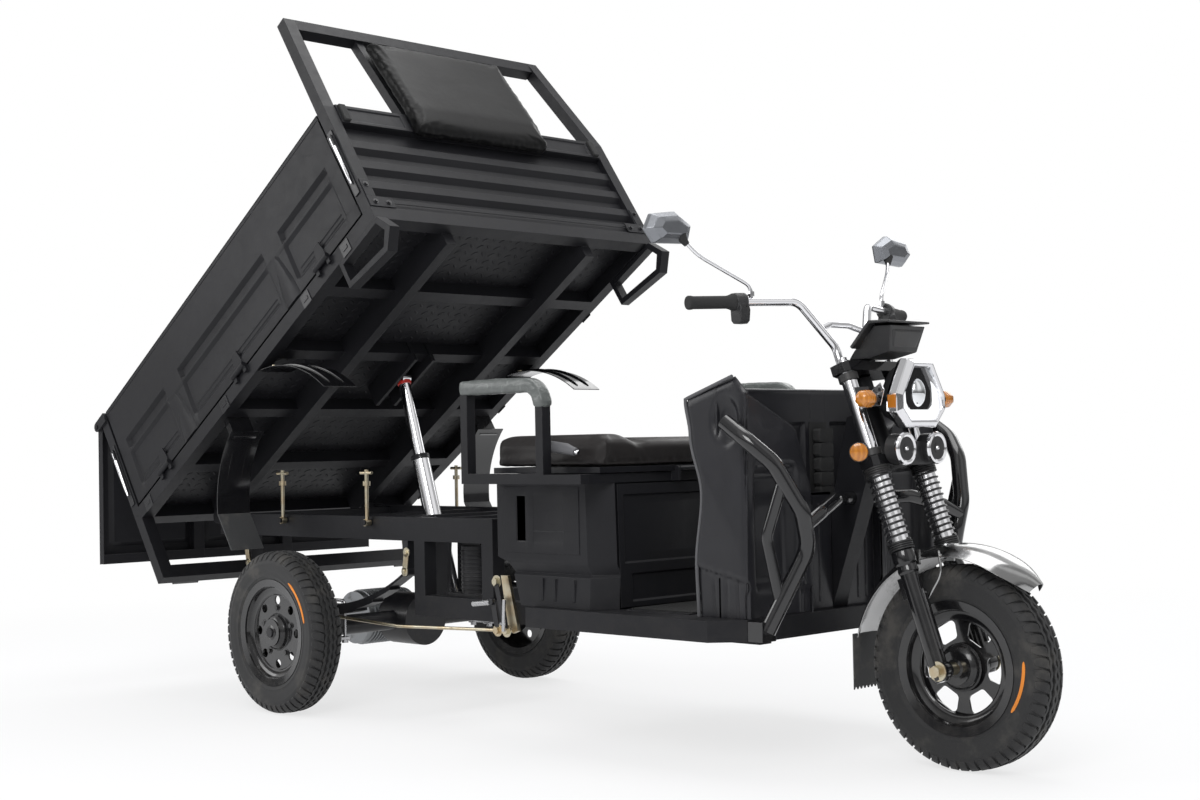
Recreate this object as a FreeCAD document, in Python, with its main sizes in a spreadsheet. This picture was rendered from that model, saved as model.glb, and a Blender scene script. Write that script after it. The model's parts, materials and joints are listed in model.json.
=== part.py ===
import FreeCAD
import Part
import math
import os
import re
import Sketcher

# Three-wheeled cargo motorcycle with a tipping load bed.
# Frame: +X forward, +Y to the rider's left, +Z up, millimetres.
# X places in the sheet count forward from the rear axle; axle_from_origin puts the origin
# on the floor in the middle of the whole machine.

SIZES = {
    # Whole machine
    "axle_from_origin": (-707.4, "rear axle, forward of the origin"),
    "wheel_base": (2190.0, "rear axle to front axle"),
    "rear_track": (1034.0, "between the rear tyres' centre planes"),
    # Wheels
    "tyre_radius": (255.0, "outside radius of all three tyres"),
    "tyre_half_width": (54.5, "half the tyre's width at its widest"),
    "bead_radius": (150.0, "seat of the tyre on the rim"),
    "bead_inset": (7.0, "from the rim's edge to the tyre's bead"),
    "tyre_wall": (88.0, "from the rim's flange to the outside of the tyre"),
    "tread_half": (19.0, "half the width of the tyre's flat crown"),
    "tyre_facets": (56.0, "flats round each tyre"),
    "flange_radius": (167.0, "outer edge of the rim"),
    "rim_half_width": (49.0, "half the rim's width"),
    "rim_wall": (5.0, "rim barrel and disc thickness"),
    "hub_radius": (42.0, "wheel hub"),
    "hub_half_length": (46.0, "half the wheel hub's length"),
    "front_axle_radius": (8.0, "front spindle"),
    "rear_axle_radius": (15.0, "rear half shaft where the wheel turns"),
    "axle_clearance": (0.05, "radial running clearance at the wheels"),
    "front_window_count": (6.0, "openings in the front wheel disc"),
    "rear_window_count": (8.0, "round holes in a rear wheel disc"),
    "rear_window_radius": (14.0, "one round hole of a rear disc"),
    "kidney_inner": (74.0, "inner edge of a front disc's openings, from the axle"),
    "kidney_outer": (122.0, "outer edge of a front disc's openings, from the axle"),
    "kidney_half_angle": (19.0, "half the width of one opening, degrees"),
    "kidney_corner": (12.0, "corner radius of one opening"),
    "round_window_circle": (100.0, "circle of a rear disc's holes, from the axle"),
    "window_cut": (40.0, "length of the cutters for the discs' openings"),
    "front_disc_offset": (8.0, "front disc, off the wheel's middle"),
    "rear_disc_offset": (18.0, "rear disc, off the wheel's middle, outwards"),
    # Chassis frame
    "rail_rear": (-598.0, "rear end of the upper rails"),
    "rail_front": ("=min(830; wheel_base * 780 / 2190 + 50)", "front end of the upper rails"),
    "rail_top": (615.0, "top of the upper rails"),
    "rail_height": (72.0, "upper rail section height"),
    "rail_width": (45.0, "rail section width"),
    "rail_outer": ("=rear_track / 2 - 157", "outer face of the rails, from the middle"),
    "lower_rail_top": (380.0, "top of the lower rails"),
    "lower_rail_height": (62.0, "lower rail section height"),
    "lower_rail_front": ("=wheel_base - 360", "front end of the lower rails"),
    "post_rear": ("=min(468; wheel_base * 468 / 2190)", "rear face of the rear frame posts"),
    "post_length": (50.0, "frame post section along X"),
    "front_post_rear": ("=min(780; wheel_base * 780 / 2190)", "rear face of the front frame posts"),
    "cross_length": (45.0, "cross member section along X"),
    "cross_height": (50.0, "cross member section height"),
    # Bed hinge and ram
    "hinge_x": (-620.0, "bed hinge pin, from the rear axle"),
    "hinge_z": (600.0, "bed hinge pin height"),
    "hinge_pin_radius": (10.0, "bed hinge pin"),
    "lug_radius": (22.0, "hinge lug outside radius"),
    "lug_gap": (3.0, "side clearance between hinge lugs"),
    "bed_lug_width": (28.0, "bed hinge lug thickness"),
    "pin_clearance": (0.1, "radial clearance of a hinge pin"),
    "tilt": (33.9, "bed tilt at rest, degrees"),
    "ram_base_x": (214.7, "ram base pin, from the rear axle"),
    "ram_base_z": (301.0, "ram base pin height"),
    "ram_lean": (17.44, "ram lean to the rear at rest, degrees"),
    "barrel_radius": (36.0, "ram base barrel"),
    "sleeve_radius": (29.0, "ram middle stage"),
    "ram_rod_radius": (20.0, "ram last stage"),
    "barrel_length": (290.0, "base pin to the barrel's mouth"),
    "sleeve_reach": (523.0, "base pin to the middle stage's mouth, at rest"),
    "eye_reach": (800.0, "base pin to the eye's centre, at rest"),
    "stage_overlap": (50.0, "length of the middle stage kept inside the barrel at rest"),
    "rod_overlap": (34.0, "length of the last stage kept inside the middle one at rest"),
    "stage_clearance": (0.5, "radial clearance between ram stages"),
    "ram_cheek": (12.0, "ram cradle plate thickness"),
    "cradle_gap": (7.0, "side gap beside the barrel"),
    "ram_pin_radius": (9.0, "ram pins"),
    "eye_radius": (23.0, "rod eye"),
    "eye_gap": (12.0, "side clearance of the eye in its bracket"),
    # Rear axle and springs
    "axle_tube_radius": (32.0, "rear axle tube"),
    "drum_radius": (90.0, "rear brake drum"),
    "drum_width": (34.0, "rear brake drum"),
    "drum_gap": (10.0, "between the drum and the wheel hub"),
    "diff_radius": (86.0, "differential housing"),
    "diff_length": (150.0, "differential housing along X"),
    "motor_radius": (88.0, "drive motor"),
    "motor_length": (210.0, "drive motor along Y"),
    "motor_x": (-178.0, "drive motor centre, from the rear axle"),
    "leaf_width": (44.0, "spring leaf width"),
    "leaf_thickness": (8.0, "spring leaf"),
    "leaf_count": (4.0, "leaves in one spring"),
    "leaf_half_length": ("=min(420; wheel_base * 420 / 2190)", "half the main leaf"),
    "leaf_rise": (120.0, "main leaf's eyes above its middle"),
    "leaf_step": (85.0, "each next leaf is shorter by this at each end"),
    "spring_seat": (10.0, "seat between axle tube and springs"),
    "spring_eye": (16.0, "spring eye radius"),
    "shackle_length": (26.0, "shackle plate along X"),
    # Pump
    "pump_x": ("=min(640; wheel_base * 640 / 2190)", "hydraulic unit centre, from the rear axle"),
    "pump_y": ("=rail_width + 65 - rail_outer", "hydraulic unit centre, from the middle"),
    "pump_radius": (52.0, "hydraulic unit"),
    "pump_height": (140.0, "hydraulic unit"),
    # Seat box and seat
    "box_rear": ("=wheel_base * 955 / 2190", "seat box rear face, from the rear axle"),
    "box_front": ("=wheel_base * 1366 / 2190", "seat box front face, from the rear axle"),
    "box_half": (450.0, "half the seat box's width"),
    "box_top": (722.0, "seat box top"),
    "box_wall": (6.0, "seat box wall"),
    "box_tail": (90.0, "how far the box's lower rear edge is set forward"),
    "battery_clearance": (0.3, "battery above the box floor"),
    "battery_length": ("=box_front - box_rear - 141", "battery along X"),
    "battery_half": (330.0, "half the battery's width"),
    "battery_height": (215.0, "battery height"),
    "seat_rail": (25.0, "seat frame rail height"),
    "armrest_outer": (545.0, "outer face of the armrests, from the middle"),
    "armrest_tube": (30.0, "armrest tube width"),
    "armrest_rear": ("=wheel_base * 915 / 2190", "armrest rear face, from the rear axle"),
    "armrest_front": ("=wheel_base * 1250 / 2190", "armrest front face, from the rear axle"),
    "armrest_top": (1002.0, "armrest tube top"),
    "armrest_bend": (70.0, "armrest outer bend radius"),
    "wrap": (9.0, "thickness of the wrap round the armrest"),
    "seat_half": (470.0, "half the seat pad's width"),
    "seat_rear": ("=wheel_base * 940 / 2190", "seat pad rear edge, from the rear axle"),
    "seat_front": ("=wheel_base * 1392 / 2190", "seat pad front edge, from the rear axle"),
    "seat_board": (16.0, "board under the seat pad"),
    "seat_pad_height": (88.0, "seat pad"),
    "lid_gap": (2.0, "between the seat board and its frame"),
    "seat_hinge_x": ("=seat_front - 6", "seat hinge axis, from the rear axle"),
    "seat_hinge_radius": (8.0, "seat hinge knuckle"),
    "seat_hinge_half": (160.0, "half the seat hinge's length"),
    "seat_pin_radius": (4.0, "seat hinge pin"),
    "soft_gap": (0.3, "soft pads stand clear of what carries them"),
    "box_kick": (8.0, "how far the box's lower front edge is set forward"),
    "box_step_rear": (45.0, "how far the box's middle rear edge is set forward"),
    "box_step_upper": (205.0, "start of the box's rear slope below its top"),
    "box_step_lower": (220.0, "end of the box's rear slope below its top"),
    "seat_round": (22.0, "rounded edges of the seat pad"),
    # Floor pan, leg shield, crash bars
    "pan_rear": ("=wheel_base * 1100 / 2190", "floor pan rear edge, from the rear axle"),
    "pan_front": ("=wheel_base - 355", "floor pan front edge, from the rear axle"),
    "pan_half": (482.0, "half the floor pan's width"),
    "mat_rear": ("=box_front + 36", "rear edge of the foot mat"),
    "mat_front": ("=wheel_base - 564", "front edge of the foot mat"),
    "mat_half": (396.0, "half the width of the foot mat"),
    "mat_rise": (3.0, "height of the foot mat over the floor"),
    "pan_plate": (4.0, "floor pan sheet"),
    "pan_skirt": (54.0, "height of the turned-down edge"),
    "pan_corner": (70.0, "cut corner of the floor pan"),
    "shield_half": (412.0, "half the leg shield's width"),
    "shield_sheet": (8.0, "leg shield moulding"),
    "shield_back": ("=wheel_base - 455", "rear face of the shield's middle, from the rear axle"),
    "shield_nose": ("=wheel_base - 354", "front face of the shield's pods, from the rear axle"),
    "shield_top": (957.0, "top of the shield's middle"),
    "wing_top": (988.0, "highest point of the wings"),
    "wing_rear": ("=wheel_base - 550", "rear edge of the wings, from the rear axle"),
    "pod_inner": (150.0, "inner side of the pods, from the middle"),
    "crash_radius": (21.0, "crash bar tube"),
    "arch_drop": (300.0, "top of the wheel arch below the wings' highest point"),
    "arch_set_back": (30.0, "front of the wheel arch behind the pods"),
    "shield_slot_half": (32.0, "half the opening for the neck"),
    "shield_slot_drop": (90.0, "top of the opening below the shield's top"),
    "crash_bend": (90.0, "bend radius of the main crash bars"),
    "crash_brace_bend": (60.0, "bend radius of the crash bars' braces"),
    "crash_boss_radius": (12.0, "stud between a crash bar and the shield"),
    # Steering
    "rake": (19.4, "steering axis from upright, degrees"),
    "leg_back": (8.0, "fork legs behind the front axle"),
    "stem_back": (43.0, "steering axis behind the front axle"),
    "leg_spread": (100.0, "fork leg, from the middle"),
    "slider_radius": (24.0, "fork lower leg"),
    "slider_top": (310.0, "upper end of the lower legs, along the fork"),
    "tube_radius": (21.0, "fork upper tube"),
    "inner_tube_radius": (16.0, "fork tube inside the spring"),
    "spring_radius": (31.0, "outside of the fork spring"),
    "spring_wire": (3.6, "fork spring wire radius"),
    "spring_turns": (11.0, "turns of a fork spring"),
    "lower_yoke": (530.0, "underside of the lower yoke, along the fork"),
    "upper_yoke": (785.0, "underside of the upper yoke, along the fork"),
    "yoke_height": (26.0, "yoke thickness"),
    "yoke_front": (20.0, "yoke front face ahead of the front axle, across the fork"),
    "yoke_rear": (32.0, "yoke outer ends' rear, behind the front axle, across the fork"),
    "yoke_half": (130.0, "half the yoke's width"),
    "neck_width": (58.0, "neck gusset behind the head tube"),
    "stem_radius": (14.0, "steering stem"),
    "head_radius": (28.0, "head tube"),
    "head_gap": (3.0, "between head tube and yokes"),
    "steer_clearance": (1.0, "radial clearance of the stem in the head tube"),
    "bar_radius": (11.0, "handlebar tube"),
    "grip_radius": (17.5, "handlebar grip"),
    "guard_radius": (305.0, "inside of the front mudguard, from the axle"),
    "guard_sheet": (3.0, "mudguard sheet"),
    "guard_half": (66.0, "half the front mudguard's width"),
    "guard_front": (47.0, "front end of the front mudguard, degrees above level"),
    "guard_rear": (167.0, "rear end of the front mudguard, degrees"),
    "flap_drop": (145.0, "front flap below the mudguard"),
    "lamp_rear": ("=wheel_base - 205", "headlamp shell rear face, from the rear axle"),
    "lamp_face": ("=wheel_base - 102", "headlamp front face, from the rear axle"),
    "lamp_bezel": (46.0, "headlamp bezel depth"),
    "lamp_half": (105.0, "half the headlamp's width"),
    "lamp_top": (1027.0, "headlamp top"),
    "lamp_bottom": (850.0, "headlamp bottom"),
    "lamp_corner": (40.0, "cut corners of the headlamp"),
    "horn_depth": (40.0, "twin horn along X"),
    "stalk_radius": (7.0, "indicator stalk"),
    "stalk_length": (90.0, "indicator stalk"),
    "bulb_radius": (24.0, "indicator lens"),
    "bulb_length": (46.0, "indicator lens along Y"),
    "bulb_inner": (150.0, "inner end of an indicator lens, from the middle"),
    "indicator_z": (925.0, "indicator centre height"),
    "mirror_stem_radius": (5.0, "mirror stem"),
    "mirror_depth": (40.0, "mirror head along X"),
    "bar_bend": (45.0, "bend radius of the handlebar"),
    "brace_radius": (9.0, "brace across the handlebar"),
    "brace_bend": (30.0, "bend radius of the brace"),
    "grip_length": (128.0, "handlebar grip"),
    "collar_radius": (24.0, "control collar inside a grip"),
    "collar_length": (34.0, "control collar inside a grip"),
    "horn_radius": (38.0, "twin horn"),
    "horn_spread": (67.0, "twin horn centre, from the middle"),
    "horn_z": (799.0, "twin horn centre height"),
    # Load bed, lowered: length u runs forward from its rear end, height w up from its base
    "bed_rear": (-745.0, "rear end of the lowered bed, from the rear axle"),
    "bed_base": (663.0, "base line of the lowered bed"),
    "bed_length": (1639.0, "bed, rear end to front"),
    "bed_half": (590.0, "half the bed's width"),
    "bed_rail": (45.0, "edge rails of the bed, height and width"),
    "bed_post": (40.0, "bed posts along the bed"),
    "side_top": (441.0, "top of the sides, above the base line"),
    "floor_sheet": (4.0, "bed floor sheet"),
    "runner_centre": ("=rail_outer - 67", "long runners under the bed, from the middle"),
    "runner_width": (38.0, "long runner width"),
    "runner_height": (42.0, "long runner below the base line"),
    "bed_cross_count": (6.0, "cross members under the floor"),
    "sill_drop": (240.0, "rear sill's underside below the base line"),
    "sill_height": (48.0, "rear sill section height"),
    "board_thickness": (28.0, "side boards and tailgate"),
    "board_gap": (6.0, "clearance round the boards"),
    "field_depth": (12.0, "stamped fields of the boards"),
    "field_low": (36.0, "stamped fields of a side board, from its lower edge"),
    "field_high": (156.0, "stamped fields of a side board, from its upper edge"),
    "field_margin": (58.0, "end fields of a side board, from its ends"),
    "field_short": (306.0, "length of a side board's end fields"),
    "field_gap": (104.0, "between the fields of a side board"),
    "hinge_count": (3.0, "hinges of a side board"),
    "knuckle_radius": (9.0, "side board hinge knuckle"),
    "knuckle_pin": (5.0, "side board hinge pin radius"),
    "knuckle_length": (44.0, "side board hinge knuckle length"),
    "knuckle_gap": (1.0, "between knuckle and lugs"),
    "knuckle_lug": (16.0, "hinge lug beside a knuckle"),
    "head_top": (862.0, "headboard post tops above the base line"),
    "head_lean": (46.0, "headboard post tops set back"),
    "head_inset": (50.0, "headboard post tops set inwards"),
    "head_tube": (42.0, "headboard tube section"),
    "window_sill": (450.0, "lower edge of the headboard windows"),
    "pad_half": (285.0, "half the headboard pad's width"),
    "pad_bottom": (345.0, "headboard pad lower edge"),
    "pad_top": (785.0, "headboard pad upper edge"),
    "pad_thickness": (46.0, "headboard pad"),
    "corner_drop": (115.0, "corner guards below the base line"),
    "corner_length": (215.0, "corner guards along the bed"),
    "corner_width": (36.0, "corner guards across the bed"),
    "rib_first": (140.0, "lowest rib of the headboard above the base line"),
    "rib_pitch": (80.0, "between the headboard's ribs"),
    "rib_count": (3.0, "ribs of the headboard"),
    "rib_height": (16.0, "ribs stand out of the headboard by this"),
    "bracket_plate": (12.0, "plate of the rod eye's bracket"),
    "bracket_half": (130.0, "half the length of the rod eye's bracket"),
    "gate_field_count": (3.0, "stamped fields in the tailgate"),
    "gate_pivot_u": (-22.0, "tailgate pivot along the bed"),
    "gate_pivot_w": (424.0, "tailgate pivot above the base line"),
    "gate_drop": (62.0, "tailgate lower edge below the base line"),
    "gate_pin_radius": (8.0, "tailgate pins"),
    "ear_thickness": (8.0, "tailgate ear plates"),
    "rear_guard_front_radius": (430.0, "front piece of a rear mudguard, from the axle"),
    "rear_guard_back_radius": (350.0, "rear piece of a rear mudguard, from the axle"),
    "rear_guard_inner": (462.0, "inner edge of the rear mudguards, from the middle"),
    "rear_guard_outer": ("=max(584; bed_half - 6)", "outer edge of the rear mudguards, from the middle"),
    "rear_flap": (138.0, "rear flap length"),
    # Hold-down bolts
    "hold_x_rear": (-200.0, "rear hold-down bolt, from the rear axle"),
    "hold_x_front": (255.0, "front hold-down bolt, from the rear axle"),
    "hold_offset": (14.0, "hold-down swing axis outside the rail"),
    "hold_z": (596.0, "hold-down swing axis height"),
    "hold_length": (165.0, "hold-down bolt length"),
    "hold_radius": (6.0, "hold-down bolt"),
    "hold_eye_radius": (11.0, "hold-down bolt eye"),
    "hold_eye_length": (20.0, "hold-down bolt eye along its pin"),
    "hold_gap": (1.0, "between a hold-down eye and its pin's head"),
    "hold_pin_radius": (5.0, "hold-down bolt pin"),
    "hold_head": (5.0, "hold-down pin head thickness"),
}

DOC = FreeCAD.newDocument("cargo_trike")
SHEET = DOC.addObject("Spreadsheet::Sheet", "Sizes")
for row, (alias, (number, note)) in enumerate(SIZES.items(), start=1):
    SHEET.set(f"A{row}", note)
    SHEET.set(f"B{row}", str(number))
    SHEET.setAlias(f"B{row}", alias)
DOC.recompute()


class Cells:
    """Reads the sheet's cells by alias, as plain numbers."""

    def __getattr__(self, alias):
        return float(SHEET.get(alias))


S = Cells()
NODES = []
SIDES = {"right": -1.0, "left": 1.0}
X_AXIS = FreeCAD.Vector(1, 0, 0)
Y_AXIS = FreeCAD.Vector(0, 1, 0)
Z_AXIS = FreeCAD.Vector(0, 0, 1)


def vec(x, y, z):
    return FreeCAD.Vector(x, y, z)


def ahead(x, y, z):
    """A point whose X counts from the front axle."""
    return vec(S.wheel_base + x, y, z)


# Building blocks bound to the sheet

def cell(expression):
    """Put the sheet's name before each alias of an expression."""
    return re.sub(r"[a-z_]\w*", lambda found: "Sizes." + found.group(0) if found.group(0) in SIZES
                  else found.group(0), str(expression))


def sided(side, inner, width):
    """Lower Y corner of a piece that starts at inner and is width wide, on one side."""
    if side == "left":
        return f"{inner}"
    return f"-({inner}) - ({width})"


def bind_base(item, place):
    for axis, expression in zip("xyz", place):
        item.setExpression(f"Placement.Base.{axis}", cell(expression))


def box(name, corner, sides):
    item = DOC.addObject("Part::Box", name)
    for prop, expression in zip(("Length", "Width", "Height"), sides):
        item.setExpression(prop, cell(expression))
    bind_base(item, corner)
    return item


def cylinder(name, base, along, radius, length):
    item = DOC.addObject("Part::Cylinder", name)
    item.setExpression("Radius", cell(radius))
    item.setExpression("Height", cell(length))
    item.Placement = FreeCAD.Placement(vec(0, 0, 0), FreeCAD.Rotation(Z_AXIS, along))
    bind_base(item, base)
    return item


def polygon_sketch(body, plane, outlines):
    """A sketch on one of the body's origin planes, each corner bound to the sheet."""
    sketch = body.newObject("Sketcher::SketchObject", body.Name + "_outline")
    face = [item for item in body.Origin.OriginFeatures if item.Role == plane + "_Plane"][0]
    sketch.AttachmentSupport = (face, [""])
    sketch.MapMode = "FlatFace"
    first = 0
    for outline in outlines:
        count = len(outline)
        spots = [(evaluate(across), evaluate(up)) for across, up in outline]
        for index in range(count):
            start = spots[index]
            end = spots[(index + 1) % count]
            sketch.addGeometry(Part.LineSegment(vec(*start, 0), vec(*end, 0)), False)
        for index in range(count):
            sketch.addConstraint(Sketcher.Constraint(
                "Coincident", first + index, 2, first + (index + 1) % count, 1))
        for index, corner in enumerate(outline):
            for kind, expression, number in zip(("DistanceX", "DistanceY"), corner, spots[index]):
                place = sketch.addConstraint(Sketcher.Constraint(kind, -1, 1, first + index, 1, number))
                sketch.setExpression(f"Constraints[{place}]", cell(expression))
        first += count
    return sketch


def evaluate(expression):
    """The number that an expression of sheet aliases has now."""
    return float(SHEET.evalExpression(cell(expression).replace("Sizes.", "")))


def prism(name, plane, outlines, thickness, centre=("0", "0", "0")):
    """A pad of closed outlines, the first outside and the rest holes, even about its plane."""
    body = DOC.addObject("PartDesign::Body", name)
    sketch = polygon_sketch(body, plane, outlines)
    pad = body.newObject("PartDesign::Pad", name + "_pad")
    pad.Profile = sketch
    pad.setExpression("Length", cell(thickness))
    pad.Midplane = True
    bind_base(body, centre)
    return body


def turned(name, outline):
    """A revolution about Y of an outline given as radius and place along Y."""
    body = DOC.addObject("PartDesign::Body", name)
    sketch = polygon_sketch(body, "XY", [outline])
    turn = body.newObject("PartDesign::Revolution", name + "_turn")
    turn.Profile = sketch
    turn.ReferenceAxis = (sketch, ["V_Axis"])
    turn.Angle = 360.0
    return body


def feature(name, shape):
    item = DOC.addObject("Part::Feature", name)
    item.Shape = shape
    return item


def fuse(name, pieces):
    item = DOC.addObject("Part::MultiFuse", name)
    item.Shapes = pieces
    return item


def cut(name, base, tool):
    item = DOC.addObject("Part::Cut", name)
    item.Base = base
    item.Tool = tool
    return item


def compound(name, pieces):
    item = DOC.addObject("Part::Compound", name)
    item.Links = pieces
    return item


def node(item, label, place):
    """Register a finished piece under its label, at its group's place."""
    if any("Placement" in path for path, _ in item.ExpressionEngine):
        item.Label = label + "_block"
        item = compound(label + "_group", [item])
    item.Label = label
    DOC.recompute()
    item.Placement = place.multiply(item.Placement)
    NODES.append(item)
    return item


# Shapes worked out from points

def rounded_path(points, bend):
    """Straight runs through the points, joined by tangent arcs."""
    edges = []
    start = points[0]
    for before, corner, after in zip(points, points[1:], points[2:]):
        back = (before - corner).normalize()
        ahead = (after - corner).normalize()
        half = back.getAngle(ahead) / 2.0
        reach = min(bend / math.tan(half), 0.45 * (before - corner).Length, 0.45 * (after - corner).Length)
        radius = reach * math.tan(half)
        into = corner + back * reach
        out = corner + ahead * reach
        middle = corner + (back + ahead).normalize() * (radius / math.sin(half) - radius)
        edges.append(Part.LineSegment(start, into).toShape())
        edges.append(Part.Arc(into, middle, out).toShape())
        start = out
    edges.append(Part.LineSegment(start, points[-1]).toShape())
    return Part.Wire(edges)


def bent_tube(points, radius, bend):
    path = rounded_path(points, bend)
    ring = Part.Wire(Part.makeCircle(radius, points[0], points[1] - points[0]))
    return path.makePipeShell([ring], True, False)


def mirrored(points):
    return [vec(point.x, -point.y, point.z) for point in points]


def extruded(points, direction):
    return Part.Face(Part.makePolygon(points + [points[0]])).extrude(direction)


def arc_sheet(centre_x, centre_z, radius, thickness, start, end, y_low, y_high):
    """A curved sheet about a Y axis, from start to end degrees above level."""
    def spot(size, angle):
        turn = math.radians(angle)
        return vec(centre_x + size * math.cos(turn), y_low, centre_z + size * math.sin(turn))
    middle = (start + end) / 2.0
    outer = radius + thickness
    edges = [
        Part.Arc(spot(radius, start), spot(radius, middle), spot(radius, end)).toShape(),
        Part.LineSegment(spot(radius, end), spot(outer, end)).toShape(),
        Part.Arc(spot(outer, end), spot(outer, middle), spot(outer, start)).toShape(),
        Part.LineSegment(spot(outer, start), spot(radius, start)).toShape(),
    ]
    return Part.Face(Part.Wire(edges)).extrude(vec(0, y_high - y_low, 0))


def slab(x_low, x_high, y_low, y_high, z_low, z_high):
    return Part.makeBox(x_high - x_low, y_high - y_low, z_high - z_low, vec(x_low, y_low, z_low))


def hexahedron(lower, upper):
    """A solid between two four-cornered outlines."""
    return Part.makeLoft([Part.makePolygon(lower + [lower[0]]), Part.makePolygon(upper + [upper[0]])],
                         True, True)


# Places of the groups

def chassis_place():
    return FreeCAD.Placement(vec(S.axle_from_origin, 0, 0), FreeCAD.Rotation())


def bed_place():
    hinge = vec(S.hinge_x, 0, S.hinge_z)
    swing = FreeCAD.Placement(vec(0, 0, 0), FreeCAD.Rotation(Y_AXIS, -S.tilt), hinge)
    return chassis_place().multiply(swing)


def gate_place():
    """The tailgate hangs upright from the raised bed's top rear corners."""
    pivot = vec(S.bed_rear + S.gate_pivot_u, 0, S.bed_base + S.gate_pivot_w)
    back = FreeCAD.Placement(vec(0, 0, 0), FreeCAD.Rotation(Y_AXIS, S.tilt), pivot)
    return bed_place().multiply(back)


def ram_place():
    base = vec(S.ram_base_x, 0, S.ram_base_z)
    lean = FreeCAD.Placement(base, FreeCAD.Rotation(Y_AXIS, -S.ram_lean))
    return chassis_place().multiply(lean)


def fork_point(across, side, along):
    """A point of the fork's frame, in the rear axle's frame."""
    lean = math.radians(S.rake)
    return vec(S.wheel_base + across * math.cos(lean) - along * math.sin(lean), side,
               S.tyre_radius + across * math.sin(lean) + along * math.cos(lean))


def on_fork(shape):
    """Move a shape drawn in the fork's frame to the rear axle's frame."""
    moved = shape.copy()
    moved.rotate(vec(0, 0, 0), Y_AXIS, -S.rake)
    moved.translate(vec(S.wheel_base, 0, S.tyre_radius))
    return moved


def fork_place():
    """The fork's own frame: origin at the front axle, Z along the raked legs, X across them."""
    axle = vec(S.wheel_base, 0, S.tyre_radius)
    lean = FreeCAD.Placement(axle, FreeCAD.Rotation(Y_AXIS, -S.rake))
    return chassis_place().multiply(lean)


# Wheels

def tyre_shape():
    """A ring of flat facets round a round bead bore, closed by its two bead faces."""
    bead = S.rim_half_width - S.bead_inset
    half = S.tyre_half_width
    flank = [(S.flange_radius, bead), (S.flange_radius + 0.23 * S.tyre_wall, half - 2.0),
             (S.flange_radius + 0.51 * S.tyre_wall, half), (S.flange_radius + 0.83 * S.tyre_wall, half - 9.0),
             (S.tyre_radius, S.tread_half)]
    profile = flank + [(radius, -across) for radius, across in reversed(flank)]
    count = int(S.tyre_facets)
    rings = []
    for index in range(count):
        angle = 2.0 * math.pi * index / count - math.pi / 2.0
        rings.append([vec(radius * math.cos(angle), across, radius * math.sin(angle))
                      for radius, across in profile])
    faces = []
    for ring, following in zip(rings, rings[1:] + rings[:1]):
        for near in range(len(profile) - 1):
            corners = [ring[near], ring[near + 1], following[near + 1], following[near]]
            faces.append(Part.Face(Part.makePolygon(corners + corners[:1])))
    for last in (0, -1):
        rim = [ring[last] for ring in rings]
        faces.append(Part.Face(Part.makePolygon(rim + rim[:1])))
    solid = Part.makeSolid(Part.makeShell(faces))
    bore = Part.makeCylinder(S.bead_radius, 2.0 * S.tyre_half_width, vec(0, -S.tyre_half_width, 0), Y_AXIS)
    return solid.cut(bore)


def rim_outline(bore, disc):
    flange = "rim_half_width - 4"
    return [
        (bore, "-hub_half_length"),
        ("hub_radius", "-hub_half_length"),
        ("hub_radius", f"{disc} - rim_wall / 2"),
        ("bead_radius - rim_wall", f"{disc} - rim_wall / 2"),
        ("bead_radius - rim_wall", "-rim_half_width + 3"),
        ("flange_radius", "-rim_half_width"),
        ("flange_radius", f"-({flange})"),
        ("bead_radius", f"-({flange}) + 2"),
        ("bead_radius", f"{flange} - 2"),
        ("flange_radius", flange),
        ("flange_radius", "rim_half_width"),
        ("bead_radius - rim_wall", "rim_half_width - 3"),
        ("bead_radius - rim_wall", f"{disc} + rim_wall / 2"),
        ("hub_radius", f"{disc} + rim_wall / 2"),
        ("hub_radius", "hub_half_length"),
        (bore, "hub_half_length"),
    ]


def kidney_windows(name, disc):
    """Cutters for the openings of the front wheel disc."""
    half_angle = math.radians(S.kidney_half_angle)
    start = disc - S.window_cut / 2.0
    cutters = []
    count = int(S.front_window_count)
    for index in range(count):
        middle = 2.0 * math.pi * index / count
        corners = [vec(radius * math.cos(middle + angle), start, radius * math.sin(middle + angle))
                   for radius, angle in ((S.kidney_inner, -half_angle), (S.kidney_outer, -half_angle),
                                         (S.kidney_outer, half_angle), (S.kidney_inner, half_angle))]
        window = extruded(corners, vec(0, S.window_cut, 0))
        cutters.append(window.makeFillet(S.kidney_corner, [edge for edge in window.Edges
                                                           if abs(edge.tangentAt(0).y) > 0.99]))
    return feature(name, Part.makeCompound(cutters))


def round_windows(name, disc):
    cutters = []
    count = int(S.rear_window_count)
    for index in range(count):
        angle = 2.0 * math.pi * index / count
        spot = vec(S.round_window_circle * math.cos(angle), disc - S.window_cut / 2.0,
                   S.round_window_circle * math.sin(angle))
        cutters.append(Part.makeCylinder(S.rear_window_radius, S.window_cut, spot, Y_AXIS))
    return feature(name, Part.makeCompound(cutters))


def wheel(name, windows, bore, disc, place):
    node(feature(name + "_tyre", tyre_shape()), name + "_tyre", place)
    blank = turned(name + "_rim_blank", rim_outline(bore, disc))
    rim = cut(name + "_rim", blank, windows(name + "_windows", evaluate(disc)))
    node(rim, name + "_rim", place)


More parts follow.
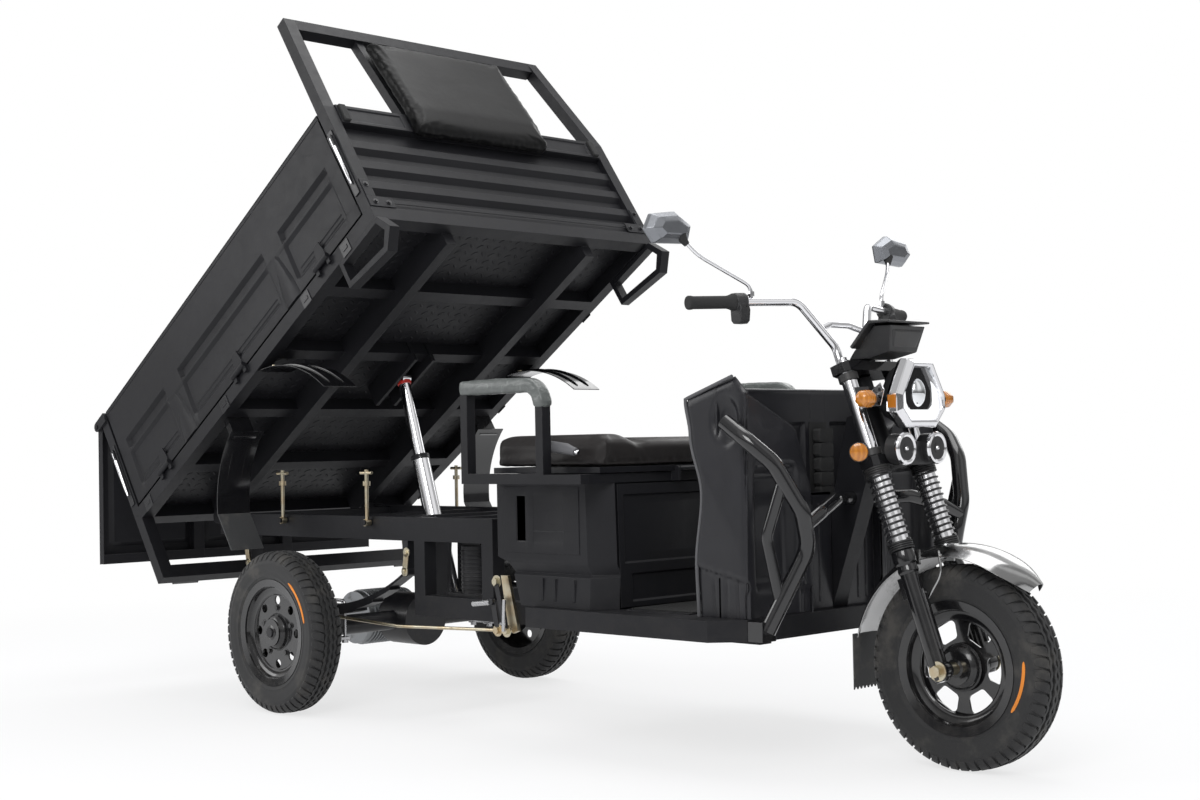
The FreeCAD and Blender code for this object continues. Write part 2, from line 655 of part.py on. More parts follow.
def make_wheels():
    front = chassis_place().multiply(FreeCAD.Placement(vec(S.wheel_base, 0, S.tyre_radius),
                                                       FreeCAD.Rotation(Z_AXIS, 180.0)))
    wheel("front_wheel", kidney_windows, "front_axle_radius + axle_clearance", "front_disc_offset", front)
    for side, sign in SIDES.items():
        turn = FreeCAD.Rotation(Z_AXIS, 0.0 if side == "left" else 180.0)
        place = chassis_place().multiply(
            FreeCAD.Placement(vec(0, sign * S.rear_track / 2.0, S.tyre_radius), turn))
        wheel("rear_wheel_" + side, round_windows, "rear_axle_radius + axle_clearance",
              "rear_disc_offset", place)


# Chassis

def hold_down_pins(side):
    """Pins on the rail's outer face that carry the swing bolts."""
    pieces = []
    reach = "hold_offset + hold_eye_length / 2 + hold_gap"
    for name, spot in (("rear", "hold_x_rear"), ("front", "hold_x_front")):
        pieces.append(cylinder(f"hold_pin_{side}_{name}",
                               (spot, sided(side, "rail_outer - 1", f"1 + {reach}"), "hold_z"),
                               Y_AXIS, "hold_pin_radius", f"1 + {reach}"))
        pieces.append(cylinder(f"hold_pin_head_{side}_{name}",
                               (spot, sided(side, f"rail_outer + {reach}", "hold_head"), "hold_z"),
                               Y_AXIS, "hold_pin_radius + 4", "hold_head"))
    return pieces


def make_main_frame():
    pieces = []
    inner = "rail_outer - rail_width"
    for side in SIDES:
        rail_y = sided(side, inner, "rail_width")
        pieces.append(box("upper_rail_" + side, ("rail_rear", rail_y, "rail_top - rail_height"),
                          ("rail_front - rail_rear", "rail_width", "rail_height")))
        pieces.append(box("lower_rail_" + side, ("post_rear", rail_y, "lower_rail_top - lower_rail_height"),
                          ("lower_rail_front - post_rear", "rail_width", "lower_rail_height")))
        pieces += hold_down_pins(side)
        for name, rear in (("rear_post_", "post_rear"), ("front_post_", "front_post_rear")):
            pieces.append(box(name + side, (rear, rail_y, "lower_rail_top - lower_rail_height"),
                              ("post_length", "rail_width",
                               "rail_top - lower_rail_top + lower_rail_height")))
        pieces.append(cylinder("hinge_lug_" + side, ("hinge_x", rail_y, "hinge_z"), Y_AXIS,
                               "lug_radius", "rail_width"))
        pieces.append(box("lug_block_" + side, ("hinge_x", rail_y, "hinge_z - lug_radius"),
                          ("rail_rear - hinge_x", "rail_width", "rail_top - hinge_z + lug_radius")))
        pin_inner = "rail_outer - rail_width - 2 * lug_gap - bed_lug_width"
        pin_length = "rail_width + 2 * lug_gap + bed_lug_width"
        pieces.append(cylinder("hinge_pin_" + side,
                               ("hinge_x", sided(side, pin_inner, pin_length), "hinge_z"),
                               Y_AXIS, "hinge_pin_radius", pin_length))
    span = "2 * (rail_outer - rail_width)"
    for name, rear, top in (("rear_cross", "rail_rear + 40", "rail_top"),
                            ("axle_cross", "-axle_tube_radius", "rail_top"),
                            ("ram_cross", "ram_base_x + 18", "rail_top"),
                            ("middle_cross", "post_rear", "rail_top"),
                            ("low_rear_cross", "post_rear", "lower_rail_top"),
                            ("low_middle_cross", "box_front", "lower_rail_top"),
                            ("front_cross", "lower_rail_front - cross_length", "lower_rail_top")):
        pieces.append(box(name, (rear, "-(rail_outer - rail_width)", f"{top} - cross_height - 5"),
                          ("cross_length", span, "cross_height")))
    cheek_y = "barrel_radius + cradle_gap"
    for side in SIDES:
        outline = [("ram_base_x - 24", "ram_base_z - 24"), ("ram_base_x + 30", "ram_base_z - 24"),
                   ("ram_base_x + 62", "rail_top - 10"), ("ram_base_x - 20", "rail_top - 10")]
        centre = f"{cheek_y} + ram_cheek / 2" if side == "left" else f"-({cheek_y} + ram_cheek / 2)"
        pieces.append(prism("ram_cradle_" + side, "XZ", [outline], "ram_cheek", ("0", centre, "0")))
    pieces.append(cylinder("ram_base_pin", ("ram_base_x", f"-({cheek_y}) - ram_cheek", "ram_base_z"), Y_AXIS,
                           "ram_pin_radius", f"2 * ({cheek_y} + ram_cheek)"))
    foot_z = S.lower_rail_top - 5.0
    neck = [vec(S.lower_rail_front - 90.0, 0, foot_z), vec(S.lower_rail_front - 30.0, 0, foot_z),
            fork_point(-S.stem_back - 60.0, 0, S.lower_yoke - 10.0),
            fork_point(-S.stem_back - 60.0, 0, S.lower_yoke + S.yoke_height + 2.0 * S.head_gap),
            fork_point(-S.stem_back - 17.0, 0, S.lower_yoke + S.yoke_height + 2.0 * S.head_gap),
            fork_point(-S.stem_back - 17.0, 0, S.upper_yoke - 85.0),
            fork_point(-S.stem_back - 57.0, 0, S.upper_yoke - 85.0)]
    gusset = extruded([point - vec(0, S.neck_width / 2.0, 0) for point in neck], vec(0, S.neck_width, 0))
    pieces.append(feature("neck", gusset))
    frame = fuse("frame_bars", pieces)
    axis = ForkAxis()
    bottom = S.lower_yoke + S.yoke_height + S.head_gap
    length = S.upper_yoke - S.head_gap - bottom
    head = feature("head_tube", Part.makeCylinder(S.head_radius, length, axis(bottom), axis.direction))
    bore = feature("head_bore", Part.makeCylinder(S.stem_radius + S.steer_clearance, length + 20.0,
                                                  axis(bottom - 10.0), axis.direction))
    node(cut("main_frame", fuse("frame_with_head", [frame, head]), bore), "main_frame", chassis_place())


class ForkAxis:
    """The steering axis in the rear axle's frame, measured along the fork from axle level."""

    def __init__(self):
        lean = math.radians(S.rake)
        self.direction = vec(-math.sin(lean), 0, math.cos(lean))
        self.start = vec(S.wheel_base - S.stem_back * math.cos(lean), 0,
                         S.tyre_radius - S.stem_back * math.sin(lean))

    def __call__(self, along):
        return self.start + self.direction * along


def make_rear_axle():
    pieces = [cylinder("axle_tube", ("0", "-(rear_track / 2 - hub_half_length - drum_gap)", "tyre_radius"),
                       Y_AXIS, "axle_tube_radius", "rear_track - 2 * hub_half_length - 2 * drum_gap"),
              cylinder("differential", ("-diff_length / 2", "0", "tyre_radius"), X_AXIS,
                       "diff_radius", "diff_length"),
              cylinder("half_shafts", ("0", "-(rear_track / 2 + hub_half_length + 8)", "tyre_radius"),
                       Y_AXIS, "rear_axle_radius", "rear_track + 2 * hub_half_length + 16")]
    for side in SIDES:
        inner = "rear_track / 2 - hub_half_length - drum_gap - drum_width"
        pieces.append(cylinder("brake_drum_" + side, ("0", sided(side, inner, "drum_width"), "tyre_radius"),
                               Y_AXIS, "drum_radius", "drum_width"))
        pieces.append(box("spring_seat_" + side,
                          ("-45", sided(side, "rail_outer - rail_width / 2 - leaf_width / 2", "leaf_width"),
                           "tyre_radius"),
                          ("90", "leaf_width", "axle_tube_radius + spring_seat")))
    node(fuse("rear_axle", pieces), "rear_axle", chassis_place())
    motor = cylinder("motor_case", ("motor_x", "-motor_length / 2", "tyre_radius"), Y_AXIS,
                     "motor_radius", "motor_length")
    bell = cylinder("motor_seat", ("-diff_length / 2 - 60", "0", "tyre_radius"), X_AXIS,
                    "diff_radius - 20", "60")
    node(fuse("motor_block", [motor, bell]), "drive_motor", chassis_place())


def make_leaf_springs():
    centre = S.rail_outer - S.rail_width / 2.0
    low = S.tyre_radius + S.axle_tube_radius + S.spring_seat
    count = int(S.leaf_count)
    main_top = low + count * S.leaf_thickness
    bend = (S.leaf_half_length ** 2 + S.leaf_rise ** 2) / (2.0 * S.leaf_rise)
    hub_z = main_top + bend
    springs = []
    for side, sign in SIDES.items():
        y_low = sign * centre - S.leaf_width / 2.0
        y_high = sign * centre + S.leaf_width / 2.0
        shape = None
        for index in range(count):
            half = S.leaf_half_length - index * S.leaf_step
            spread = math.degrees(math.asin(half / bend))
            leaf = arc_sheet(0.0, hub_z, bend + index * S.leaf_thickness, S.leaf_thickness,
                             270.0 - spread, 270.0 + spread, y_low, y_high)
            shape = leaf if shape is None else shape.fuse(leaf)
        for end in (-1.0, 1.0):
            eye_x = end * (S.leaf_half_length + 4.0)
            eye_z = main_top + S.leaf_rise
            eye = Part.makeCylinder(S.spring_eye, S.leaf_width, vec(eye_x, y_low, eye_z), Y_AXIS)
            shackle = slab(eye_x - S.shackle_length / 2.0, eye_x + S.shackle_length / 2.0, y_low, y_high,
                           eye_z, S.rail_top - S.rail_height)
            shape = shape.fuse(eye).fuse(shackle)
        springs.append(feature("leaf_pack_" + side, shape.removeSplitter()))
    node(compound("leaf_springs", springs), "leaf_springs", chassis_place())


def make_hydraulic_unit():
    base = "lower_rail_top - lower_rail_height"
    body = cylinder("pump_body", ("pump_x", "pump_y", "lower_rail_top + 8"), Z_AXIS,
                    "pump_radius", "pump_height")
    cap = box("pump_head", ("pump_x - 42", "pump_y - 30", "lower_rail_top + 8 + pump_height"),
              ("84", "60", "22"))
    plate = box("pump_plate", ("pump_x - 70", "-(rail_outer - rail_width)", base),
                ("140", "rail_outer - rail_width + pump_y + 75", "8 + lower_rail_height"))
    node(fuse("hydraulic_unit", [body, cap, plate]), "hydraulic_unit", chassis_place())


def make_seat_box():
    floor = "lower_rail_top + pan_plate"
    outer = [("box_rear", "box_top"), ("box_front", "box_top"), ("box_front + box_kick", floor),
             ("box_rear + box_tail", floor), ("box_rear + box_step_rear", "box_top - box_step_lower"),
             ("box_rear", "box_top - box_step_upper")]
    inner = [("box_rear + box_wall", "box_top + 10"), ("box_front - box_wall", "box_top + 10"),
             ("box_front + box_kick - box_wall", f"{floor} + box_wall"),
             ("box_rear + box_tail + box_wall", f"{floor} + box_wall"),
             ("box_rear + box_step_rear + box_wall", "box_top - box_step_lower + box_wall"),
             ("box_rear + box_wall", "box_top - box_step_upper + box_wall")]
    shell = prism("box_shell", "XZ", [outer], "2 * box_half")
    hollow = prism("box_hollow", "XZ", [inner], "2 * (box_half - box_wall)")
    node(cut("seat_box", shell, hollow), "seat_box", chassis_place())
    pack = box("battery_pack", ("box_rear + box_tail + 30", "-battery_half",
                                f"{floor} + box_wall + battery_clearance"),
               ("battery_length", "2 * battery_half", "battery_height"))
    node(pack, "battery_pack", chassis_place())


def armrest_loop(side):
    """Square tube loop with its front top corner bent round."""
    low = S.box_top
    top = S.armrest_top
    rear = S.armrest_rear
    front = S.armrest_front
    tube = S.armrest_tube
    y_low = S.armrest_outer - tube if side > 0 else -S.armrest_outer

    def ring(inset, bend):
        points = [vec(rear + inset, y_low, low + inset), vec(front - inset, y_low, low + inset),
                  vec(front - inset, y_low, top - inset - bend),
                  vec(front - inset - bend, y_low, top - inset), vec(rear + inset, y_low, top - inset)]
        corner = vec(front - inset - bend, y_low, top - inset - bend)
        middle = corner + vec(bend, 0, bend) * math.sqrt(0.5)
        edges = [Part.LineSegment(points[0], points[1]).toShape(),
                 Part.LineSegment(points[1], points[2]).toShape(),
                 Part.Arc(points[2], middle, points[3]).toShape(),
                 Part.LineSegment(points[3], points[4]).toShape(),
                 Part.LineSegment(points[4], points[0]).toShape()]
        return Part.Face(Part.Wire(edges)).extrude(vec(0, tube, 0))
    return ring(0.0, S.armrest_bend).cut(ring(tube - 2.0, S.armrest_bend - tube + 2.0))


def make_seat_frame():
    pieces = []
    for side, sign in SIDES.items():
        pieces.append(feature("armrest_loop_" + side, armrest_loop(sign)))
        pieces.append(box("seat_rail_" + side,
                          ("armrest_front", sided(side, "armrest_outer - armrest_tube", "armrest_tube"),
                           "box_top"),
                          ("seat_front - armrest_front", "armrest_tube", "seat_rail")))
    for name, rear in (("seat_front_rail", "box_front - armrest_tube"), ("seat_rear_rail", "box_rear")):
        pieces.append(box(name, (rear, "-(armrest_outer - armrest_tube)", "box_top"),
                          ("armrest_tube", "2 * (armrest_outer - armrest_tube)", "seat_rail")))
    axis_z = "box_top + seat_rail + lid_gap + seat_hinge_radius - 2"
    for side in SIDES:
        lug_y = sided(side, "seat_hinge_half + lug_gap", "seat_hinge_radius")
        root = box("seat_lug_root_" + side, ("box_front - armrest_tube / 2", lug_y, "box_top"),
                   ("seat_hinge_x + seat_hinge_radius - box_front + armrest_tube / 2", "seat_hinge_radius",
                    "seat_rail"))
        lug = cylinder("seat_lug_" + side, ("seat_hinge_x", lug_y, axis_z), Y_AXIS, "seat_hinge_radius",
                       "seat_hinge_radius")
        stub = box("seat_lug_stub_" + side,
                   ("seat_hinge_x - seat_hinge_radius", lug_y, "box_top + seat_rail / 2"),
                   ("2 * seat_hinge_radius", "seat_hinge_radius", f"{axis_z} - box_top - seat_rail / 2"))
        pieces += [root, lug, stub]
    pieces.append(cylinder("seat_pin",
                           ("seat_hinge_x", "-seat_hinge_half - lug_gap - seat_hinge_radius", axis_z), Y_AXIS,
                           "seat_pin_radius", "2 * (seat_hinge_half + lug_gap + seat_hinge_radius)"))
    node(fuse("seat_frame", pieces), "seat_frame", chassis_place())
    wraps = []
    for side, sign in SIDES.items():
        y_low = S.armrest_outer - S.armrest_tube if sign > 0 else -S.armrest_outer
        over = S.wrap
        sleeve = slab(S.armrest_rear - over, S.armrest_front - S.armrest_bend, y_low - over,
                      y_low + S.armrest_tube + over, S.armrest_top - S.armrest_tube + 2.0 - over,
                      S.armrest_top + over)
        hole = slab(S.armrest_rear - over - 1.0, S.armrest_front, y_low - S.soft_gap,
                    y_low + S.armrest_tube + S.soft_gap, S.armrest_top - S.armrest_tube + 2.0 - S.soft_gap,
                    S.armrest_top + S.soft_gap)
        post = slab(S.armrest_rear - S.soft_gap, S.armrest_rear + S.armrest_tube - 2.0 + S.soft_gap,
                    y_low - S.soft_gap, y_low + S.armrest_tube + S.soft_gap, S.box_top, S.armrest_top)
        wraps.append(feature("armrest_wrap_" + side, sleeve.cut(hole).cut(post)))
    node(compound("armrest_pads", wraps), "armrest_pads", chassis_place())


def make_seat():
    low = "box_top + seat_rail + lid_gap"
    board = box("seat_board", ("seat_rear + 10", "-(seat_half - 15)", low),
                ("seat_front - seat_rear - 30", "2 * (seat_half - 15)", "seat_board"))
    knuckle = cylinder("seat_knuckle", ("seat_hinge_x", "-seat_hinge_half", f"{low} + seat_hinge_radius - 2"),
                       Y_AXIS, "seat_hinge_radius", "2 * seat_hinge_half")
    leaf = box("seat_leaf", ("seat_hinge_x - 26", "-seat_hinge_half", low),
               ("26", "2 * seat_hinge_half", "seat_hinge_radius - 2"))
    bore = cylinder("seat_bore", ("seat_hinge_x", "-seat_half", f"{low} + seat_hinge_radius - 2"), Y_AXIS,
                    "seat_pin_radius + pin_clearance", "2 * seat_half")
    node(cut("seat_lid", fuse("seat_lid_blank", [board, knuckle, leaf]), bore), "seat_lid", chassis_place())
    pad = box("seat_block", ("seat_rear", "-seat_half", f"{low} + seat_board + soft_gap"),
              ("seat_front - seat_rear", "2 * seat_half", "seat_pad_height"))
    DOC.recompute()
    soft = DOC.addObject("Part::Fillet", "seat_soft")
    soft.Base = pad
    soft.Edges = [(index + 1, S.seat_round, S.seat_round) for index, edge in enumerate(pad.Shape.Edges)
                  if edge.CenterOfMass.z > pad.Shape.CenterOfMass.z - 1.0]
    node(soft, "seat_pad", chassis_place())


def make_floor_pan():
    def outline(inset):
        return [(f"pan_rear + {inset}", f"-(pan_half - {inset})"),
                (f"pan_front - pan_corner", f"-(pan_half - {inset})"),
                (f"pan_front - {inset}", f"-(pan_half - pan_corner)"),
                (f"pan_front - {inset}", f"pan_half - pan_corner"),
                (f"pan_front - pan_corner", f"pan_half - {inset}"),
                (f"pan_rear + {inset}", f"pan_half - {inset}")]
    plate = prism("pan_top", "XY", [outline("0")], "pan_plate", ("0", "0", "lower_rail_top + pan_plate / 2"))
    inner = outline("pan_plate")
    rim = outline("0") + [("pan_rear", inner[5][1])] + inner[4:0:-1] + [("pan_rear", inner[0][1])]
    skirt = prism("pan_edge", "XY", [rim], "pan_skirt - pan_plate",
                  ("0", "0", "lower_rail_top - (pan_skirt - pan_plate) / 2"))
    mat = box("pan_mat", ("mat_rear", "-mat_half", "lower_rail_top"),
              ("mat_front - mat_rear", "2 * mat_half", "pan_plate + mat_rise"))
    slot = box("pan_slot",
               ("lower_rail_front - 96", "-neck_width / 2 - lug_gap", "lower_rail_top - pan_plate"),
               ("78", "neck_width + 2 * lug_gap", "3 * pan_plate"))
    node(cut("floor_pan", fuse("pan_blank", [plate, skirt, mat]), slot), "floor_pan", chassis_place())


def make_leg_shield():
    floor = S.lower_rail_top + S.pan_plate
    sheet = S.shield_sheet
    shape = slab(S.shield_back, S.shield_back + sheet, -S.shield_half, S.shield_half, floor, S.shield_top)
    for sign in SIDES.values():
        wing = [vec(S.wing_rear, 0, S.wing_top - 53), vec(S.wing_rear + 160, 0, S.wing_top),
                vec(S.shield_nose, 0, S.wing_top - 40), vec(S.shield_nose, 0, floor),
                vec(S.wing_rear + 32, 0, floor), vec(S.wing_rear + 28, 0, floor + 130),
                vec(S.wing_rear + 50, 0, floor + 310), vec(S.wing_rear + 15, 0, floor + 460)]
        start = S.shield_half - sheet if sign > 0 else -S.shield_half
        side_wall = extruded([point + vec(0, start, 0) for point in wing], vec(0, sheet, 0))
        outer = S.shield_half - sheet
        face = [vec(0, sign * outer, floor), vec(0, sign * outer, S.wing_top - 42),
                vec(0, sign * (S.pod_inner + 60), S.wing_top - 130),
                vec(0, sign * S.pod_inner, S.wing_top - 290), vec(0, sign * S.pod_inner, floor)]
        depth = S.shield_nose - S.shield_back - sheet
        pod = extruded([point + vec(S.shield_back + sheet, 0, 0) for point in face], vec(depth, 0, 0))
        inset = [vec(0, sign * outer, floor), vec(0, sign * outer, S.wing_top - 52),
                 vec(0, sign * (S.pod_inner + 64), S.wing_top - 142),
                 vec(0, sign * (S.pod_inner + sheet), S.wing_top - 294),
                 vec(0, sign * (S.pod_inner + sheet), floor)]
        room = extruded([point + vec(S.shield_back + sheet, 0, -1) for point in inset],
                        vec(depth - sheet, 0, 0))
        shape = shape.fuse(side_wall).fuse(pod.cut(room))
    arch_front = S.shield_nose - S.arch_set_back
    arch_top = S.wing_top - S.arch_drop
    arch = slab(S.shield_back + sheet, arch_front, -S.pod_inner, S.pod_inner, floor, arch_top)
    room = slab(S.shield_back, arch_front - sheet, -S.pod_inner + sheet, S.pod_inner - sheet,
                floor - 1.0, arch_top - sheet)
    slot = slab(S.shield_back - 60.0, S.shield_nose + 60.0, -S.shield_slot_half, S.shield_slot_half,
                floor - 1.0, S.shield_top - S.shield_slot_drop)
    shape = shape.fuse(arch.cut(room)).cut(slot)
    node(feature("leg_shield", shape.removeSplitter()), "leg_shield", chassis_place())


def make_crash_bars():
    radius = S.crash_radius
    bars = []
    for side, sign in SIDES.items():
        main = [ahead(-395, -434, 874), ahead(-326, -434, 828), ahead(-272, -397, 770),
                ahead(-228, -345, 650), ahead(-233, -318, 560), ahead(-314, -385, 356)]
        arch = [ahead(-318, -S.neck_width / 2.0 - S.soft_gap, 672), ahead(-318, -75, 672),
                ahead(-268, -160, 672), ahead(-236, -262, 645), ahead(-229, -333, 615)]
        strut = [ahead(-258, -380, 730), ahead(-304, -392, 590), ahead(-288, -364, 422)]
        shape = bent_tube(main, radius, S.crash_bend)
        shape = shape.fuse(bent_tube(arch, 0.88 * radius, S.crash_brace_bend))
        shape = shape.fuse(bent_tube(strut, 0.7 * radius, S.crash_brace_bend))
        boss = Part.makeCylinder(S.crash_boss_radius, 434.0 - S.shield_half, ahead(-390, -434, 868), Y_AXIS)
        foot = slab(S.pan_front, S.wheel_base - 308, -411, -359, 331, S.lower_rail_top)
        shape = shape.fuse(boss).fuse(foot)
        if sign > 0:
            shape = shape.mirror(vec(0, 0, 0), Y_AXIS)
        bars.append(feature("crash_bar_" + side, shape))
    node(compound("crash_bars", bars), "crash_bars", chassis_place())


def make_brake_rod():
    face = -S.rail_outer - S.soft_gap
    lever = extruded([vec(875, face, 455), vec(905, face, 455), vec(945, face, 300), vec(925, face, 292),
                      vec(905, face, 300)], vec(0, -10, 0))
    drum = S.rear_track / 2.0 - S.hub_half_length - S.drum_gap - S.drum_width
    run = -S.rail_outer - 28.0
    rod = bent_tube([vec(925, face - 12.0, 300), vec(420, run, 285), vec(45, run, 300),
                     vec(45, -drum + S.soft_gap, 300)], 5.0, 30.0)
    node(feature("brake_rod", rod.fuse(lever)), "brake_rod", chassis_place())


# Ram

def stage(name, low, high, radius, bore=None, floor="0"):
    """One ram stage between two reaches; its bore starts above a closed floor."""
    item = cylinder(name, ("0", "0", low), Z_AXIS, radius, f"{high} - ({low})")
    if bore is None:
        return item
    hole = cylinder(name + "_bore", ("0", "0", f"{low} + {floor}"), Z_AXIS, bore, f"{high} - ({low})")
    return cut(name + "_tube", item, hole)


def make_ram():
    barrel = stage("barrel_wall", "20", "barrel_length", "barrel_radius", "sleeve_radius + stage_clearance",
                   "12")
    tang = cylinder("barrel_eye", ("0", "-barrel_radius + 3", "0"), Y_AXIS, "24", "2 * barrel_radius - 6")
    neck = box("barrel_neck", ("-20", "-barrel_radius + 8", "0"), ("40", "2 * barrel_radius - 16", "30"))
    hole = cylinder("barrel_pin_hole", ("0", "-barrel_radius - 5", "0"), Y_AXIS,
                    "ram_pin_radius + pin_clearance", "2 * barrel_radius + 10")
    node(cut("ram_barrel", fuse("barrel_body", [barrel, tang, neck]), hole), "ram_barrel", ram_place())
    sleeve = stage("sleeve_wall", "barrel_length - stage_overlap", "sleeve_reach", "sleeve_radius",
                   "ram_rod_radius + stage_clearance")
    node(sleeve, "ram_sleeve", ram_place())
    rod = stage("rod_bar", "sleeve_reach - rod_overlap", "eye_reach - 10", "ram_rod_radius")
    eye = cylinder("rod_eye", ("0", "-ram_rod_radius + 3", "eye_reach"), Y_AXIS, "eye_radius",
                   "2 * ram_rod_radius - 6")
    node(fuse("ram_rod", [rod, eye]), "ram_rod", ram_place())


# Load bed

def bed_u(expression):
    return f"bed_rear + {expression}"


def bed_w(expression):
    return f"bed_base + {expression}"


def hinge_middle(index):
    """Middle of one side board hinge, along the bed."""
    return S.bed_length * (index + 0.5) / int(S.hinge_count)


def make_bed_frame():
    pieces = []
    count = int(S.bed_cross_count)
    for side in SIDES:
        pieces.append(box("edge_rail_" + side,
                          (bed_u("0"), sided(side, "bed_half - bed_rail", "bed_rail"), bed_w("0")),
                          ("bed_length", "bed_rail", "bed_rail")))
        pieces.append(box("runner_" + side,
                          (bed_u("60"), sided(side, "runner_centre - runner_width / 2", "runner_width"),
                           bed_w("-runner_height")),
                          ("bed_length - 100", "runner_width", "runner_height + bed_rail")))
        pieces.append(box("rear_corner_post_" + side,
                          (bed_u("0"), sided(side, "bed_half - bed_rail", "bed_rail"), bed_w("-sill_drop")),
                          ("bed_post", "bed_rail", "sill_drop + side_top")))
        ear = cylinder("gate_ear_round_" + side,
                       (bed_u("gate_pivot_u"), sided(side, "bed_half", "ear_thickness"),
                        bed_w("gate_pivot_w")),
                       Y_AXIS, "gate_pin_radius + 9", "ear_thickness")
        arm = box("gate_ear_arm_" + side,
                  (bed_u("gate_pivot_u"), sided(side, "bed_half", "ear_thickness"),
                   bed_w("gate_pivot_w - gate_pin_radius - 9")),
                  ("bed_post - gate_pivot_u", "ear_thickness", "2 * gate_pin_radius + 18"))
        hole = cylinder("gate_ear_hole_" + side,
                        (bed_u("gate_pivot_u"), sided(side, "bed_half - 5", "ear_thickness + 10"),
                         bed_w("gate_pivot_w")),
                        Y_AXIS, "gate_pin_radius + pin_clearance", "ear_thickness + 10")
        pieces.append(cut("gate_ear_" + side, fuse("gate_ear_blank_" + side, [ear, arm]), hole))
        lug_inner = "rail_outer - rail_width - lug_gap - bed_lug_width"
        lug_y = sided(side, lug_inner, "bed_lug_width")
        lug = cylinder("bed_lug_round_" + side, ("hinge_x", lug_y, "hinge_z"), Y_AXIS,
                       "lug_radius", "bed_lug_width")
        drop = box("bed_lug_drop_" + side,
                   ("hinge_x - lug_radius", lug_y, "hinge_z"),
                   ("2 * lug_radius", "bed_lug_width", "bed_base + 20 - hinge_z"))
        hole = cylinder("bed_lug_hole_" + side,
                        ("hinge_x", sided(side, f"{lug_inner} - 5", "bed_lug_width + 10"), "hinge_z"),
                        Y_AXIS, "hinge_pin_radius + pin_clearance", "bed_lug_width + 10")
        pieces.append(cut("bed_lug_" + side, fuse("bed_lug_blank_" + side, [lug, drop]), hole))
        knuckle_y = sided(side, "bed_half + knuckle_radius + 1", "0")
        for index in range(int(S.hinge_count)):
            middle = f"bed_length * {index + 0.5} / hinge_count"
            reach = "knuckle_length / 2 + knuckle_gap"
            for end, start in (("rear", f"{middle} - ({reach}) - knuckle_lug"),
                               ("front", f"{middle} + {reach}")):
                name = f"board_lug_{side}_{end}_{index}"
                round_lug = cylinder(name + "_round",
                                     (bed_u(start), knuckle_y, bed_w("bed_rail + board_gap")), X_AXIS,
                                     "knuckle_radius", "knuckle_lug")
                root = box(name + "_root",
                           (bed_u(start), sided(side, "bed_half - 1", "knuckle_radius + 2"),
                            bed_w("bed_rail - 2 * knuckle_radius")),
                           ("knuckle_lug", "knuckle_radius + 2", "2 * knuckle_radius + board_gap"))
                pieces += [round_lug, root]
            pieces.append(cylinder(f"board_pin_{side}_{index}",
                                   (bed_u(f"{middle} - ({reach}) - 2"), knuckle_y,
                                    bed_w("bed_rail + board_gap")), X_AXIS,
                                   "knuckle_pin", f"2 * ({reach}) + 4"))
    span = "2 * (bed_half - bed_rail)"
    for index in range(count):
        middle = f"bed_rail / 2 + (bed_length - bed_rail) * {index} / (bed_cross_count - 1)"
        pieces.append(box(f"bed_cross_{index}",
                          (bed_u(f"{middle} - bed_rail / 2"), "-(bed_half - bed_rail)", bed_w("0")),
                          ("bed_rail", span, "bed_rail")))
    pieces.append(box("rear_sill", (bed_u("0"), "-(bed_half - bed_rail)", bed_w("-sill_drop")),
                      ("bed_post", span, "sill_height")))
    eye = ram_eye_on_bed()
    gap = S.ram_rod_radius + S.eye_gap
    for side, sign in SIDES.items():
        y_low = gap if sign > 0 else -gap - S.bracket_plate
        plate = slab(eye.x - S.bracket_half, eye.x + S.bracket_half, y_low, y_low + S.bracket_plate,
                     eye.z - 22.0, S.bed_base + S.bed_rail)
        pieces.append(feature("ram_bracket_" + side, plate))
    node(fuse("bed_frame", pieces), "bed_frame", bed_place())
    floor = box("bed_floor", (bed_u("bed_post"), "-(bed_half - bed_rail)", bed_w("bed_rail")),
                ("bed_length - 2 * bed_post", span, "floor_sheet"))
    node(floor, "bed_floor", bed_place())


def ram_eye_on_bed():
    """Where the rod's eye meets the bed, with the bed lowered."""
    lean = math.radians(S.ram_lean)
    eye = vec(S.ram_base_x - S.eye_reach * math.sin(lean), 0, S.ram_base_z + S.eye_reach * math.cos(lean))
    hinge = vec(S.hinge_x, 0, S.hinge_z)
    return hinge + FreeCAD.Rotation(Y_AXIS, S.tilt).multVec(eye - hinge)


